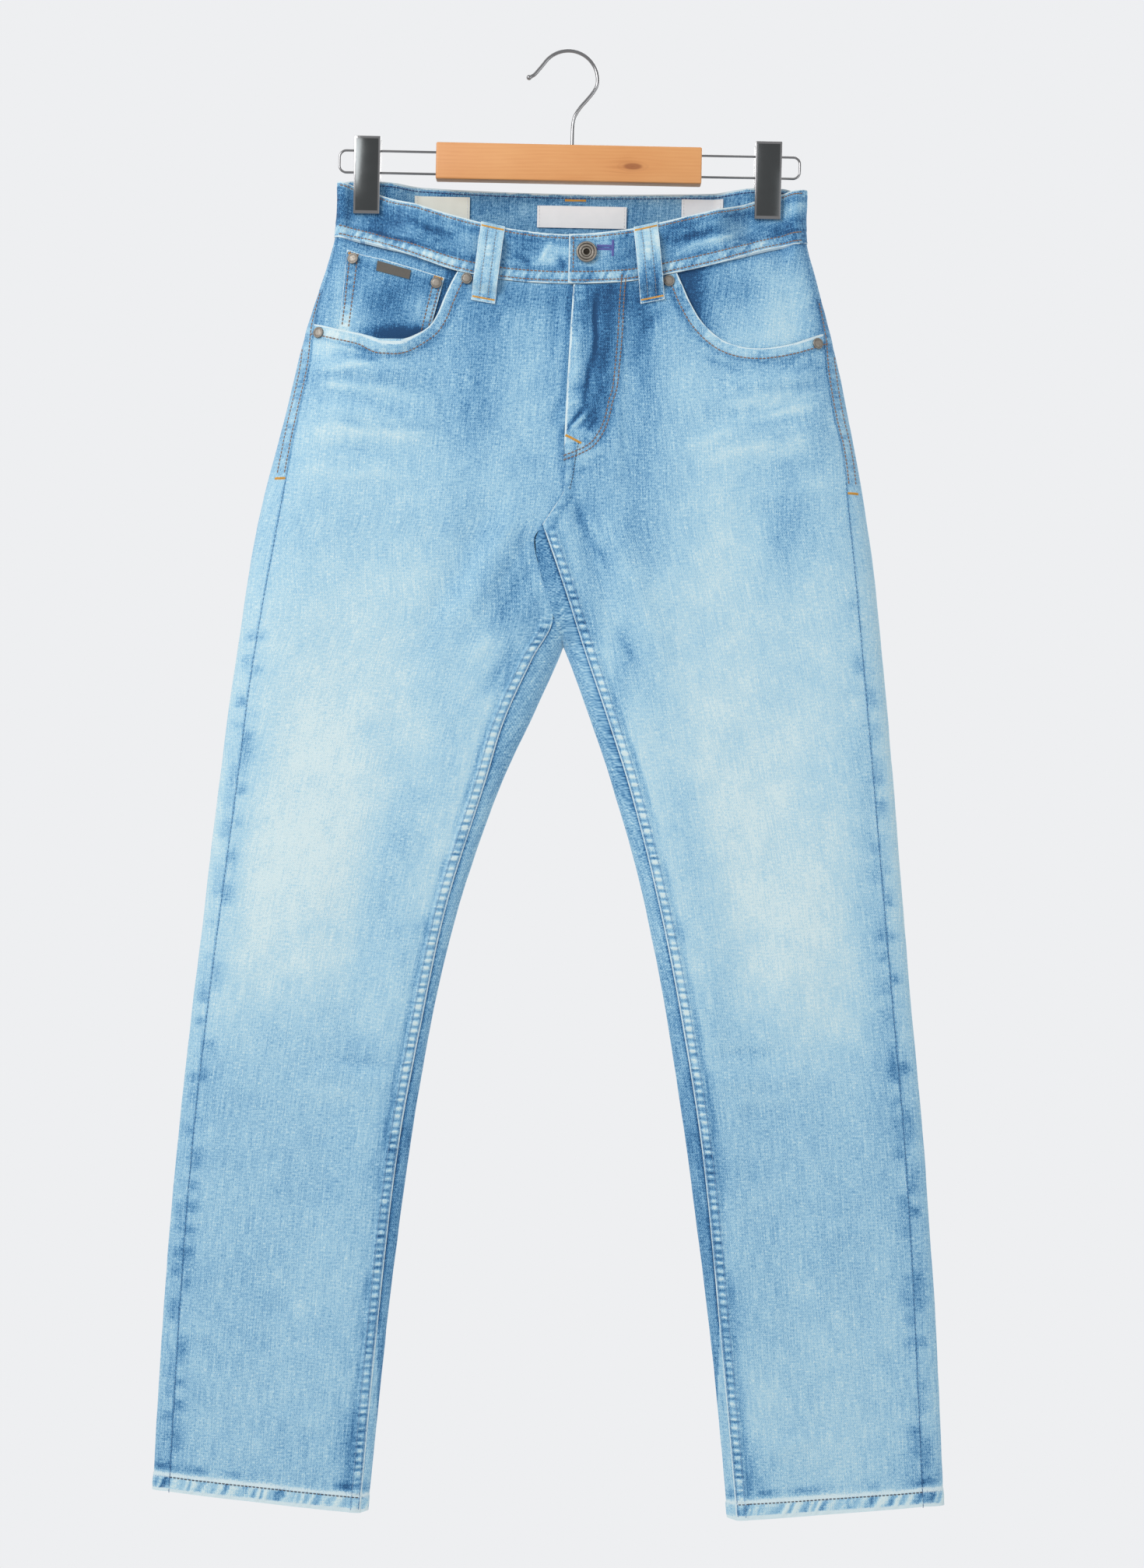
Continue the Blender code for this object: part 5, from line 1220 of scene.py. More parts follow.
def tongue_line(side):
    """The top edge of the seat's front part, with a point for each of the mesh's columns."""
    if side == "left":
        line = [(-0.5, 483.0), TUCK] + [(float(INSEAM_X["right"](d)), d) for d in (450, 436, 422, 408, 399)]
        line.append(FORK)
    else:
        line = [(-0.5, 483.0), TUCK]
    line = np.array(line, float)
    reach = np.concatenate([[0], np.cumsum(np.hypot(*np.diff(line, axis=0).T))])
    at = TONGUE_SHARES * reach[-1]
    edge = np.stack([np.interp(at, reach, line[:, 0]), np.interp(at, reach, line[:, 1])], -1)
    return edge + np.array([SIGN[side] * SEAM_GAP / 2, SEAM_GAP / 2])


def back_grid(side):
    """x, drop, face and cells of a back's mesh, and where its front part hangs over the right front."""
    sign = SIGN[side]
    rows = np.concatenate([[(YOKE_SIDE + SEAM_GAP / 2, 0, 0, YOKE_SEAT + SEAM_GAP / 2)], ROWS])
    crotch = CROTCH_ROW + 1
    column = 1 if side == "right" else 2
    rows[0, column] = rows[1, column] - 30.0
    index = rows_between(rows[:, 3], BACK_PITCH)
    side_drop, seat_drop, seam_drop = (at_rows(rows[:, n], index) for n in (0, 3, column))
    x, drop, face, over = [], [], [], []
    first_tongue = tongue_line(side)
    for n, at in enumerate(index):
        in_leg = at >= crotch
        end_x = float(INNER_X[side](seat_drop[n])) if in_leg else BACK_SEAM_X + sign * SEAM_GAP / 2
        row_x, row_drop, row_face = back_columns(side, side_drop[n], seat_drop[n], end_x)
        start = np.array([row_x[-1], row_drop[-1]])
        seam = np.array([float(INSEAM_X[side](seam_drop[n])) - sign * SEAM_GAP / 2, seam_drop[n]])
        tongue = start + (seam - start) * TONGUE_SHARES[:, None]
        t = min(max(at - crotch, 0.0), 1.0)
        if in_leg:
            row_face[-1] = FOLD
            if t < 1:
                next_drop = rows[crotch + 1, 3]
                next_start = np.array([float(INNER_X[side](next_drop)), next_drop])
                low = rows[crotch + 1, column]
                next_seam = np.array([float(INSEAM_X[side](low)) - sign * SEAM_GAP / 2, low])
                below = next_start + (next_seam - next_start) * TONGUE_SHARES[:, None]
                tongue = first_tongue * (1 - t) + below * t
        x.append(np.concatenate([row_x, tongue[:, 0]]))
        drop.append(np.concatenate([row_drop, tongue[:, 1]]))
        face.append(np.concatenate([row_face, np.full(len(tongue), FRONT)]))
        hang = smooth(0.1, 0.45, TONGUE_SHARES) * (1 - 0.9 * smooth(0.97, 1.0, TONGUE_SHARES))
        over.append(np.concatenate([np.zeros(len(row_x)), hang * STEP_OVER * (1 - 0.5 * t)]))
    x, drop, face, over = (np.array(v) for v in (x, drop, face, over))
    cells = np.ones((len(index) - 1, x.shape[1] - 1), bool)
    cells[index[:-1] < crotch, x.shape[1] - len(TONGUE_SHARES) - 1:] = False
    over = over * (side == "left") * (1 - smooth(crotch + 1, crotch + 2, index))[:, None]
    return x, drop, face, cells, over


def on_strip(x, face):
    """Where a back's mesh is the strip between the side seam and the outer fold."""
    return (np.asarray(face) <= 0) & (np.abs(x) > 140)


def back_out(side, x, drop, face):
    """How far a back stands outside the hung form."""
    out = hem(x, drop, 22)[0]
    seam = np.abs(x - BACK_SEAM_X)
    behind = (np.asarray(face) > 0) & (drop < GAP_TOP[1])
    if side == "left":
        lapped = behind * (1 - smooth(9.0, 11.0, seam))
        out += lapped * (0.55 + 0.2 * ripple(drop, 3.4, 71) * bump(seam - 5, 3.4) - 0.4 * bump(seam, 0.9))
        for row in SEAT_ROWS:
            out -= 0.2 * lapped * bump(seam - row, 0.8)
    from_side = np.abs(np.abs(x) - np.abs(SIDE_X[side](drop)))
    strip = on_strip(x, face) * (1 - smooth(350, 358, drop))
    for row in TOP_STRIP_ROWS:
        out -= 0.2 * strip * bump(from_side - row, 0.9)
    return out + strip * 0.25 * ripple(drop, 3.6, 72) * bump(from_side - 5, 3.6)


def back_marks(side, x, drop, face):
    """How pale a back is, and how worn."""
    pale, worn = wash_and_shade(x, drop, face), np.zeros(np.shape(x))
    _, hem_paler, hem_worn = hem(x, drop, 22)
    pale, worn = pale + hem_paler, worn + hem_worn
    tracks, from_side = side_tracks(side, x, drop, 63 if side == "right" else 64)
    strip = on_strip(x, face)
    upper = strip * (1 - smooth(345, 362, drop))
    pale += tracks * strip - 0.20 * strip * bump(from_side, 1.0) - 0.10 * upper
    pale += upper * 0.14 * ripple(drop, 3.6, 72) * bump(from_side - 5, 3.6)
    worn += 0.55 * bump(np.abs(x) - np.abs(OUTER_X[side](drop)), 0.8) * (np.asarray(face) == FOLD)
    tongue = (np.asarray(face) == FRONT) & ~strip
    away = np.abs(x - INSEAM_X[side](drop))
    pale -= tongue * (0.27 + 0.36 * bump(away, 1.7) - 0.06 * ripple(drop, 30, 73))
    seam = np.abs(x - BACK_SEAM_X)
    behind = (np.asarray(face) > 0) & (drop < GAP_TOP[1])
    pale += behind * (0.14 * ripple(drop, 3.4, 71) * bump(seam - 5, 4) - 0.16 * bump(seam - 11.5, 2.4))
    worn += behind * (0.7 if side == "left" else 0.0) * bump(seam, 1.0)
    yoke_seam = YOKE_SIDE + (YOKE_SEAT - YOKE_SIDE) * (1 - np.abs(x) / 195.0)
    pale -= 0.14 * bump(drop - yoke_seam, 3.0) * (np.asarray(face) > 0)
    return pale, worn


BACK_HEM = {"right": (-318.0, -154.0), "left": (158.0, 322.0)}  # where its hem's stitches start and end
SIDE_TACK = {"right": 356.0, "left": 359.0}  # the bartack at the foot of the side seam's stitches
for side in ("right", "left"):
    x, drop, face, cells, over = back_grid(side)
    points, outward = surface(x, drop, face)
    pale, worn = back_marks(side, x, drop, face)
    pale -= 0.05 * (over > 0.2)
    pucker, gather = puckers(x, drop)
    by_seat = (face > 0) * (drop < GAP_TOP[1] - 12) * bump(np.abs(x - BACK_SEAM_X) - 5, 3.6)
    girth = np.cumsum(np.hypot(np.diff(points[..., 0], axis=1), np.diff(points[..., 1], axis=1)), axis=1)
    girth = np.concatenate([np.zeros((len(girth), 1)), girth], axis=1)
    panel = cloth(
        f"back_{side}_cloth", (points, outward), back_out(side, x, drop, face) + over, pale, worn,
        (girth - girth[:, 40:41], drop), cells=cells,
        pucker=pucker + 0.7 * by_seat * (side == "left"), gather=gather,
    )
    wear(panel, "denim", *long_panel(f"back_{side}"))

    def lie(line, face, side=side):
        return on_cloth(line, face, lambda x, drop: back_out(side, x, drop, face))

    hem_x = np.arange(*BACK_HEM[side], THREAD_STEP)
    hem_line = np.stack([hem_x, hem_bottom(hem_x) - HEM_STITCH], -1)
    threads = [sew(f"back_{side}_hem_stitch", [lie(hem_line, BACK)], TOPSTITCH, DARK_THREAD)]
    strip_lines = []
    for row in TOP_STRIP_ROWS:
        drops = np.arange(204.0, 352.0, THREAD_STEP)
        inside_fold = np.abs(OUTER_X[side](drops)) - 1.5
        row_x = np.minimum(np.abs(SIDE_X[side](drops)) + row, inside_fold)
        line = np.stack([SIGN[side] * row_x, drops], -1)
        strip_lines.append(lie(line[row_x < inside_fold], FRONT))
    threads.append(sew(f"back_{side}_side_topstitch", strip_lines, TOPSTITCH, BROWN_THREAD))
    tack_drop = SIDE_TACK[side]
    tack_x = float(SIDE_X[side](tack_drop))
    tack = np.array([(tack_x + SIGN[side] * 0.5, tack_drop), (tack_x + SIGN[side] * 9.0, tack_drop)])
    threads.append(sew(f"back_{side}_bartack", [lie(along(tack, 0.5), FRONT)], BAR_STITCH, GOLD_THREAD))
    if side == "left":
        seat_drops = np.arange(YOKE_SEAT + 3, 478.0, THREAD_STEP)
        rows = [
            lie(np.stack([np.full(len(seat_drops), BACK_SEAM_X + row), seat_drops], -1), BACK)
            for row in SEAT_ROWS
        ]
        threads.append(sew("seat_topstitch", rows, TOPSTITCH, BROWN_THREAD))

# Yokes. Each lies between the waistband and a back, deeper at the back seam than at the side, and its
# lower edge laps over the back and is stitched down twice.
YOKE_TOP_SIDE, YOKE_TOP_SEAT = 155.0, 153.0
YOKE_SHARES = np.concatenate([[0.0, 0.02], np.linspace(0.05, 0.95, 26), [0.98, 1.0]])


def yoke_seam(x):
    """The drop of the yoke's lower edge on the back."""
    return YOKE_SIDE + (YOKE_SEAT - YOKE_SIDE) * (1 - np.clip(np.abs(x - BACK_SEAM_X) / 204.0, 0, 1))


def yoke_out(x, drop, face):
    """How far a yoke stands outside the hung form."""
    above = yoke_seam(x) - drop
    behind = np.asarray(face) > 0
    lapped = behind * (1 - smooth(8.8, 10.6, above))
    out = lapped * (0.35 + 0.2 * ripple(x, 3.4, 81) * bump(above - 5, 3.4) - 0.35 * bump(above, 0.9))
    for row in YOKE_ROWS:
        out -= 0.2 * behind * bump(above - row, 0.8)
    return out


def yoke_marks(side, x, drop, face):
    """How pale a yoke is, and how worn."""
    above = yoke_seam(x) - drop
    behind = np.asarray(face) > 0
    pale = wash_and_shade(x, drop, face) + behind * 0.15 * ripple(x, 3.4, 81) * bump(above - 5, 4)
    pale -= behind * 0.14 * bump(above - 11.5, 2.4)
    under_band = drop - np.where(behind, BACK_SEAM(x), FRONT_SEAM(x))
    pale -= 0.14 * bump(under_band, 4.0)
    seam = np.abs(x - BACK_SEAM_X)
    pale += behind * (0.12 * ripple(drop, 3.4, 82) * bump(seam - 5, 4) - 0.14 * bump(seam - 11.5, 2.4))
    worn = 0.75 * behind * bump(above, 1.1) + 0.6 * behind * (side == "left") * bump(seam, 1.0)
    return pale, worn + 0.5 * bump(np.abs(x) - np.abs(OUTER_X[side](drop)), 0.8) * (np.asarray(face) == FOLD)


for side in ("right", "left"):
    sign = SIGN[side]
    rows = [
        back_columns(
            side, YOKE_TOP_SIDE + (YOKE_SIDE - SEAM_GAP / 2 - YOKE_TOP_SIDE) * share,
            YOKE_TOP_SEAT + (YOKE_SEAT - SEAM_GAP / 2 - YOKE_TOP_SEAT) * share,
            BACK_SEAM_X + sign * SEAM_GAP / 2,
        )
        for share in YOKE_SHARES
    ]
    x, drop, face = (np.array([row[n] for row in rows]) for n in range(3))
    band_edge = np.where(face[0] == FRONT, FRONT_SEAM(x[0]), BACK_SEAM(x[0])) + TUCKED
    drop = drop + (band_edge - drop[0]) * (1 - smooth(0.0, 0.33, YOKE_SHARES))[:, None]
    pale, worn = yoke_marks(side, x, drop, face)
    panel = cloth(
        f"yoke_{side}_cloth", surface(x, drop, face), yoke_out(x, drop, face), pale, worn,
        (x * 0.97 + drop * 0.2 * sign, drop),
        pucker=0.7 * (face > 0) * bump(yoke_seam(x) - drop - 5, 3.6), gather=x / 6.2,
    )
    wear(panel, "denim", f"yoke_{side}")
    seam_x = np.arange(3.0, 191.0, THREAD_STEP) * sign
    lines = [
        on_cloth(
            np.stack([seam_x, yoke_seam(seam_x) - row], -1), BACK,
            lambda x, drop: yoke_out(x, drop, BACK),
        )
        for row in YOKE_ROWS
    ]
    threads = [sew(f"yoke_{side}_topstitch", lines, TOPSTITCH, BROWN_THREAD)]

# Waistband. One doubled strip runs all round, from the end under the fly to the buttoned end that laps
# over it. A row of stitches holds its top edge and two rows its lower edge, and the buttonhole is
# worked in violet thread with a bar at its far end.
BAND_TOP_ROW = 3.0  # below the top edge
CHAIN_ROW = 3.4  # the chain stitch inside, below the top edge
BAND_LOW_ROWS = (2.5, 9.5)  # above the lower edge
BAND_SHARES = np.concatenate([[0.0, 0.012, 0.03], np.linspace(0.06, 0.94, 34), [0.965, 0.985, 1.0]])
BESIDE_BAND_FOLD = (8.0, 5.5, 3.5, 2.0, 1.0, 0.4)
BAND_PITCH = 1.7
LAP_RISE = 3.0  # the buttoned end lies on the other end
LAP_FADE = (28.0, 49.0)
BUTTONHOLE = (22.0, 34.0, 164.5)  # its two ends and its drop
# Paler and deeper patches: x, drop, half width, half height, how much paler
BAND_WASHES = {
    FRONT: [
        (24, 166, 20, 18, 0.24), (46, 168, 8, 20, -0.10), (92, 146, 18, 13, -0.16),
        (112, 158, 22, 8, 0.10), (140, 140, 14, 16, -0.06), (152, 158, 30, 6, 0.16),
        (168, 136, 20, 12, -0.14), (184, 128, 14, 10, 0.14), (-16, 172, 10, 12, 0.16),
        (-36, 164, 12, 16, -0.12), (-28, 186, 24, 5, 0.10), (-96, 164, 26, 10, -0.12),
        (-112, 178, 34, 6, 0.16), (-128, 150, 20, 8, 0.08), (-150, 142, 14, 12, -0.06),
        (-176, 152, 22, 8, 0.12), (-184, 126, 12, 14, -0.10),
    ],
    BACK: [
        (-60, 134, 44, 14, 0.06), (70, 136, 50, 14, 0.05), (0, 138, 18, 20, -0.06),
    ],
}


def band_place(x, face):
    """The top edge and the seam of the waistband at a place."""
    behind = np.asarray(face) > 0
    return np.where(behind, BACK_TOP(x), FRONT_TOP(x)), np.where(behind, BACK_SEAM(x), FRONT_SEAM(x))


def band_gather(x, drop):
    """The waistband's gathers along its edges, and the slanting twist between them, from -1 to 1."""
    return ripple(x + 0.5 * drop, 4.4, 91), ripple(x * 0.8 + drop * 1.1, 15.0, 92)


def band_out(x, drop, face, lapped):
    """How far the waistband stands outside the hung form. lapped is 1 on the buttoned front."""
    top, seam = band_place(x, face)
    down, up = drop - top, seam - drop
    out = BAND_PROUD + lapped * LAP_RISE * (1 - smooth(*LAP_FADE, x))
    gather, twist = band_gather(x, drop)
    out += 0.22 * gather * bump(down - 3, 2.8) + 0.30 * gather * bump(up - 5.5, 4.5)
    out = out - 0.3 * bump(down - BAND_TOP_ROW, 0.9) - 0.35 * bump(down, 0.8) - 0.35 * bump(up, 0.8)
    for row in BAND_LOW_ROWS:
        out -= 0.3 * bump(up - row, 0.9)
    out += 0.30 * twist * smooth(8, 14, down) * smooth(12, 18, up)
    return out - 0.5 * lapped * bump(x + 1.0 - 0.12 * (drop - 147), 0.9)


def band_marks(x, drop, face, lapped):
    """How pale the waistband is, and how worn."""
    top, seam = band_place(x, face)
    down, up = drop - top, seam - drop
    gather, twist = band_gather(x, drop)
    pale = 0.47 + 0.13 * mottle(x, drop, (16.0, 11.0), 93) + 0.07 * mottle(x, drop, (6.0, 5.0), 94)
    for on, (middle_x, middle_drop, half_x, half_drop, amount) in marks_of(BAND_WASHES):
        reach = ((x - middle_x) / half_x) ** 2 + ((drop - middle_drop) / half_drop) ** 2
        pale += amount * np.exp(-reach) * (np.sign(face + 0.1 * on) == on)
    pale += 1.5 * crease(x, drop, face)[1]
    pale += 0.20 * twist * smooth(8, 14, down) * smooth(12, 18, up)
    pale += (0.10 + 0.16 * gather) * bump(down - 2.5, 2.6) + (0.12 + 0.20 * gather) * bump(up - 5.5, 5.0)
    pale -= 0.18 * bump(up - 11.8, 1.6) + 0.10 * bump(down - 7.0, 2.0)
    for row in BAND_LOW_ROWS:
        pale -= 0.10 * bump(up - row - 0.9, 0.8)
    fray = 0.8 + 0.4 * ripple(x, 5.0, 96)
    worn = fray * (1.3 * bump(down, 1.3) + 0.9 * bump(up, 1.0))
    worn += 0.15 * np.maximum(gather, 0) * bump(up - 5, 4)
    end = x + 1.0
    worn += lapped * (0.9 * bump(end, 1.2) + 0.15 * bump(end - 4, 3))
    # painted shade in the buttonhole's cut slit
    slot = bump((drop - BUTTONHOLE[2]) / 0.5, 1.0) * smooth(20, 22, x) * (1 - smooth(33, 34.5, x))
    return pale - 0.5 * lapped * slot, worn - 0.6 * lapped * slot


def band_columns():
    """x (or the distance from a fold), which fold, face, and 1 on the buttoned front, for each column."""
    columns = [(x, None, FRONT, 0.0) for x in np.linspace(28.0, -183.0, int(211 / BAND_PITCH))]
    columns += [(away, "right", FRONT, 0.0) for away in BESIDE_BAND_FOLD] + [(0.0, "right", FOLD, 0.0)]
    columns += [(away, "right", BACK, 0.0) for away in BESIDE_BAND_FOLD[::-1]]
    columns += [(x, None, BACK, 0.0) for x in np.linspace(-183.0, 183.0, int(366 / BAND_PITCH))]
    columns += [(away, "left", BACK, 0.0) for away in BESIDE_BAND_FOLD] + [(0.0, "left", FOLD, 0.0)]
    columns += [(away, "left", FRONT, 1.0) for away in BESIDE_BAND_FOLD[::-1]]
    return columns + [(x, None, FRONT, 1.0) for x in np.linspace(183.0, -1.0, int(184 / BAND_PITCH))]


x, drop, face, lapped = [], [], [], []
for along_x, near, on, lap in band_columns():
    at = float(OUTER_X[near](130.0)) - SIGN[near] * along_x if near else along_x
    top, seam = band_place(at, on)
    level = top + (seam - top) * BAND_SHARES
    drop.append(level)
    x.append(OUTER_X[near](level) - SIGN[near] * along_x if near else np.full(len(level), at))
    face.append(np.full(len(level), on))
    lapped.append(np.full(len(level), lap))
x, drop, face, lapped = (np.array(v, float).T for v in (x, drop, face, lapped))
pale, worn = band_marks(x, drop, face, lapped)
ahead = np.concatenate([np.zeros((len(x), 1)), np.cumsum(np.abs(np.diff(x, axis=1)), axis=1)], axis=1)
top, seam = band_place(x, face)
lining = 0.44 + 0.12 * mottle(x, drop, (18.0, 9.0), 95) + 0.14 * bump(drop - top - 1.5, 2.0)
pucker = 0.4 * bump(seam - drop - 5.8, 4.0) + 0.25 * bump(drop - top - 3.0, 3.0)
band = cloth(
    "waistband_cloth", surface(x, drop, face), band_out(x, drop, face, lapped), pale, worn,
    (ahead, drop - top), BAND, inside=lining, pucker=pucker, gather=(x + 0.5 * drop) / 6.4,
)
wear(band, "waistband_denim", "waistband")


def on_band(line, face, lapped=0.0):
    """A line of (x, drop) laid on the waistband."""
    return on_cloth(line, face, lambda x, drop: band_out(x, drop, face, lapped))


def band_row(start, end, face, down=None, up=None):
    """A line along the waistband, so far down from its top edge or up from its seam."""
    x = np.arange(start, end, 1.8)
    top, seam = band_place(x, face)
    return np.stack([x, top + down if up is None else seam - up], -1)


lines = []
for start, end, on, lap in ((-188.0, -2.0, FRONT, 0.0), (2.5, 189.0, FRONT, 1.0), (-188.0, 189.0, BACK, 0.0)):
    lines.append(on_band(band_row(start, end, on, down=BAND_TOP_ROW), on, lap))
    lines += [on_band(band_row(start, end, on, up=row), on, lap) for row in BAND_LOW_ROWS]
lines.append(on_band(along(np.array([(2.6, 158.0), (2.9, 184.0)]), 1.0), FRONT, 1.0))
threads = [sew("waistband_topstitch", lines, TOPSTITCH, BROWN_THREAD)]


def on_lining(x, drop, out):
    """A line on the inner side of the back waistband, so far out from the hung form, facing inwards."""
    points, outward = surface(x, drop, BACK)
    return points + outward * np.broadcast_to(out, np.shape(x))[:, None], -outward


chain_x = np.arange(-184.0, 185.0, 1.8)
chain_drop = BACK_TOP(chain_x) + CHAIN_ROW
chain = on_lining(chain_x, chain_drop, band_out(chain_x, chain_drop, BACK, 0.0) - BAND - 0.1)
threads.append(sew("waistband_chain_stitch", [chain], TOPSTITCH, NAVY_THREAD))
tack_x = np.arange(-5.0, 12.5, 0.5)
tack = on_lining(tack_x, BACK_TOP(tack_x) + 5.0, BAND_PROUD - BAND - 0.15)
threads.append(sew("waistband_inner_bartack", [tack], BAR_STITCH, GOLD_THREAD))
hole_start, hole_end, hole_drop = BUTTONHOLE
VIOLET_THREAD = thread("violet thread", srgb(92, 98, 176), 0.06)
hole = [
    on_band(along(np.array([(hole_start, hole_drop - 1.3), (hole_end, hole_drop - 1.3)]), 0.5), FRONT, 1.0),
    on_band(along(np.array([(hole_end, hole_drop + 1.3), (hole_start, hole_drop + 1.3)]), 0.5), FRONT, 1.0),
]
threads.append(sew("buttonhole_stitch", hole, BAR_STITCH, VIOLET_THREAD))
hole_bar = [on_band(along(np.array([(hole_end + 0.6, 158.5), (hole_end + 0.6, 171.0)]), 0.5), FRONT, 1.0)]
threads.append(sew("buttonhole_bar", hole_bar, BAR_STITCH, VIOLET_THREAD))

# Pocket facings. Behind each front pocket's mouth lies a panel of the same denim, sewn in under the
# waistband and at the side seam, paler where it was rubbed and darkened beside the mouth by painted
# shadow, deepest under the right mouth's open lip.
FACING_SINK = {"right": 4.6, "left": 2.6}
# The hidden lower edge of each facing, from the waistband to the side seam: x, drop
FACING_EDGE = {
    "right": np.array([
        (-80, 188), (-82, 200), (-85, 215), (-93, 237), (-110, 252), (-132, 259), (-158, 257), (-196, 247),
    ], float),
    "left": np.array([
        (77, 186), (79, 198), (83, 213), (92, 235), (109, 251), (132, 259), (158, 258.5), (196, 248),
    ], float),
}
FACING_TOP_SEAM, FACING_LOW_SEAM = 155.5, 228.2  # where its side edge starts and ends
UNDER_BAND = 6.0  # it is caught this far under the waistband


def facing_sink(x, drop, side):
    """How deep a pocket facing lies under the front, rising to meet the side seam."""
    from_seam = np.abs(SIDE_X[side](drop)) - np.abs(x)
    deep = np.maximum(smooth(2, 26, from_seam), 0.14 * smooth(214, 228, drop))
    return 0.2 + (FACING_SINK[side] - 0.2) * deep


for side in ("right", "left"):
    sign, edge = SIGN[side], FACING_EDGE[side]
    index = np.linspace(0.0, len(edge) - 1.0, 70)
    across = np.linspace(0.0, 1.0, 76)
    seam_drop = FACING_TOP_SEAM + (FACING_LOW_SEAM - FACING_TOP_SEAM) * index / index[-1]
    seam_x = SIDE_X[side](seam_drop) - sign * SEAM_GAP / 2
    edge_x, edge_drop = at_rows(edge[:, 0], index), at_rows(edge[:, 1], index)
    x = seam_x[:, None] + (edge_x - seam_x)[:, None] * across
    drop = seam_drop[:, None] + (edge_drop - seam_drop)[:, None] * across
    under = FRONT_SEAM(x[0]) + TUCKED - UNDER_BAND * smooth(0.04, 0.12, across)
    drop = drop + (under - drop[0]) * (1 - smooth(0.0, 1.0, index))[:, None]
    under_band = drop - FRONT_SEAM(x)
    from_mouth = to_line(x, drop, mouth_line(side))
    # the last term is painted shadow beside the pocket mouth
    pale = wash_and_shade(x, drop, FRONT) - 0.16 * bump(under_band, 5.0) - 0.10 * bump(from_mouth, 7.0)
    if side == "left":
        # the last term is painted shadow at the left mouth's upper edge
        pale += 0.20 * bump(x - 176, 26.0) * smooth(166, 190, drop) - 0.52 * bump(x - 99, 15.0)
        pale += 0.14 * bump(x - 140, 20.0) * bump(drop - 238, 10.0)
        pale -= 0.14 * bump(x - 140, 24.0) * bump(drop - 196, 14.0)
    else:
        pale += 0.20 * bump(x + 188, 6.0) * smooth(170, 200, drop) - 0.05
        # painted shadow under the right mouth's open lip
        pale -= 0.70 * bump(x + 130, 32.0) * bump(from_mouth, 9.0)
    pale -= 0.14 * bump(x - SIDE_X[side](drop), 2.5)
    facing = cloth(
        f"pocket_facing_{side}_cloth", surface(x, drop, FRONT), -facing_sink(x, drop, side), pale,
        0.0, (x + 0.12 * drop, drop - 0.12 * x),
    )
    wear(facing, "denim", f"pocket_facing_{side}")

# Coin pocket. A small patch on the right facing, with two rows of stitches inside each upright edge, a
# turned top edge worn white, and a bare grey woven tab sewn over that edge.
COIN_TOP_OUT, COIN_TOP_IN = (-182.5, 167.5), (-102.0, 190.5)
COIN_LOW_OUT, COIN_LOW_IN = (-189.0, 243.0), (-116.0, 246.0)
COIN_SAG = 5.0
COIN_WIDTH, COIN_DEEP, COIN_LENGTH = 81.0, 74.0, 76.0  # across, down to the mouth's lip, and in all
COIN_OUT = DENIM + GAP + 0.3
COIN_ROWS = {"outer": (2.6, 8.6), "inner": (2.2, 7.6)}  # stitches, from each upright edge


def coin_place(across, down):
    """x and drop on the coin pocket: across from its outer to its inner edge, down from its top."""
    corners = [np.array(c) for c in (COIN_TOP_OUT, COIN_TOP_IN, COIN_LOW_OUT, COIN_LOW_IN)]
    across, down = np.asarray(across, float)[..., None], np.asarray(down, float)[..., None]
    upper = corners[0] + (corners[1] - corners[0]) * across
    lower = corners[2] + (corners[3] - corners[2]) * across
    spot = upper + (lower - upper) * down
    return spot[..., 0], spot[..., 1] + COIN_SAG * (4 * across * (1 - across) * down)[..., 0]


def coin_out(across, down, x, drop):
    """How far the coin pocket stands outside the hung form."""
    outer, inner, top = across * COIN_WIDTH, (1 - across) * COIN_WIDTH, down * COIN_DEEP
    out = COIN_OUT - facing_sink(x, drop, "right")
    out += 0.25 * bump(top - 3, 3.5) * (1 + 0.5 * ripple(x, 5.0, 101))
    for near, rows in ((outer, COIN_ROWS["outer"]), (inner, COIN_ROWS["inner"])):
        out = out - 0.3 * bump(near, 0.9) + 0.2 * ripple(drop, 4.0, 102) * bump(near - 5, 4)
        for row in rows:
            out -= 0.25 * bump(near - row, 0.9)
    return out - 0.3 * bump(top, 0.8)


across, down = np.meshgrid(
    np.concatenate([[0.0, 0.007, 0.018], np.linspace(0.035, 0.965, 58), [0.982, 0.993, 1.0]]),
    np.concatenate([[0.0, 0.008, 0.02], np.linspace(0.04, 1.0, 52)]),
)
x, drop = coin_place(across, down)
outer, inner, top = across * COIN_WIDTH, (1 - across) * COIN_WIDTH, down * COIN_DEEP
pale = wash_and_shade(x, drop, FRONT) - 0.12 + 0.06 * bump(top - 3, 3)
pale += 0.32 * bump(outer - 6, 12.0) * smooth(0.35, 0.75, down)
pale -= 0.30 * bump(x + 146, 20.0) * bump(drop - 214, 18.0)
pale += 0.20 * bump(x + 122, 9.0) * bump(drop - 216, 12.0)
# painted shadow of the right pocket's open mouth on the coin pocket's foot
pale -= 0.90 * bump(x + 137, 28.0) * bump(drop - 237.5, 7.0)
pale -= 0.10 * bump(x + 120, 24.0) * bump(drop - 200, 7.0)
pale += 0.05 * ripple(drop, 4.0, 102) * (bump(outer - 5, 4) + bump(inner - 5, 4)) - 0.1 * bump(top - 8, 3)
pale -= 0.08 * bump(outer - 11, 2) + 0.10 * bump(inner - 10.5, 2)
worn = 0.75 * bump(top, 1.1) + 0.55 * bump(outer, 1.0) + 0.6 * bump(inner, 1.0)
coin = cloth(
    "coin_pocket_cloth", surface(x, drop, FRONT), coin_out(across, down, x, drop), pale, worn,
    (across * COIN_WIDTH, down * COIN_LENGTH),
    pucker=0.28 * (bump(outer - 5, 3.6) + bump(inner - 5, 3.4)), gather=drop / 7.0,
)
wear(coin, "denim", "coin_pocket")


def on_coin(across, down):
    """A line laid on the coin pocket."""
    x, drop = coin_place(across, down)
    return on_cloth(np.stack([x, drop], -1), FRONT, coin_out(across, down, x, drop))


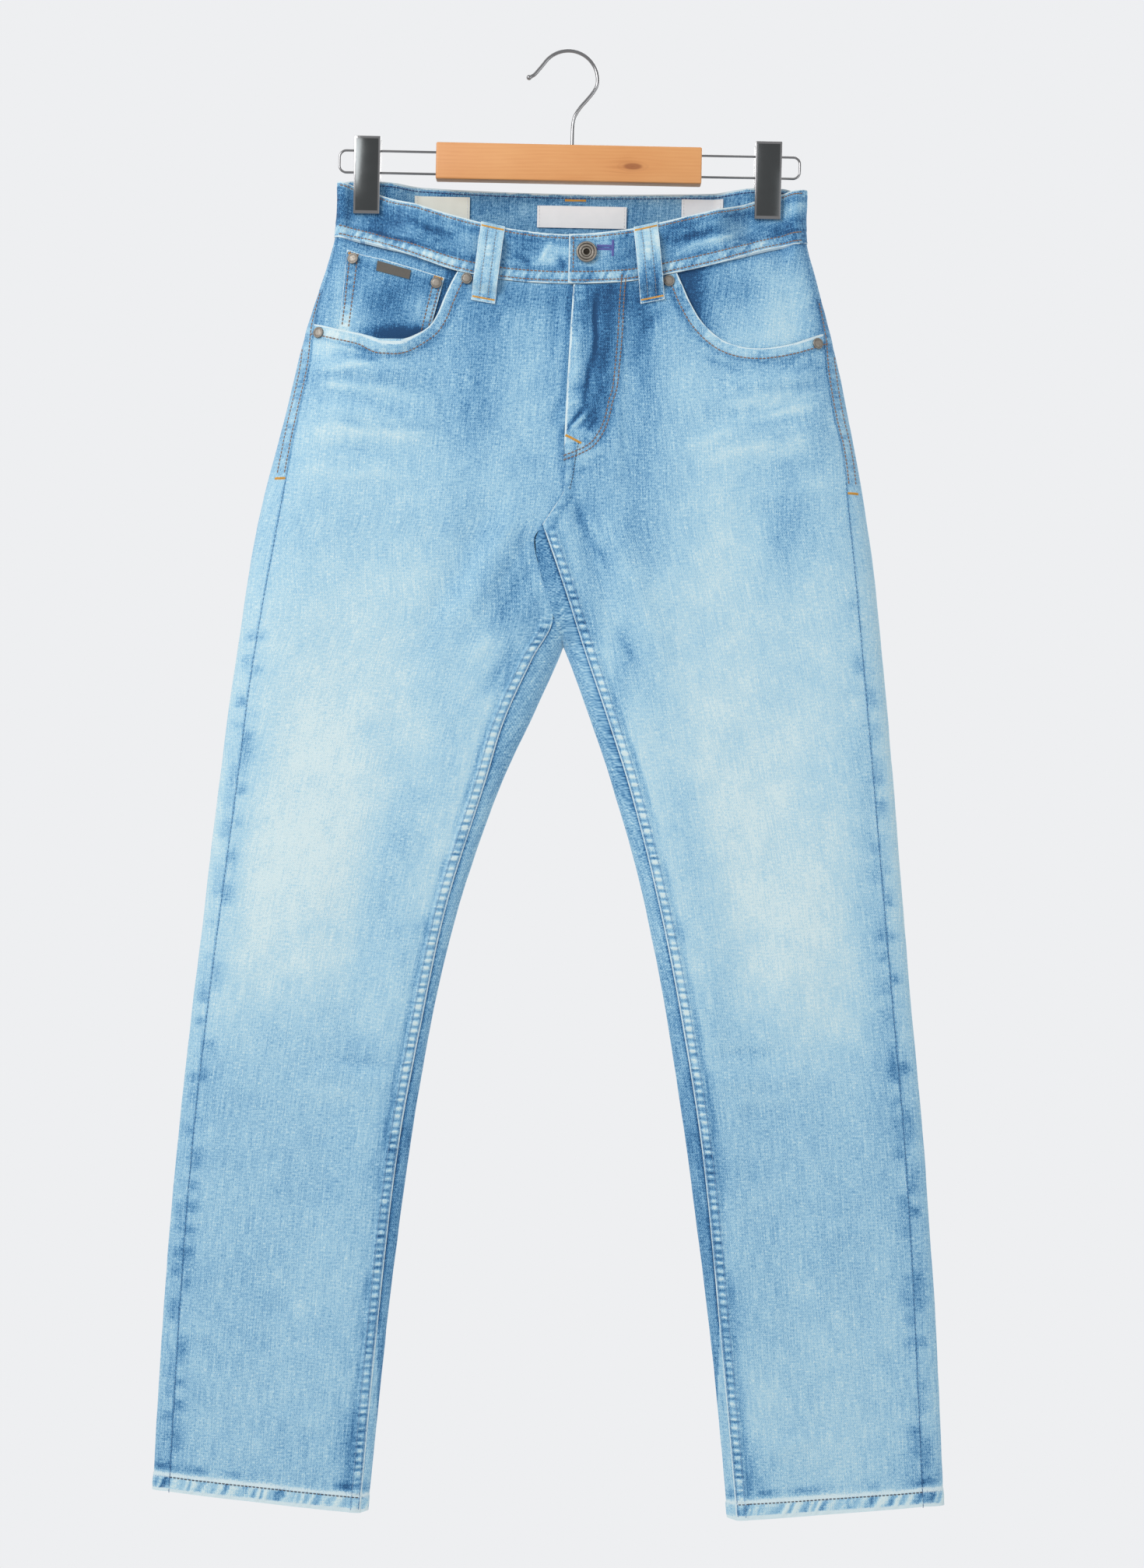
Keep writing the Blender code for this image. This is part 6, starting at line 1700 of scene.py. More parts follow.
down_line = np.linspace(0.03, 0.80, 34)
lines = [on_coin(np.full_like(down_line, row / COIN_WIDTH), down_line) for row in COIN_ROWS["outer"]]
lines += [on_coin(np.full_like(down_line, 1 - row / COIN_WIDTH), down_line) for row in COIN_ROWS["inner"]]
threads = [sew("coin_pocket_topstitch", lines, TOPSTITCH, BROWN_THREAD)]
tacks = [on_coin(np.linspace(0.02, 0.11, 14), np.full(14, 0.035))]
tacks.append(on_coin(np.linspace(0.90, 0.985, 14), np.full(14, 0.03)))
threads.append(sew("coin_pocket_bartacks", tacks, BAR_STITCH, GOLD_THREAD))


def woven(name, colour, contrast, scale):
    """Tape or a label: a fine even weave, with the threads running along and across it."""
    material, start = new_material(name)
    grain = start.add("UVMap", {"uv_map": "grain"})
    settings = {"wave_type": "BANDS", "bands_direction": "X"}
    warp = start.add("TexWave", settings, {"Vector": grain, "Scale": scale}, 1)
    weft = start.add("TexWave", {**settings, "bands_direction": "Y"}, {"Vector": grain, "Scale": scale}, 1)
    weave = warp * weft
    cloud = start.noise(grain, 90.0, 3.0)
    tone = (weave * 0.6 + cloud * 0.6 - 0.1).held()
    dark, light = tuple(c * (1 - contrast) for c in colour), tuple(min(1.0, c * 1.08) for c in colour)
    shown = start.mix(tone, dark, light)
    relief = start.add("Bump", {}, {"Height": weave, "Strength": 0.3, "Distance": 0.0002})
    return finished(material, {"Base Color": shown, "Normal": relief, "Roughness": 0.7})


TAB_WALL = 0.8
across, down = np.meshgrid(np.linspace(0.32, 0.665, 30), np.linspace(0.035, 0.145, 12))
x, drop = coin_place(across, down)
curl = 0.25 * ((across - 0.4925) / 0.1725) ** 4 + 0.1 * ripple(x, 9.0, 103)
lift = COIN_OUT + GAP + TAB_WALL - facing_sink(x, drop, "right") + curl
tab = cloth(
    "woven_tab_cloth", surface(x, drop, FRONT), lift, 0.0, 0.0, (across * COIN_WIDTH, down * COIN_LENGTH),
    TAB_WALL, woven("grey woven tab", srgb(104, 100, 94), 0.35, 900.0),
)
wear(tab, "tab_cloth", "woven_tab")

# Back pockets. Plain patch pockets with straight mouths and pointed feet, double-stitched at the sides
# and foot, with a turned and twice-stitched mouth and a bartack at each top corner.
POCKET_MIDDLE, POCKET_TOP, POCKET_WIDTH, POCKET_HEIGHT, POCKET_POINT = 104.0, 262.0, 140.0, 128.0, 22.0
POCKET_LEAN, POCKET_TILT, POCKET_TAPER = 6.0, 5.0, 0.10
POCKET_ROWS = (1.9, 8.2)
POCKET_MOUTH_ROWS = (2.0, 14.5)


def pocket_place(side, across, down):
    """x and drop on a back pocket: across from -1 to 1, down from its mouth to its foot."""
    sign = SIGN[side]
    reach = POCKET_WIDTH / 2 * (1 - POCKET_TAPER * down)
    x = sign * POCKET_MIDDLE + sign * POCKET_LEAN * down + across * reach
    point = POCKET_POINT * (1 - np.abs(across))
    return x, POCKET_TOP - POCKET_TILT * across * sign + down * (POCKET_HEIGHT + point)


def pocket_edges(across, down):
    """Distance from a back pocket's nearer side or foot, and from its mouth."""
    beside = (1 - np.abs(across)) * POCKET_WIDTH / 2 * (1 - POCKET_TAPER * down)
    length = POCKET_HEIGHT + POCKET_POINT * (1 - np.abs(across))
    return np.minimum(beside, (1 - down) * length * 0.95), down * length


def pocket_out(across, down, x, drop):
    """How far a back pocket stands outside the hung form."""
    edge, mouth = pocket_edges(across, down)
    gather = ripple(x + drop, 4.6, 111)
    out = DENIM + GAP + 0.3 + 0.25 * gather * bump(edge - 5, 4) - 0.35 * bump(edge, 0.9)
    out += 0.3 * (1 - smooth(15.5, 17, mouth)) + 0.15 * gather * bump(mouth - 7, 6) - 0.3 * bump(mouth, 0.9)
    return out - 0.25 * (bump(edge - POCKET_ROWS[0], 0.9) + bump(edge - POCKET_ROWS[1], 0.9))


for side in ("right", "left"):
    across, down = np.meshgrid(
        np.concatenate([[-1.0, -0.99], np.linspace(-0.975, 0.975, 79), [0.99, 1.0]]),
        np.concatenate([[0.0, 0.006, 0.016], np.linspace(0.03, 0.98, 74), [0.99, 1.0]]),
    )
    x, drop = pocket_place(side, across, down)
    edge, mouth = pocket_edges(across, down)
    gather = ripple(x + drop, 4.6, 111)
    pale = wash_and_shade(x, drop, BACK) + 0.03 + 0.14 * gather * bump(edge - 5, 4.5) - 0.10 * bump(edge - 11.5, 2.2)
    pale += 0.10 * gather * bump(mouth - 7, 6) + 0.05 * bump(mouth - 7, 8) - 0.12 * bump(mouth - 18, 3)
    worn = 0.8 * bump(mouth, 1.2) + 0.65 * bump(edge, 1.0)
    patch = cloth(
        f"back_pocket_{side}_cloth", surface(x, drop, BACK), pocket_out(across, down, x, drop), pale, worn,
        (x, drop), gather=(x + drop) / 6.6,
        pucker=0.6 * np.maximum(bump(edge - 5, 3.8), bump(mouth - 8, 5.5)),
    )
    wear(patch, "denim", f"back_pocket_{side}")

    def on_pocket(across, down, side=side):
        x, drop = pocket_place(side, across, down)
        return on_cloth(np.stack([x, drop], -1), BACK, pocket_out(across, down, x, drop))

    lines = []
    for row in POCKET_ROWS:
        foot = 1 - row / (POCKET_HEIGHT * 0.95)
        run = np.linspace(0.01, foot, 60)
        down_line = np.concatenate([run, np.full_like(run, foot), run[::-1]])
        beside = 1 - row / (POCKET_WIDTH / 2 * (1 - POCKET_TAPER * run))
        across_foot = np.linspace(-beside[-1], beside[-1], len(run))
        across_line = np.concatenate([-beside, across_foot, beside[::-1]])
        lines.append(on_pocket(across_line, down_line))
    for row in POCKET_MOUTH_ROWS:
        across_line = np.linspace(-0.985, 0.985, 72)
        lines.append(on_pocket(across_line, row / (POCKET_HEIGHT + POCKET_POINT * (1 - np.abs(across_line)))))
    threads = [sew(f"back_pocket_{side}_topstitch", lines, TOPSTITCH, BROWN_THREAD)]
    tacks = [on_pocket(np.linspace(start, start + 0.12, 18), np.full(18, 0.02)) for start in (-0.98, 0.86)]
    threads.append(sew(f"back_pocket_{side}_bartacks", tacks, BAR_STITCH, GOLD_THREAD))

# Fly shield. The underlap behind the fly, one plain piece with an overcast edge, seen only from inside.
SHIELD_X, SHIELD_DROP = (-6.0, 36.0), (197.0, 322.0)
x, drop = np.meshgrid(np.linspace(*SHIELD_X, 26), np.linspace(*SHIELD_DROP, 60))
shield = cloth(
    "fly_shield_cloth", surface(x, drop, FRONT), -(DENIM + GAP) + 0.12 * ripple(drop, 14.0, 121),
    wash_and_shade(x, drop, FRONT) - 0.05, 0.5 * bump(x - SHIELD_X[1], 1.2), (x, drop),
)
wear(shield, "denim", "fly_shield")

# Belt loops. Five folded strips stand free between two bartacks, each with two rows of stitches along it
# and edges worn pale. The left front one is still deep blue towards its foot.
LOOPS = {
    # name: face, top x, bottom x, how far above the band's edge and below its seam, pale at top and foot
    "belt_loop_front_right": (FRONT, -63.0, -70.0, 0.5, 21.0, 0.82, 0.80),
    "belt_loop_front_left": (FRONT, 61.0, 68.0, 0.5, 20.0, 0.86, 0.36),
    "belt_loop_back_right": (BACK, -108.0, -109.0, 0.5, 18.0, 0.66, 0.52),
    "belt_loop_back_left": (BACK, 102.0, 103.0, 0.5, 18.0, 0.68, 0.50),
    "belt_loop_back_centre": (BACK, 4.0, 4.0, 0.5, 18.0, 0.64, 0.54),
}
LOOP_WIDTH, LOOP_LENGTH, LOOP_WALL, LOOP_ROOM = 19.5, 68.0, 1.8, 4.8
LOOP_ENDS = (0.10, 0.24)  # shares of the length: tacked down to the first, free from the second
LOOP_STEP = (0.83, 0.90)  # where it comes down off the waistband
LOOP_ROWS = (-3.4, 3.4)  # stitches, from its middle
LOOP_TACKS = (0.045, 0.955)


def loop_place(name, share, across):
    """x, drop and face on a belt loop: share of its length, and millimetres from its middle."""
    face, top_x, low_x, above, below = LOOPS[name][:5]
    top_edge, seam = (FRONT_TOP, FRONT_SEAM) if face == FRONT else (BACK_TOP, BACK_SEAM)
    x = top_x + (low_x - top_x) * share + across
    start = top_edge(x) - above
    return x, start + (seam(low_x + across) + below - start) * share, np.full(np.shape(x), face)


def loop_out(name, share, across, x, drop):
    """How far a belt loop's face stands outside the hung form."""
    free = smooth(*LOOP_ENDS, share) * (1 - smooth(1 - LOOP_ENDS[1], 1 - LOOP_ENDS[0], share))
    foot = BAND_PROUD + (0.2 - BAND_PROUD) * smooth(*LOOP_STEP, share)
    out = foot + GAP + LOOP_ROOM * free + LOOP_WALL
    if name == "belt_loop_front_left":
        out += LAP_RISE * (1 - smooth(*LAP_FADE, x))
    for row in LOOP_ROWS:
        out -= 0.22 * bump(across - row, 0.9)
    out += 0.2 * bump(across, 2.6) * (1 + 0.6 * ripple(drop, 4.0, 131))
    out -= 0.35 * bump(LOOP_WIDTH / 2 - np.abs(across), 0.8)
    for tack in LOOP_TACKS:
        out -= 0.4 * bump(share - tack, 0.014)
    return out


share, across = np.meshgrid(
    np.concatenate([[0.0, 0.006, 0.016], np.linspace(0.03, 0.97, 56), [0.984, 0.994, 1.0]]),
    np.concatenate([[-9.75, -9.55, -9.2], np.linspace(-8.7, 8.7, 19), [9.2, 9.55, 9.75]]), indexing="ij",
)
for number, name in enumerate(LOOPS):
    x, drop, face = loop_place(name, share, across)
    top_pale, low_pale = LOOPS[name][5:]
    edge = LOOP_WIDTH / 2 - np.abs(across)
    seed = 132 + number
    pale = top_pale + (low_pale - top_pale) * smooth(0.35, 0.8, share + 0.1 * ripple(across, 7.0, seed))
    # painted shadow at the loop's foot, below the waistband's edge
    pale -= 0.30 * bump(share - 0.93, 0.05) * (0.6 + 0.4 * ripple(across, 5.0, seed + 9))
    pale += 0.11 * mottle(x, drop, (7.0, 12.0), seed) - 0.06 * bump(np.abs(across) - 5.4, 1.2)
    pale += 0.10 * ripple(drop, 4.0, 131) * bump(across, 2.8) + 0.10 * bump(edge - 1.5, 2.0)
    for row in LOOP_ROWS:
        pale -= 0.12 * bump(across - row, 1.1)
    worn = 0.6 * bump(edge, 1.0) + 0.5 * bump(share, 0.012) + 0.6 * bump(1 - share, 0.012)
    strip = cloth(
        name + "_cloth", surface(x, drop, face), loop_out(name, share, across, x, drop), pale, worn,
        (across, share * LOOP_LENGTH), LOOP_WALL, inside=0.6,
        pucker=0.22 * bump(across, 3.0), gather=drop / 6.0,
    )
    wear(strip, "denim", name)

    def on_loop(share, across, name=name):
        x, drop, face = loop_place(name, share, across)
        return on_cloth(np.stack([x, drop], -1), face, loop_out(name, share, across, x, drop))

    run = np.linspace(0.055, 0.945, 44)
    rows = [on_loop(run, np.full_like(run, row)) for row in LOOP_ROWS]
    tacks = [on_loop(np.full(36, tack), np.linspace(-8.8, 8.8, 36)) for tack in LOOP_TACKS]
    threads = [
        sew(name + "_stitches", rows, FINE_STITCH, GREY_THREAD),
        sew(name + "_bartacks", tacks, BAR_STITCH, GOLD_THREAD),
    ]

# Labels. Three bare woven labels are sewn to the inside of the back waistband, where the lowered front
# lets them show. They ripple a little between their stitched ends.
LABELS = {
    # name: middle x, half width, top drop, bottom drop, slot, colour
    "label_centre": (9.0, 37.0, 122.5, 140.5, "label_cloth", (250, 250, 252)),
    "label_right": (-107.5, 23.5, 117.0, 143.0, "cream_label_cloth", (236, 237, 226)),
    "label_left": (109.5, 18.0, 115.0, 141.0, "label_cloth", (248, 249, 252)),
}
LABEL_WALL, LABEL_ROOM = 0.8, 0.55
LABEL_ROW = 1.8  # its stitches, from each end
WHITE_THREAD = thread("white thread", srgb(226, 230, 236))
for number, (name, (middle, half, top, low, slot, colour)) in enumerate(LABELS.items()):
    x, drop = np.meshgrid(np.linspace(middle - half, middle + half, 72), np.linspace(top, low, 26))

    def label_out(x, drop, middle=middle, half=half, number=number):
        inner = 1 - np.abs((x - middle) / half) ** 6
        wave = 0.5 + 0.5 * ripple(x + 0.3 * drop, 11.0, 141 + number)
        return BAND_PROUD - BAND - GAP - LABEL_ROOM - 0.45 * wave * inner

    tape = cloth(
        name + "_cloth", surface(x, drop, BACK), label_out(x, drop), 0.0, 0.0, (x, drop), LABEL_WALL,
        woven(name + " weave", srgb(*colour), 0.10, 1500.0),
    )
    wear(tape, slot, name)
    drops = np.arange(top + 1.0, low - 0.5, 1.5)
    ends = []
    for end in (middle - half + LABEL_ROW, middle + half - LABEL_ROW):
        end_x = np.full(len(drops), end)
        ends.append(on_lining(end_x, drops, label_out(end_x, drops) - LABEL_WALL - 0.1))
    threads = [sew(name + "_stitches", ends, FINE_STITCH, WHITE_THREAD)]


# Button and rivets. Both are turned in antiqued nickel. The button is a ring with a rolled rim round a
# dark eye, and each rivet is a low disc with a rounded edge.
def aged_metal(name, colour, hollow_colour):
    """Antiqued metal: dark where the mesh's recess mark says, and clouded with handling."""
    material, start = new_material(name)
    where = start.add("TexCoord", output=3)
    recess = start.add("Attribute", {"attribute_name": "recess"}, output=2)
    cloud = start.noise(where, 700.0, 3.0)
    grit = start.noise(where, 3200.0, 2.0)
    shown = start.mix((recess + (cloud - 0.5) * 0.7).held(), colour, hollow_colour)
    height = cloud * 0.6 + grit * 0.4
    pitting = start.add("Bump", {}, {"Height": height, "Strength": 0.25, "Distance": 0.0002})
    return finished(material, {
        "Base Color": shown, "Roughness": cloud * 0.3 + 0.40, "Normal": pitting, "Metallic": 1.0,
    })


def solid(name, places, faces, sharp, finish):
    """A closed object from places in metres and faces of any size, turned outwards. Edges bent by more
    than sharp degrees stay crisp."""
    mesh = bpy.data.meshes.new(name)
    mesh.from_pydata(places.tolist(), [], faces)
    shape = bmesh.new()
    shape.from_mesh(mesh)
    bmesh.ops.recalc_face_normals(shape, faces=shape.faces)
    shape.to_mesh(mesh)
    shape.free()
    mesh.shade_smooth()
    mesh.set_sharp_from_angle(angle=math.radians(sharp))
    mesh.materials.append(finish)
    return show(name, mesh)


def turned(name, x, drop, base, profile, sides, finish):
    """A turned piece on the front: profile holds (radius, height, recess) from its foot to its crown."""
    points, outward = surface(np.array([x]), np.array([drop]), np.array([FRONT]))
    axis = Vector(outward[0])
    first = axis.cross(Vector((0, 0, 1))).normalized()
    second = axis.cross(first)
    turn = np.linspace(0, 2 * np.pi, sides, endpoint=False)
    ring = np.cos(turn)[:, None] * np.array(first) + np.sin(turn)[:, None] * np.array(second)
    profile = np.array(profile, float)
    centre = points[0] + np.array(axis) * base
    body = profile[1:-1]
    rings = centre + body[:, None, 1:2] * np.array(axis) + body[:, None, 0:1] * ring
    hubs = centre + profile[[0, -1], 1][:, None] * np.array(axis)
    places = np.concatenate([rings.reshape(-1, 3), hubs]) * MM
    here = np.arange(len(body) * sides).reshape(len(body), sides)
    beside = np.roll(here, -1, axis=1)
    quads = np.stack([here[:-1], beside[:-1], beside[1:], here[1:]], -1).reshape(-1, 4)
    foot, crown = len(places) - 2, len(places) - 1
    triangles = np.concatenate([
        np.stack([beside[0], here[0], np.full(sides, foot)], -1),
        np.stack([here[-1], beside[-1], np.full(sides, crown)], -1),
    ])
    obj = solid(name, places, quads.tolist() + triangles.tolist(), 50, finish)
    marks = np.concatenate([np.repeat(body[:, 2], sides), profile[[0, -1], 2]])
    recess = obj.data.attributes.new("recess", "FLOAT", "POINT")
    recess.data.foreach_set("value", marks.astype(np.float32))
    return wear(obj, "aged_steel")


RIVET_ROOM = 0.9
RIVET = [
    (0, 0, 0.5), (4.2, 0, 0.5), (4.5, 0.25, 0.6), (4.58, 0.6, 0.3), (4.5, 0.95, 0.1), (4.2, 1.22, 0.0),
    (3.85, 1.3, 0.05), (3.6, 1.2, 0.55), (3.35, 1.2, 0.5), (3.1, 1.34, 0.15), (2.0, 1.45, 0.05),
    (0, 1.5, 0.0),
]
RIVETS = {
    # name: x, drop, and what it sits on
    "rivet_coin_outer": (-177.5, 175.5, "coin"),
    "rivet_coin_inner": (-108.5, 195.0, "coin"),
    "rivet_right_top": (-83.5, 191.5, "front"),
    "rivet_right_side": (-204.0, 236.5, "front"),
    "rivet_left_top": (81.0, 190.0, "front"),
    "rivet_left_side": (203.5, 237.5, "front"),
}
BUTTON = [
    (0, 0, 0.8), (3.2, 0, 0.8), (3.2, 1.0, 0.8), (7.3, 1.1, 0.8), (8.1, 1.4, 0.5), (8.45, 1.9, 0.2),
    (8.5, 2.4, 0.0), (8.35, 2.95, 0.0), (7.95, 3.35, 0.0), (7.4, 3.5, 0.0), (6.95, 3.4, 0.15),
    (6.75, 3.1, 0.75), (6.4, 3.0, 0.85), (6.1, 3.05, 0.5), (5.85, 3.3, 0.1), (5.3, 3.45, 0.0),
    (4.8, 3.4, 0.05), (4.45, 3.1, 0.4),
    (4.2, 2.75, 0.8), (3.8, 2.65, 0.7), (3.4, 2.85, 0.2), (3.0, 2.9, 0.1), (2.6, 2.75, 0.3), (2.35, 2.3, 0.9),
    (2.2, 1.6, 1.0), (1.6, 1.5, 1.0), (0, 1.5, 1.0),
]
BUTTON_AT = (13.5, 168.8)
AGED_NICKEL = aged_metal("aged nickel", srgb(158, 152, 144), srgb(52, 47, 42))
for name, (x, drop, seat) in RIVETS.items():
    base = GAP + 0.5
    if seat == "coin":
        base = COIN_OUT + RIVET_ROOM - float(facing_sink(x, drop, "right"))
    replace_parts(turned(name + "_turned", x, drop, base, RIVET, 56, AGED_NICKEL), name)
button = turned("waist_button_turned", *BUTTON_AT, BAND_PROUD + LAP_RISE + GAP, BUTTON, 96, AGED_NICKEL)
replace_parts(button, "waist_button")

# Hanger. A planed and lacquered pine bar carries the hook in a socket in its top, and two long wire
# loops in sockets in its ends. A pressed clip slides on each loop.
BAR_LEFT, BAR_RIGHT, BAR_TOP, BAR_LOW, BAR_DEPTH = -111.5, 106.5, 77.0, 107.0, 15.0
BAR_ROUND = 1.3
SOCKET_DEPTH, SOCKET_ROOM = 16.0, 0.3
HOOK_RADIUS, BALL_RADIUS = 1.5, 2.2
WIRE_RADIUS = 1.0
WIRES = {"right": (-192.0, 84.0, 102.0), "left": (188.5, 82.5, 100.0)}
WIRE_CORNER = 5.5
CROWN = (-4.3, 22.6, 24.1)  # the crown's middle x and drop, and its radius at the wire's middle
KNOT = (50.0, 94.0)


def pine(name):
    """Lacquered pine: grain along the bar that parts round one small knot, and pores."""
    material, start = new_material(name)
    where = start.add("TexCoord", output=3)
    x, y, z = (start.add("SeparateXYZ", {}, {0: where}, axis) for axis in range(3))
    across = (x - (KNOT[0] + STEM_X) * MM) * (1 / 0.0105)
    up = (z + KNOT[1] * MM) * (1 / 0.0036)
    from_knot = (across * across + up * up) ** 0.5
    near = (3.4 - from_knot).held(0.0, 3.4) * (1 / 3.4)
    parted = z - near * near * up * 0.0030
    grain_place = start.add("CombineXYZ", {}, {0: x, 1: y, 2: parted})
    sway = start.noise(grain_place, 14.0, 2.0, (0.35, 1.0, 1.0))
    bands = start.add("TexWave", {"wave_type": "BANDS", "bands_direction": "Z"}, {
        "Vector": start.add("CombineXYZ", {}, {0: x * 0.12, 1: y * 0.6, 2: parted + sway * 0.012}),
        "Scale": 105.0, "Distortion": 1.6, "Detail": 2.0, "Detail Scale": 1.4,
    }, 1)
    fibre = start.noise(grain_place, 60.0, 4.0, (0.6, 9.0, 22.0))
    cloud = start.noise(grain_place, 22.0, 3.0, (0.6, 1.0, 1.0))
    tone = (bands * 0.09 + fibre * 0.36 + cloud * 0.62 - near * near * 0.22 - 0.02).held()
    planed = start.add("ValToRGB", {"stops": [
        (0.0, srgb(196, 126, 70)), (0.4, srgb(222, 154, 94)), (0.75, srgb(232, 170, 110)),
        (1.0, srgb(240, 190, 136)),
    ]}, {"Fac": tone})
    ring = start.maths("SINE", from_knot * 9.0) * 0.16
    core = start.add("MapRange", {"interpolation_type": "SMOOTHSTEP"}, {
        "Value": from_knot + ring, "From Min": 0.15, "From Max": 1.25, "To Min": 0.80, "To Max": 0.0,
    })
    shown = start.mix(core, planed, srgb(150, 84, 44))
    pores = start.add("Bump", {}, {"Height": fibre, "Strength": 0.18, "Distance": 0.0003})
    return finished(material, {
        "Base Color": shown, "Normal": pores, "Roughness": 0.42, "Coat Weight": 0.2, "Coat Roughness": 0.3,
    })


def polished(name, colour, rough):
    """Plated metal with faint smears."""
    material, start = new_material(name)
    where = start.add("TexCoord", output=3)
    smear = start.noise(where, 140.0, 3.0)
    return finished(material, {
        "Roughness": smear * 0.12 + rough, "Base Color": (*colour, 1.0), "Metallic": 1.0,
    })


def carved(obj, cutter=None, round_over=0.0, segments=4):
    """The object's mesh with rounded edges, and then with the cutter's shape taken away."""
    if round_over:
        bevel = obj.modifiers.new("rounded", "BEVEL")
        bevel.width, bevel.segments, bevel.limit_method = round_over * MM, segments, "ANGLE"
        bevel.angle_limit = math.radians(25)
    if cutter:
        cut = obj.modifiers.new("cut", "BOOLEAN")
        cut.operation, cut.solver, cut.object = "DIFFERENCE", "EXACT", cutter
    applied(obj).data.shade_smooth()
    obj.data.set_sharp_from_angle(angle=math.radians(32))
    if cutter:
        bpy.data.objects.remove(cutter)
    return obj


def prism(name, outline, low_x, high_x, finish):
    """An outline of (y, drop) drawn out along x, with its faces outwards."""
    mesh = bpy.data.meshes.new(name)
    shape = bmesh.new()
    rings = [
        [shape.verts.new(((x + STEM_X) * MM, y * MM, -drop * MM)) for y, drop in outline]
        for x in (low_x, high_x)
    ]
    shape.faces.new(rings[0])
    shape.faces.new(rings[1][::-1])
    for n in range(len(outline)):
        m = (n + 1) % len(outline)
        shape.faces.new([rings[0][m], rings[0][n], rings[1][n], rings[1][m]])
    bmesh.ops.recalc_face_normals(shape, faces=shape.faces)
    shape.to_mesh(mesh)
    shape.free()
    mesh.materials.append(finish)
    return show(name, mesh)


def sockets():
    """A cutter with a round hole for the hook's stem and two in each end for the wires."""
    shape = bmesh.new()
    holes = [((0.0, BAR_TOP + SOCKET_DEPTH / 2 - 1), "Z", HOOK_RADIUS)]
    for side, (_, upper, lower) in WIRES.items():
        end = BAR_RIGHT if side == "left" else BAR_LEFT
        middle = end - SIGN[side] * (SOCKET_DEPTH / 2 - 1)
        holes += [((middle, upper), "X", WIRE_RADIUS), ((middle, lower), "X", WIRE_RADIUS)]
    for (x, drop), way, radius in holes:
        turn = Matrix.Rotation(math.pi / 2, 4, "Y") if way == "X" else Matrix.Identity(4)
        bmesh.ops.create_cone(
            shape, cap_ends=True, segments=32, depth=(SOCKET_DEPTH + 2) * MM,
            radius1=(radius + SOCKET_ROOM) * MM, radius2=(radius + SOCKET_ROOM) * MM,
            matrix=Matrix.Translation(Vector((x + STEM_X, 0.0, -drop)) * MM) @ turn,
        )
    bmesh.ops.recalc_face_normals(shape, faces=shape.faces)
    mesh = bpy.data.meshes.new("sockets")
    shape.to_mesh(mesh)
    shape.free()
    return show("sockets", mesh)


half = BAR_DEPTH / 2
bar = prism(
    "hanger_bar_planed", [(-half, BAR_TOP), (half, BAR_TOP), (half, BAR_LOW), (-half, BAR_LOW)],
    BAR_LEFT, BAR_RIGHT, pine("lacquered pine"),
)
wear(carved(bar, sockets(), BAR_ROUND), "pine", "hanger_bar")


def rod(name, line, radii, finish, node):
    """A round rod along a line of (x, drop) in the hanger's plane."""
    line, sides = np.asarray(line, float), 28
    radii = np.broadcast_to(radii, len(line))
    ahead = np.gradient(line, axis=0)
    ahead /= np.linalg.norm(ahead, axis=1, keepdims=True)
    beside = np.stack([ahead[:, 1], np.zeros(len(line)), ahead[:, 0]], -1)
    turn = np.linspace(0, 2 * np.pi, sides, endpoint=False)
    spots = np.stack([line[:, 0] + STEM_X, np.zeros(len(line)), -line[:, 1]], -1)
    ring = beside[:, None] * np.cos(turn)[:, None] + np.array([0.0, 1.0, 0.0]) * np.sin(turn)[:, None]
    places = (spots[:, None] + ring * radii[:, None, None]).reshape(-1, 3) * MM
    here = np.arange(len(line) * sides).reshape(len(line), sides)
    beyond = np.roll(here, -1, axis=1)
    quads = np.stack([here[:-1], beyond[:-1], beyond[1:], here[1:]], -1).reshape(-1, 4).tolist()
    caps = [here[0].tolist(), here[-1][::-1].tolist()]
    return wear(solid(name, places, quads + caps, 60, finish), "chrome", node)


CHROME = polished("chrome", (0.33, 0.33, 0.34), 0.05)
crown_x, crown_drop, crown_radius = CROWN
stem = [(0.0, BAR_TOP + SOCKET_DEPTH - 2), (0.0, BAR_TOP), (0.0, 68.0), (0.2, 60.0), (1.6, 52.5)]
neck = [(6.0, 45.0), (11.5, 38.5), (16.4, 32.2)]
turn = np.radians(np.linspace(-8, 146, 30))
crown = [(crown_x + crown_radius * np.cos(a), crown_drop - crown_radius * np.sin(a)) for a in turn]
line = along(stem + neck + crown + [(-29.0, 15.0), (-32.4, 18.8), (-34.6, 20.2)], 1.2)
radii = [HOOK_RADIUS] * len(line)
ball = np.array([-36.6, 21.1])
way = (ball - line[-1]) / np.linalg.norm(ball - line[-1])
line = list(line)
for share in (-0.7, -0.6, -0.45, -0.25, 0.0, 0.25, 0.45, 0.62, 0.77, 0.89, 0.96, 0.995):
    line.append(ball + way * BALL_RADIUS * share)
    radii.append(BALL_RADIUS * math.sqrt(1 - share ** 2))
rod("hook_drawn", line, np.array(radii), CHROME, "hook")
for side in ("right", "left"):
    sign, (far, upper, lower) = SIGN[side], WIRES[side]
    end = BAR_RIGHT if side == "left" else BAR_LEFT
    inside, far = end - sign * (SOCKET_DEPTH - 2), far - sign * WIRE_RADIUS
    quarter = np.radians(np.linspace(0, 90, 13))
    out_along, down_along = WIRE_CORNER * (1 - np.sin(quarter)), WIRE_CORNER * (1 - np.cos(quarter))
    line = [(x, upper) for x in np.linspace(inside, far - sign * WIRE_CORNER, 24)[:-1]]
    line += list(zip(far - sign * out_along, upper + down_along))
    line += list(zip(far - sign * down_along, lower - out_along))
    line += [(x, lower) for x in np.linspace(far - sign * WIRE_CORNER, inside, 24)[1:]]
    rod(f"wire_{side}_drawn", line, WIRE_RADIUS, CHROME, f"wire_{side}")


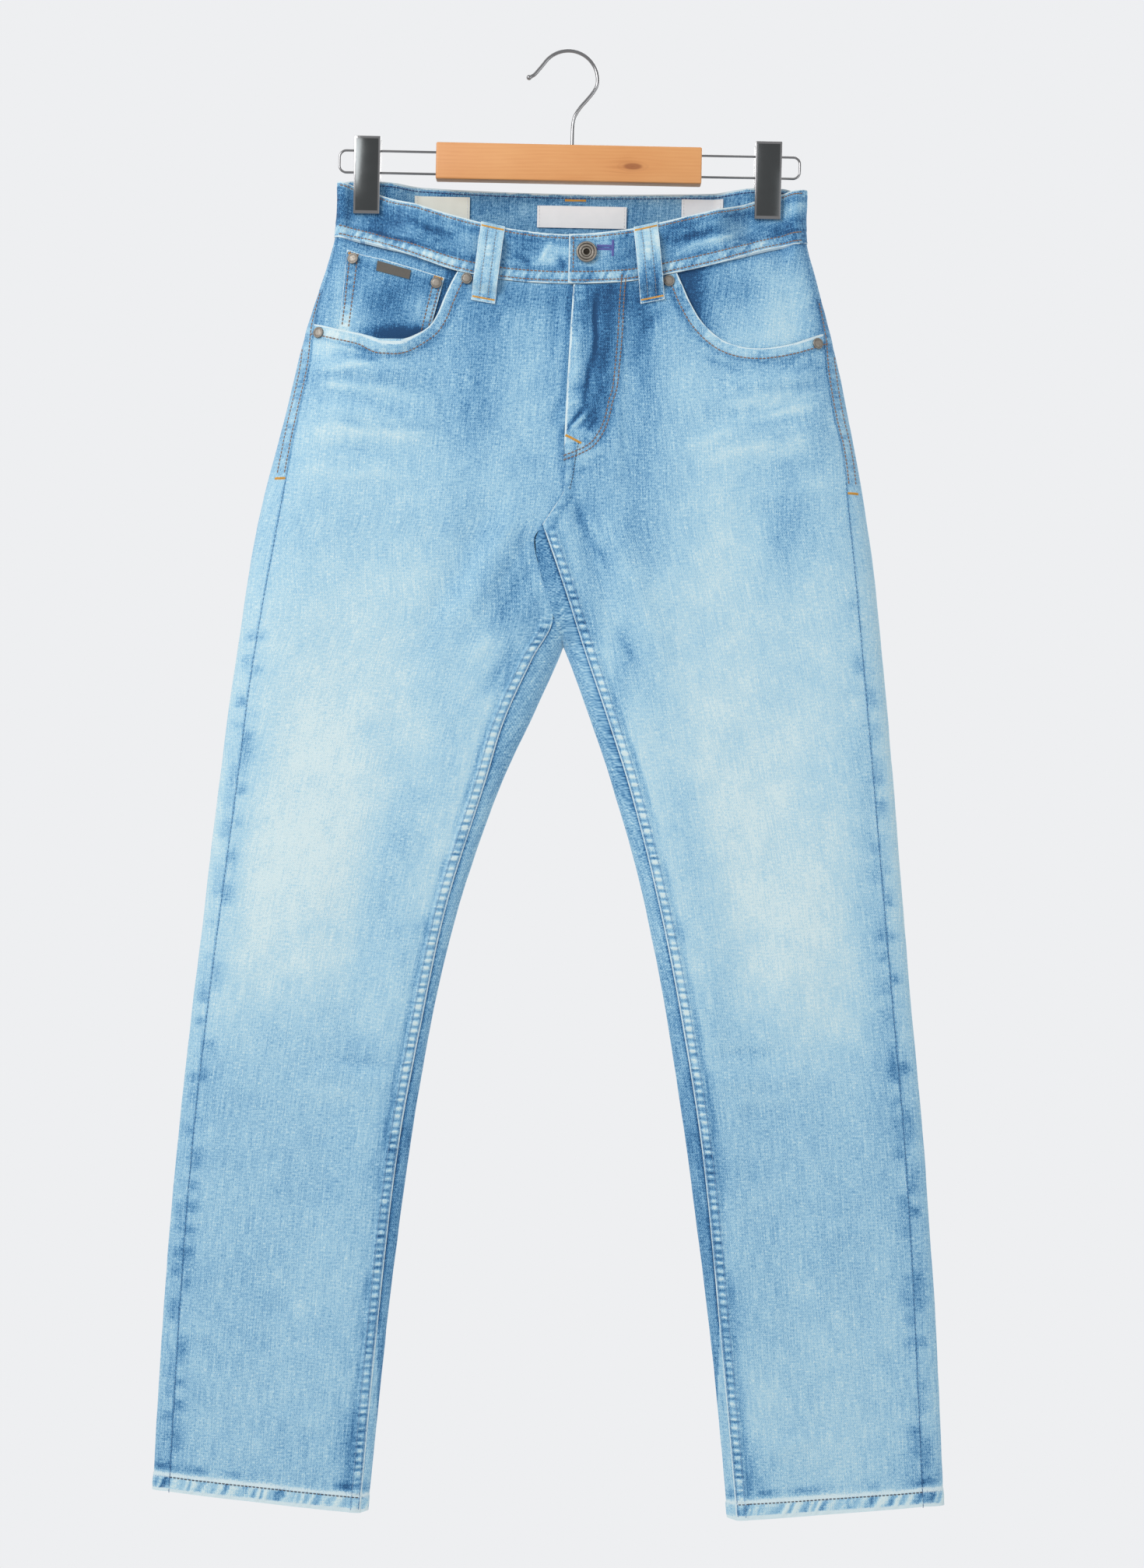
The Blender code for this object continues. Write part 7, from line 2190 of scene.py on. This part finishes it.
JAW_SKIN = 1.2
JAW_TOP_OUT, JAW_LOW_OUT = 11.0, 7.4  # how far the jaw's face stands from the middle plane
JAW_GRIP = PINCHED_HALF + BAND_PROUD + GAP  # where it meets the cloth
JAW_NEAR = WIRE_RADIUS + GAP  # where it meets the wires
JAW_CLOTH, JAW_BEND, JAW_BEND_OUT, JAW_LIP = 107.2, 7.0, 4.5, 1.6
PLATE_INSET = (1.6, 2.0, 2.6)  # the dark plate, from the jaw's sides, top and foot
PLATE_PROUD, PLATE_SUNK = 0.12, 0.3  # it stands this far out, and is let in this deep
# The clips' plates are mirrors: their dark colour is a painted reflection of the dim room before them.
PAINTED_DARK_REFLECTION = polished("mirror with painted dark reflection", (0.105, 0.112, 0.115), 0.16)
for side, (middle, top, low) in CLIPS.items():
    for where, face in (("front", -1.0), ("back", 1.0)):
        outline = [
            (JAW_TOP_OUT, top), (JAW_LOW_OUT, low), (JAW_GRIP, low), (JAW_GRIP, JAW_CLOTH + 1.2),
            (JAW_NEAR, JAW_CLOTH - 0.8), (JAW_NEAR, top + JAW_BEND), (JAW_BEND_OUT, top),
        ]
        hollow = [
            (JAW_TOP_OUT - JAW_SKIN, top + JAW_SKIN), (JAW_LOW_OUT - JAW_SKIN, low - JAW_LIP),
            (GAP, low - JAW_LIP), (GAP, top + JAW_SKIN),
        ]
        half = CLIP_WIDTH / 2
        name = f"clip_{side}_{where}"
        outline = [(face * y, d) for y, d in outline]
        jaw = prism(name + "_pressed", outline, middle - half, middle + half, CHROME)
        inner = half - JAW_SKIN
        cutter = prism("hollow", [(face * y, d) for y, d in hollow], middle - inner, middle + inner, CHROME)
        wear(carved(jaw, cutter, 0.45, 3), "chrome", name)
        inset_side, inset_top, inset_low = PLATE_INSET
        lean = (JAW_LOW_OUT - JAW_TOP_OUT) / (low - top)
        head, foot = top + inset_top, low - inset_low
        plate = [
            (face * (JAW_TOP_OUT + lean * (d - top) + lift), d)
            for d, lift in (
                (head, PLATE_PROUD), (foot, PLATE_PROUD), (foot, -PLATE_SUNK), (head, -PLATE_SUNK),
            )
        ]
        plate = prism(name + "_plate", plate, middle - half + inset_side, middle + half - inset_side, PAINTED_DARK_REFLECTION)
        wear(carved(plate, None, 0.1, 2), None)
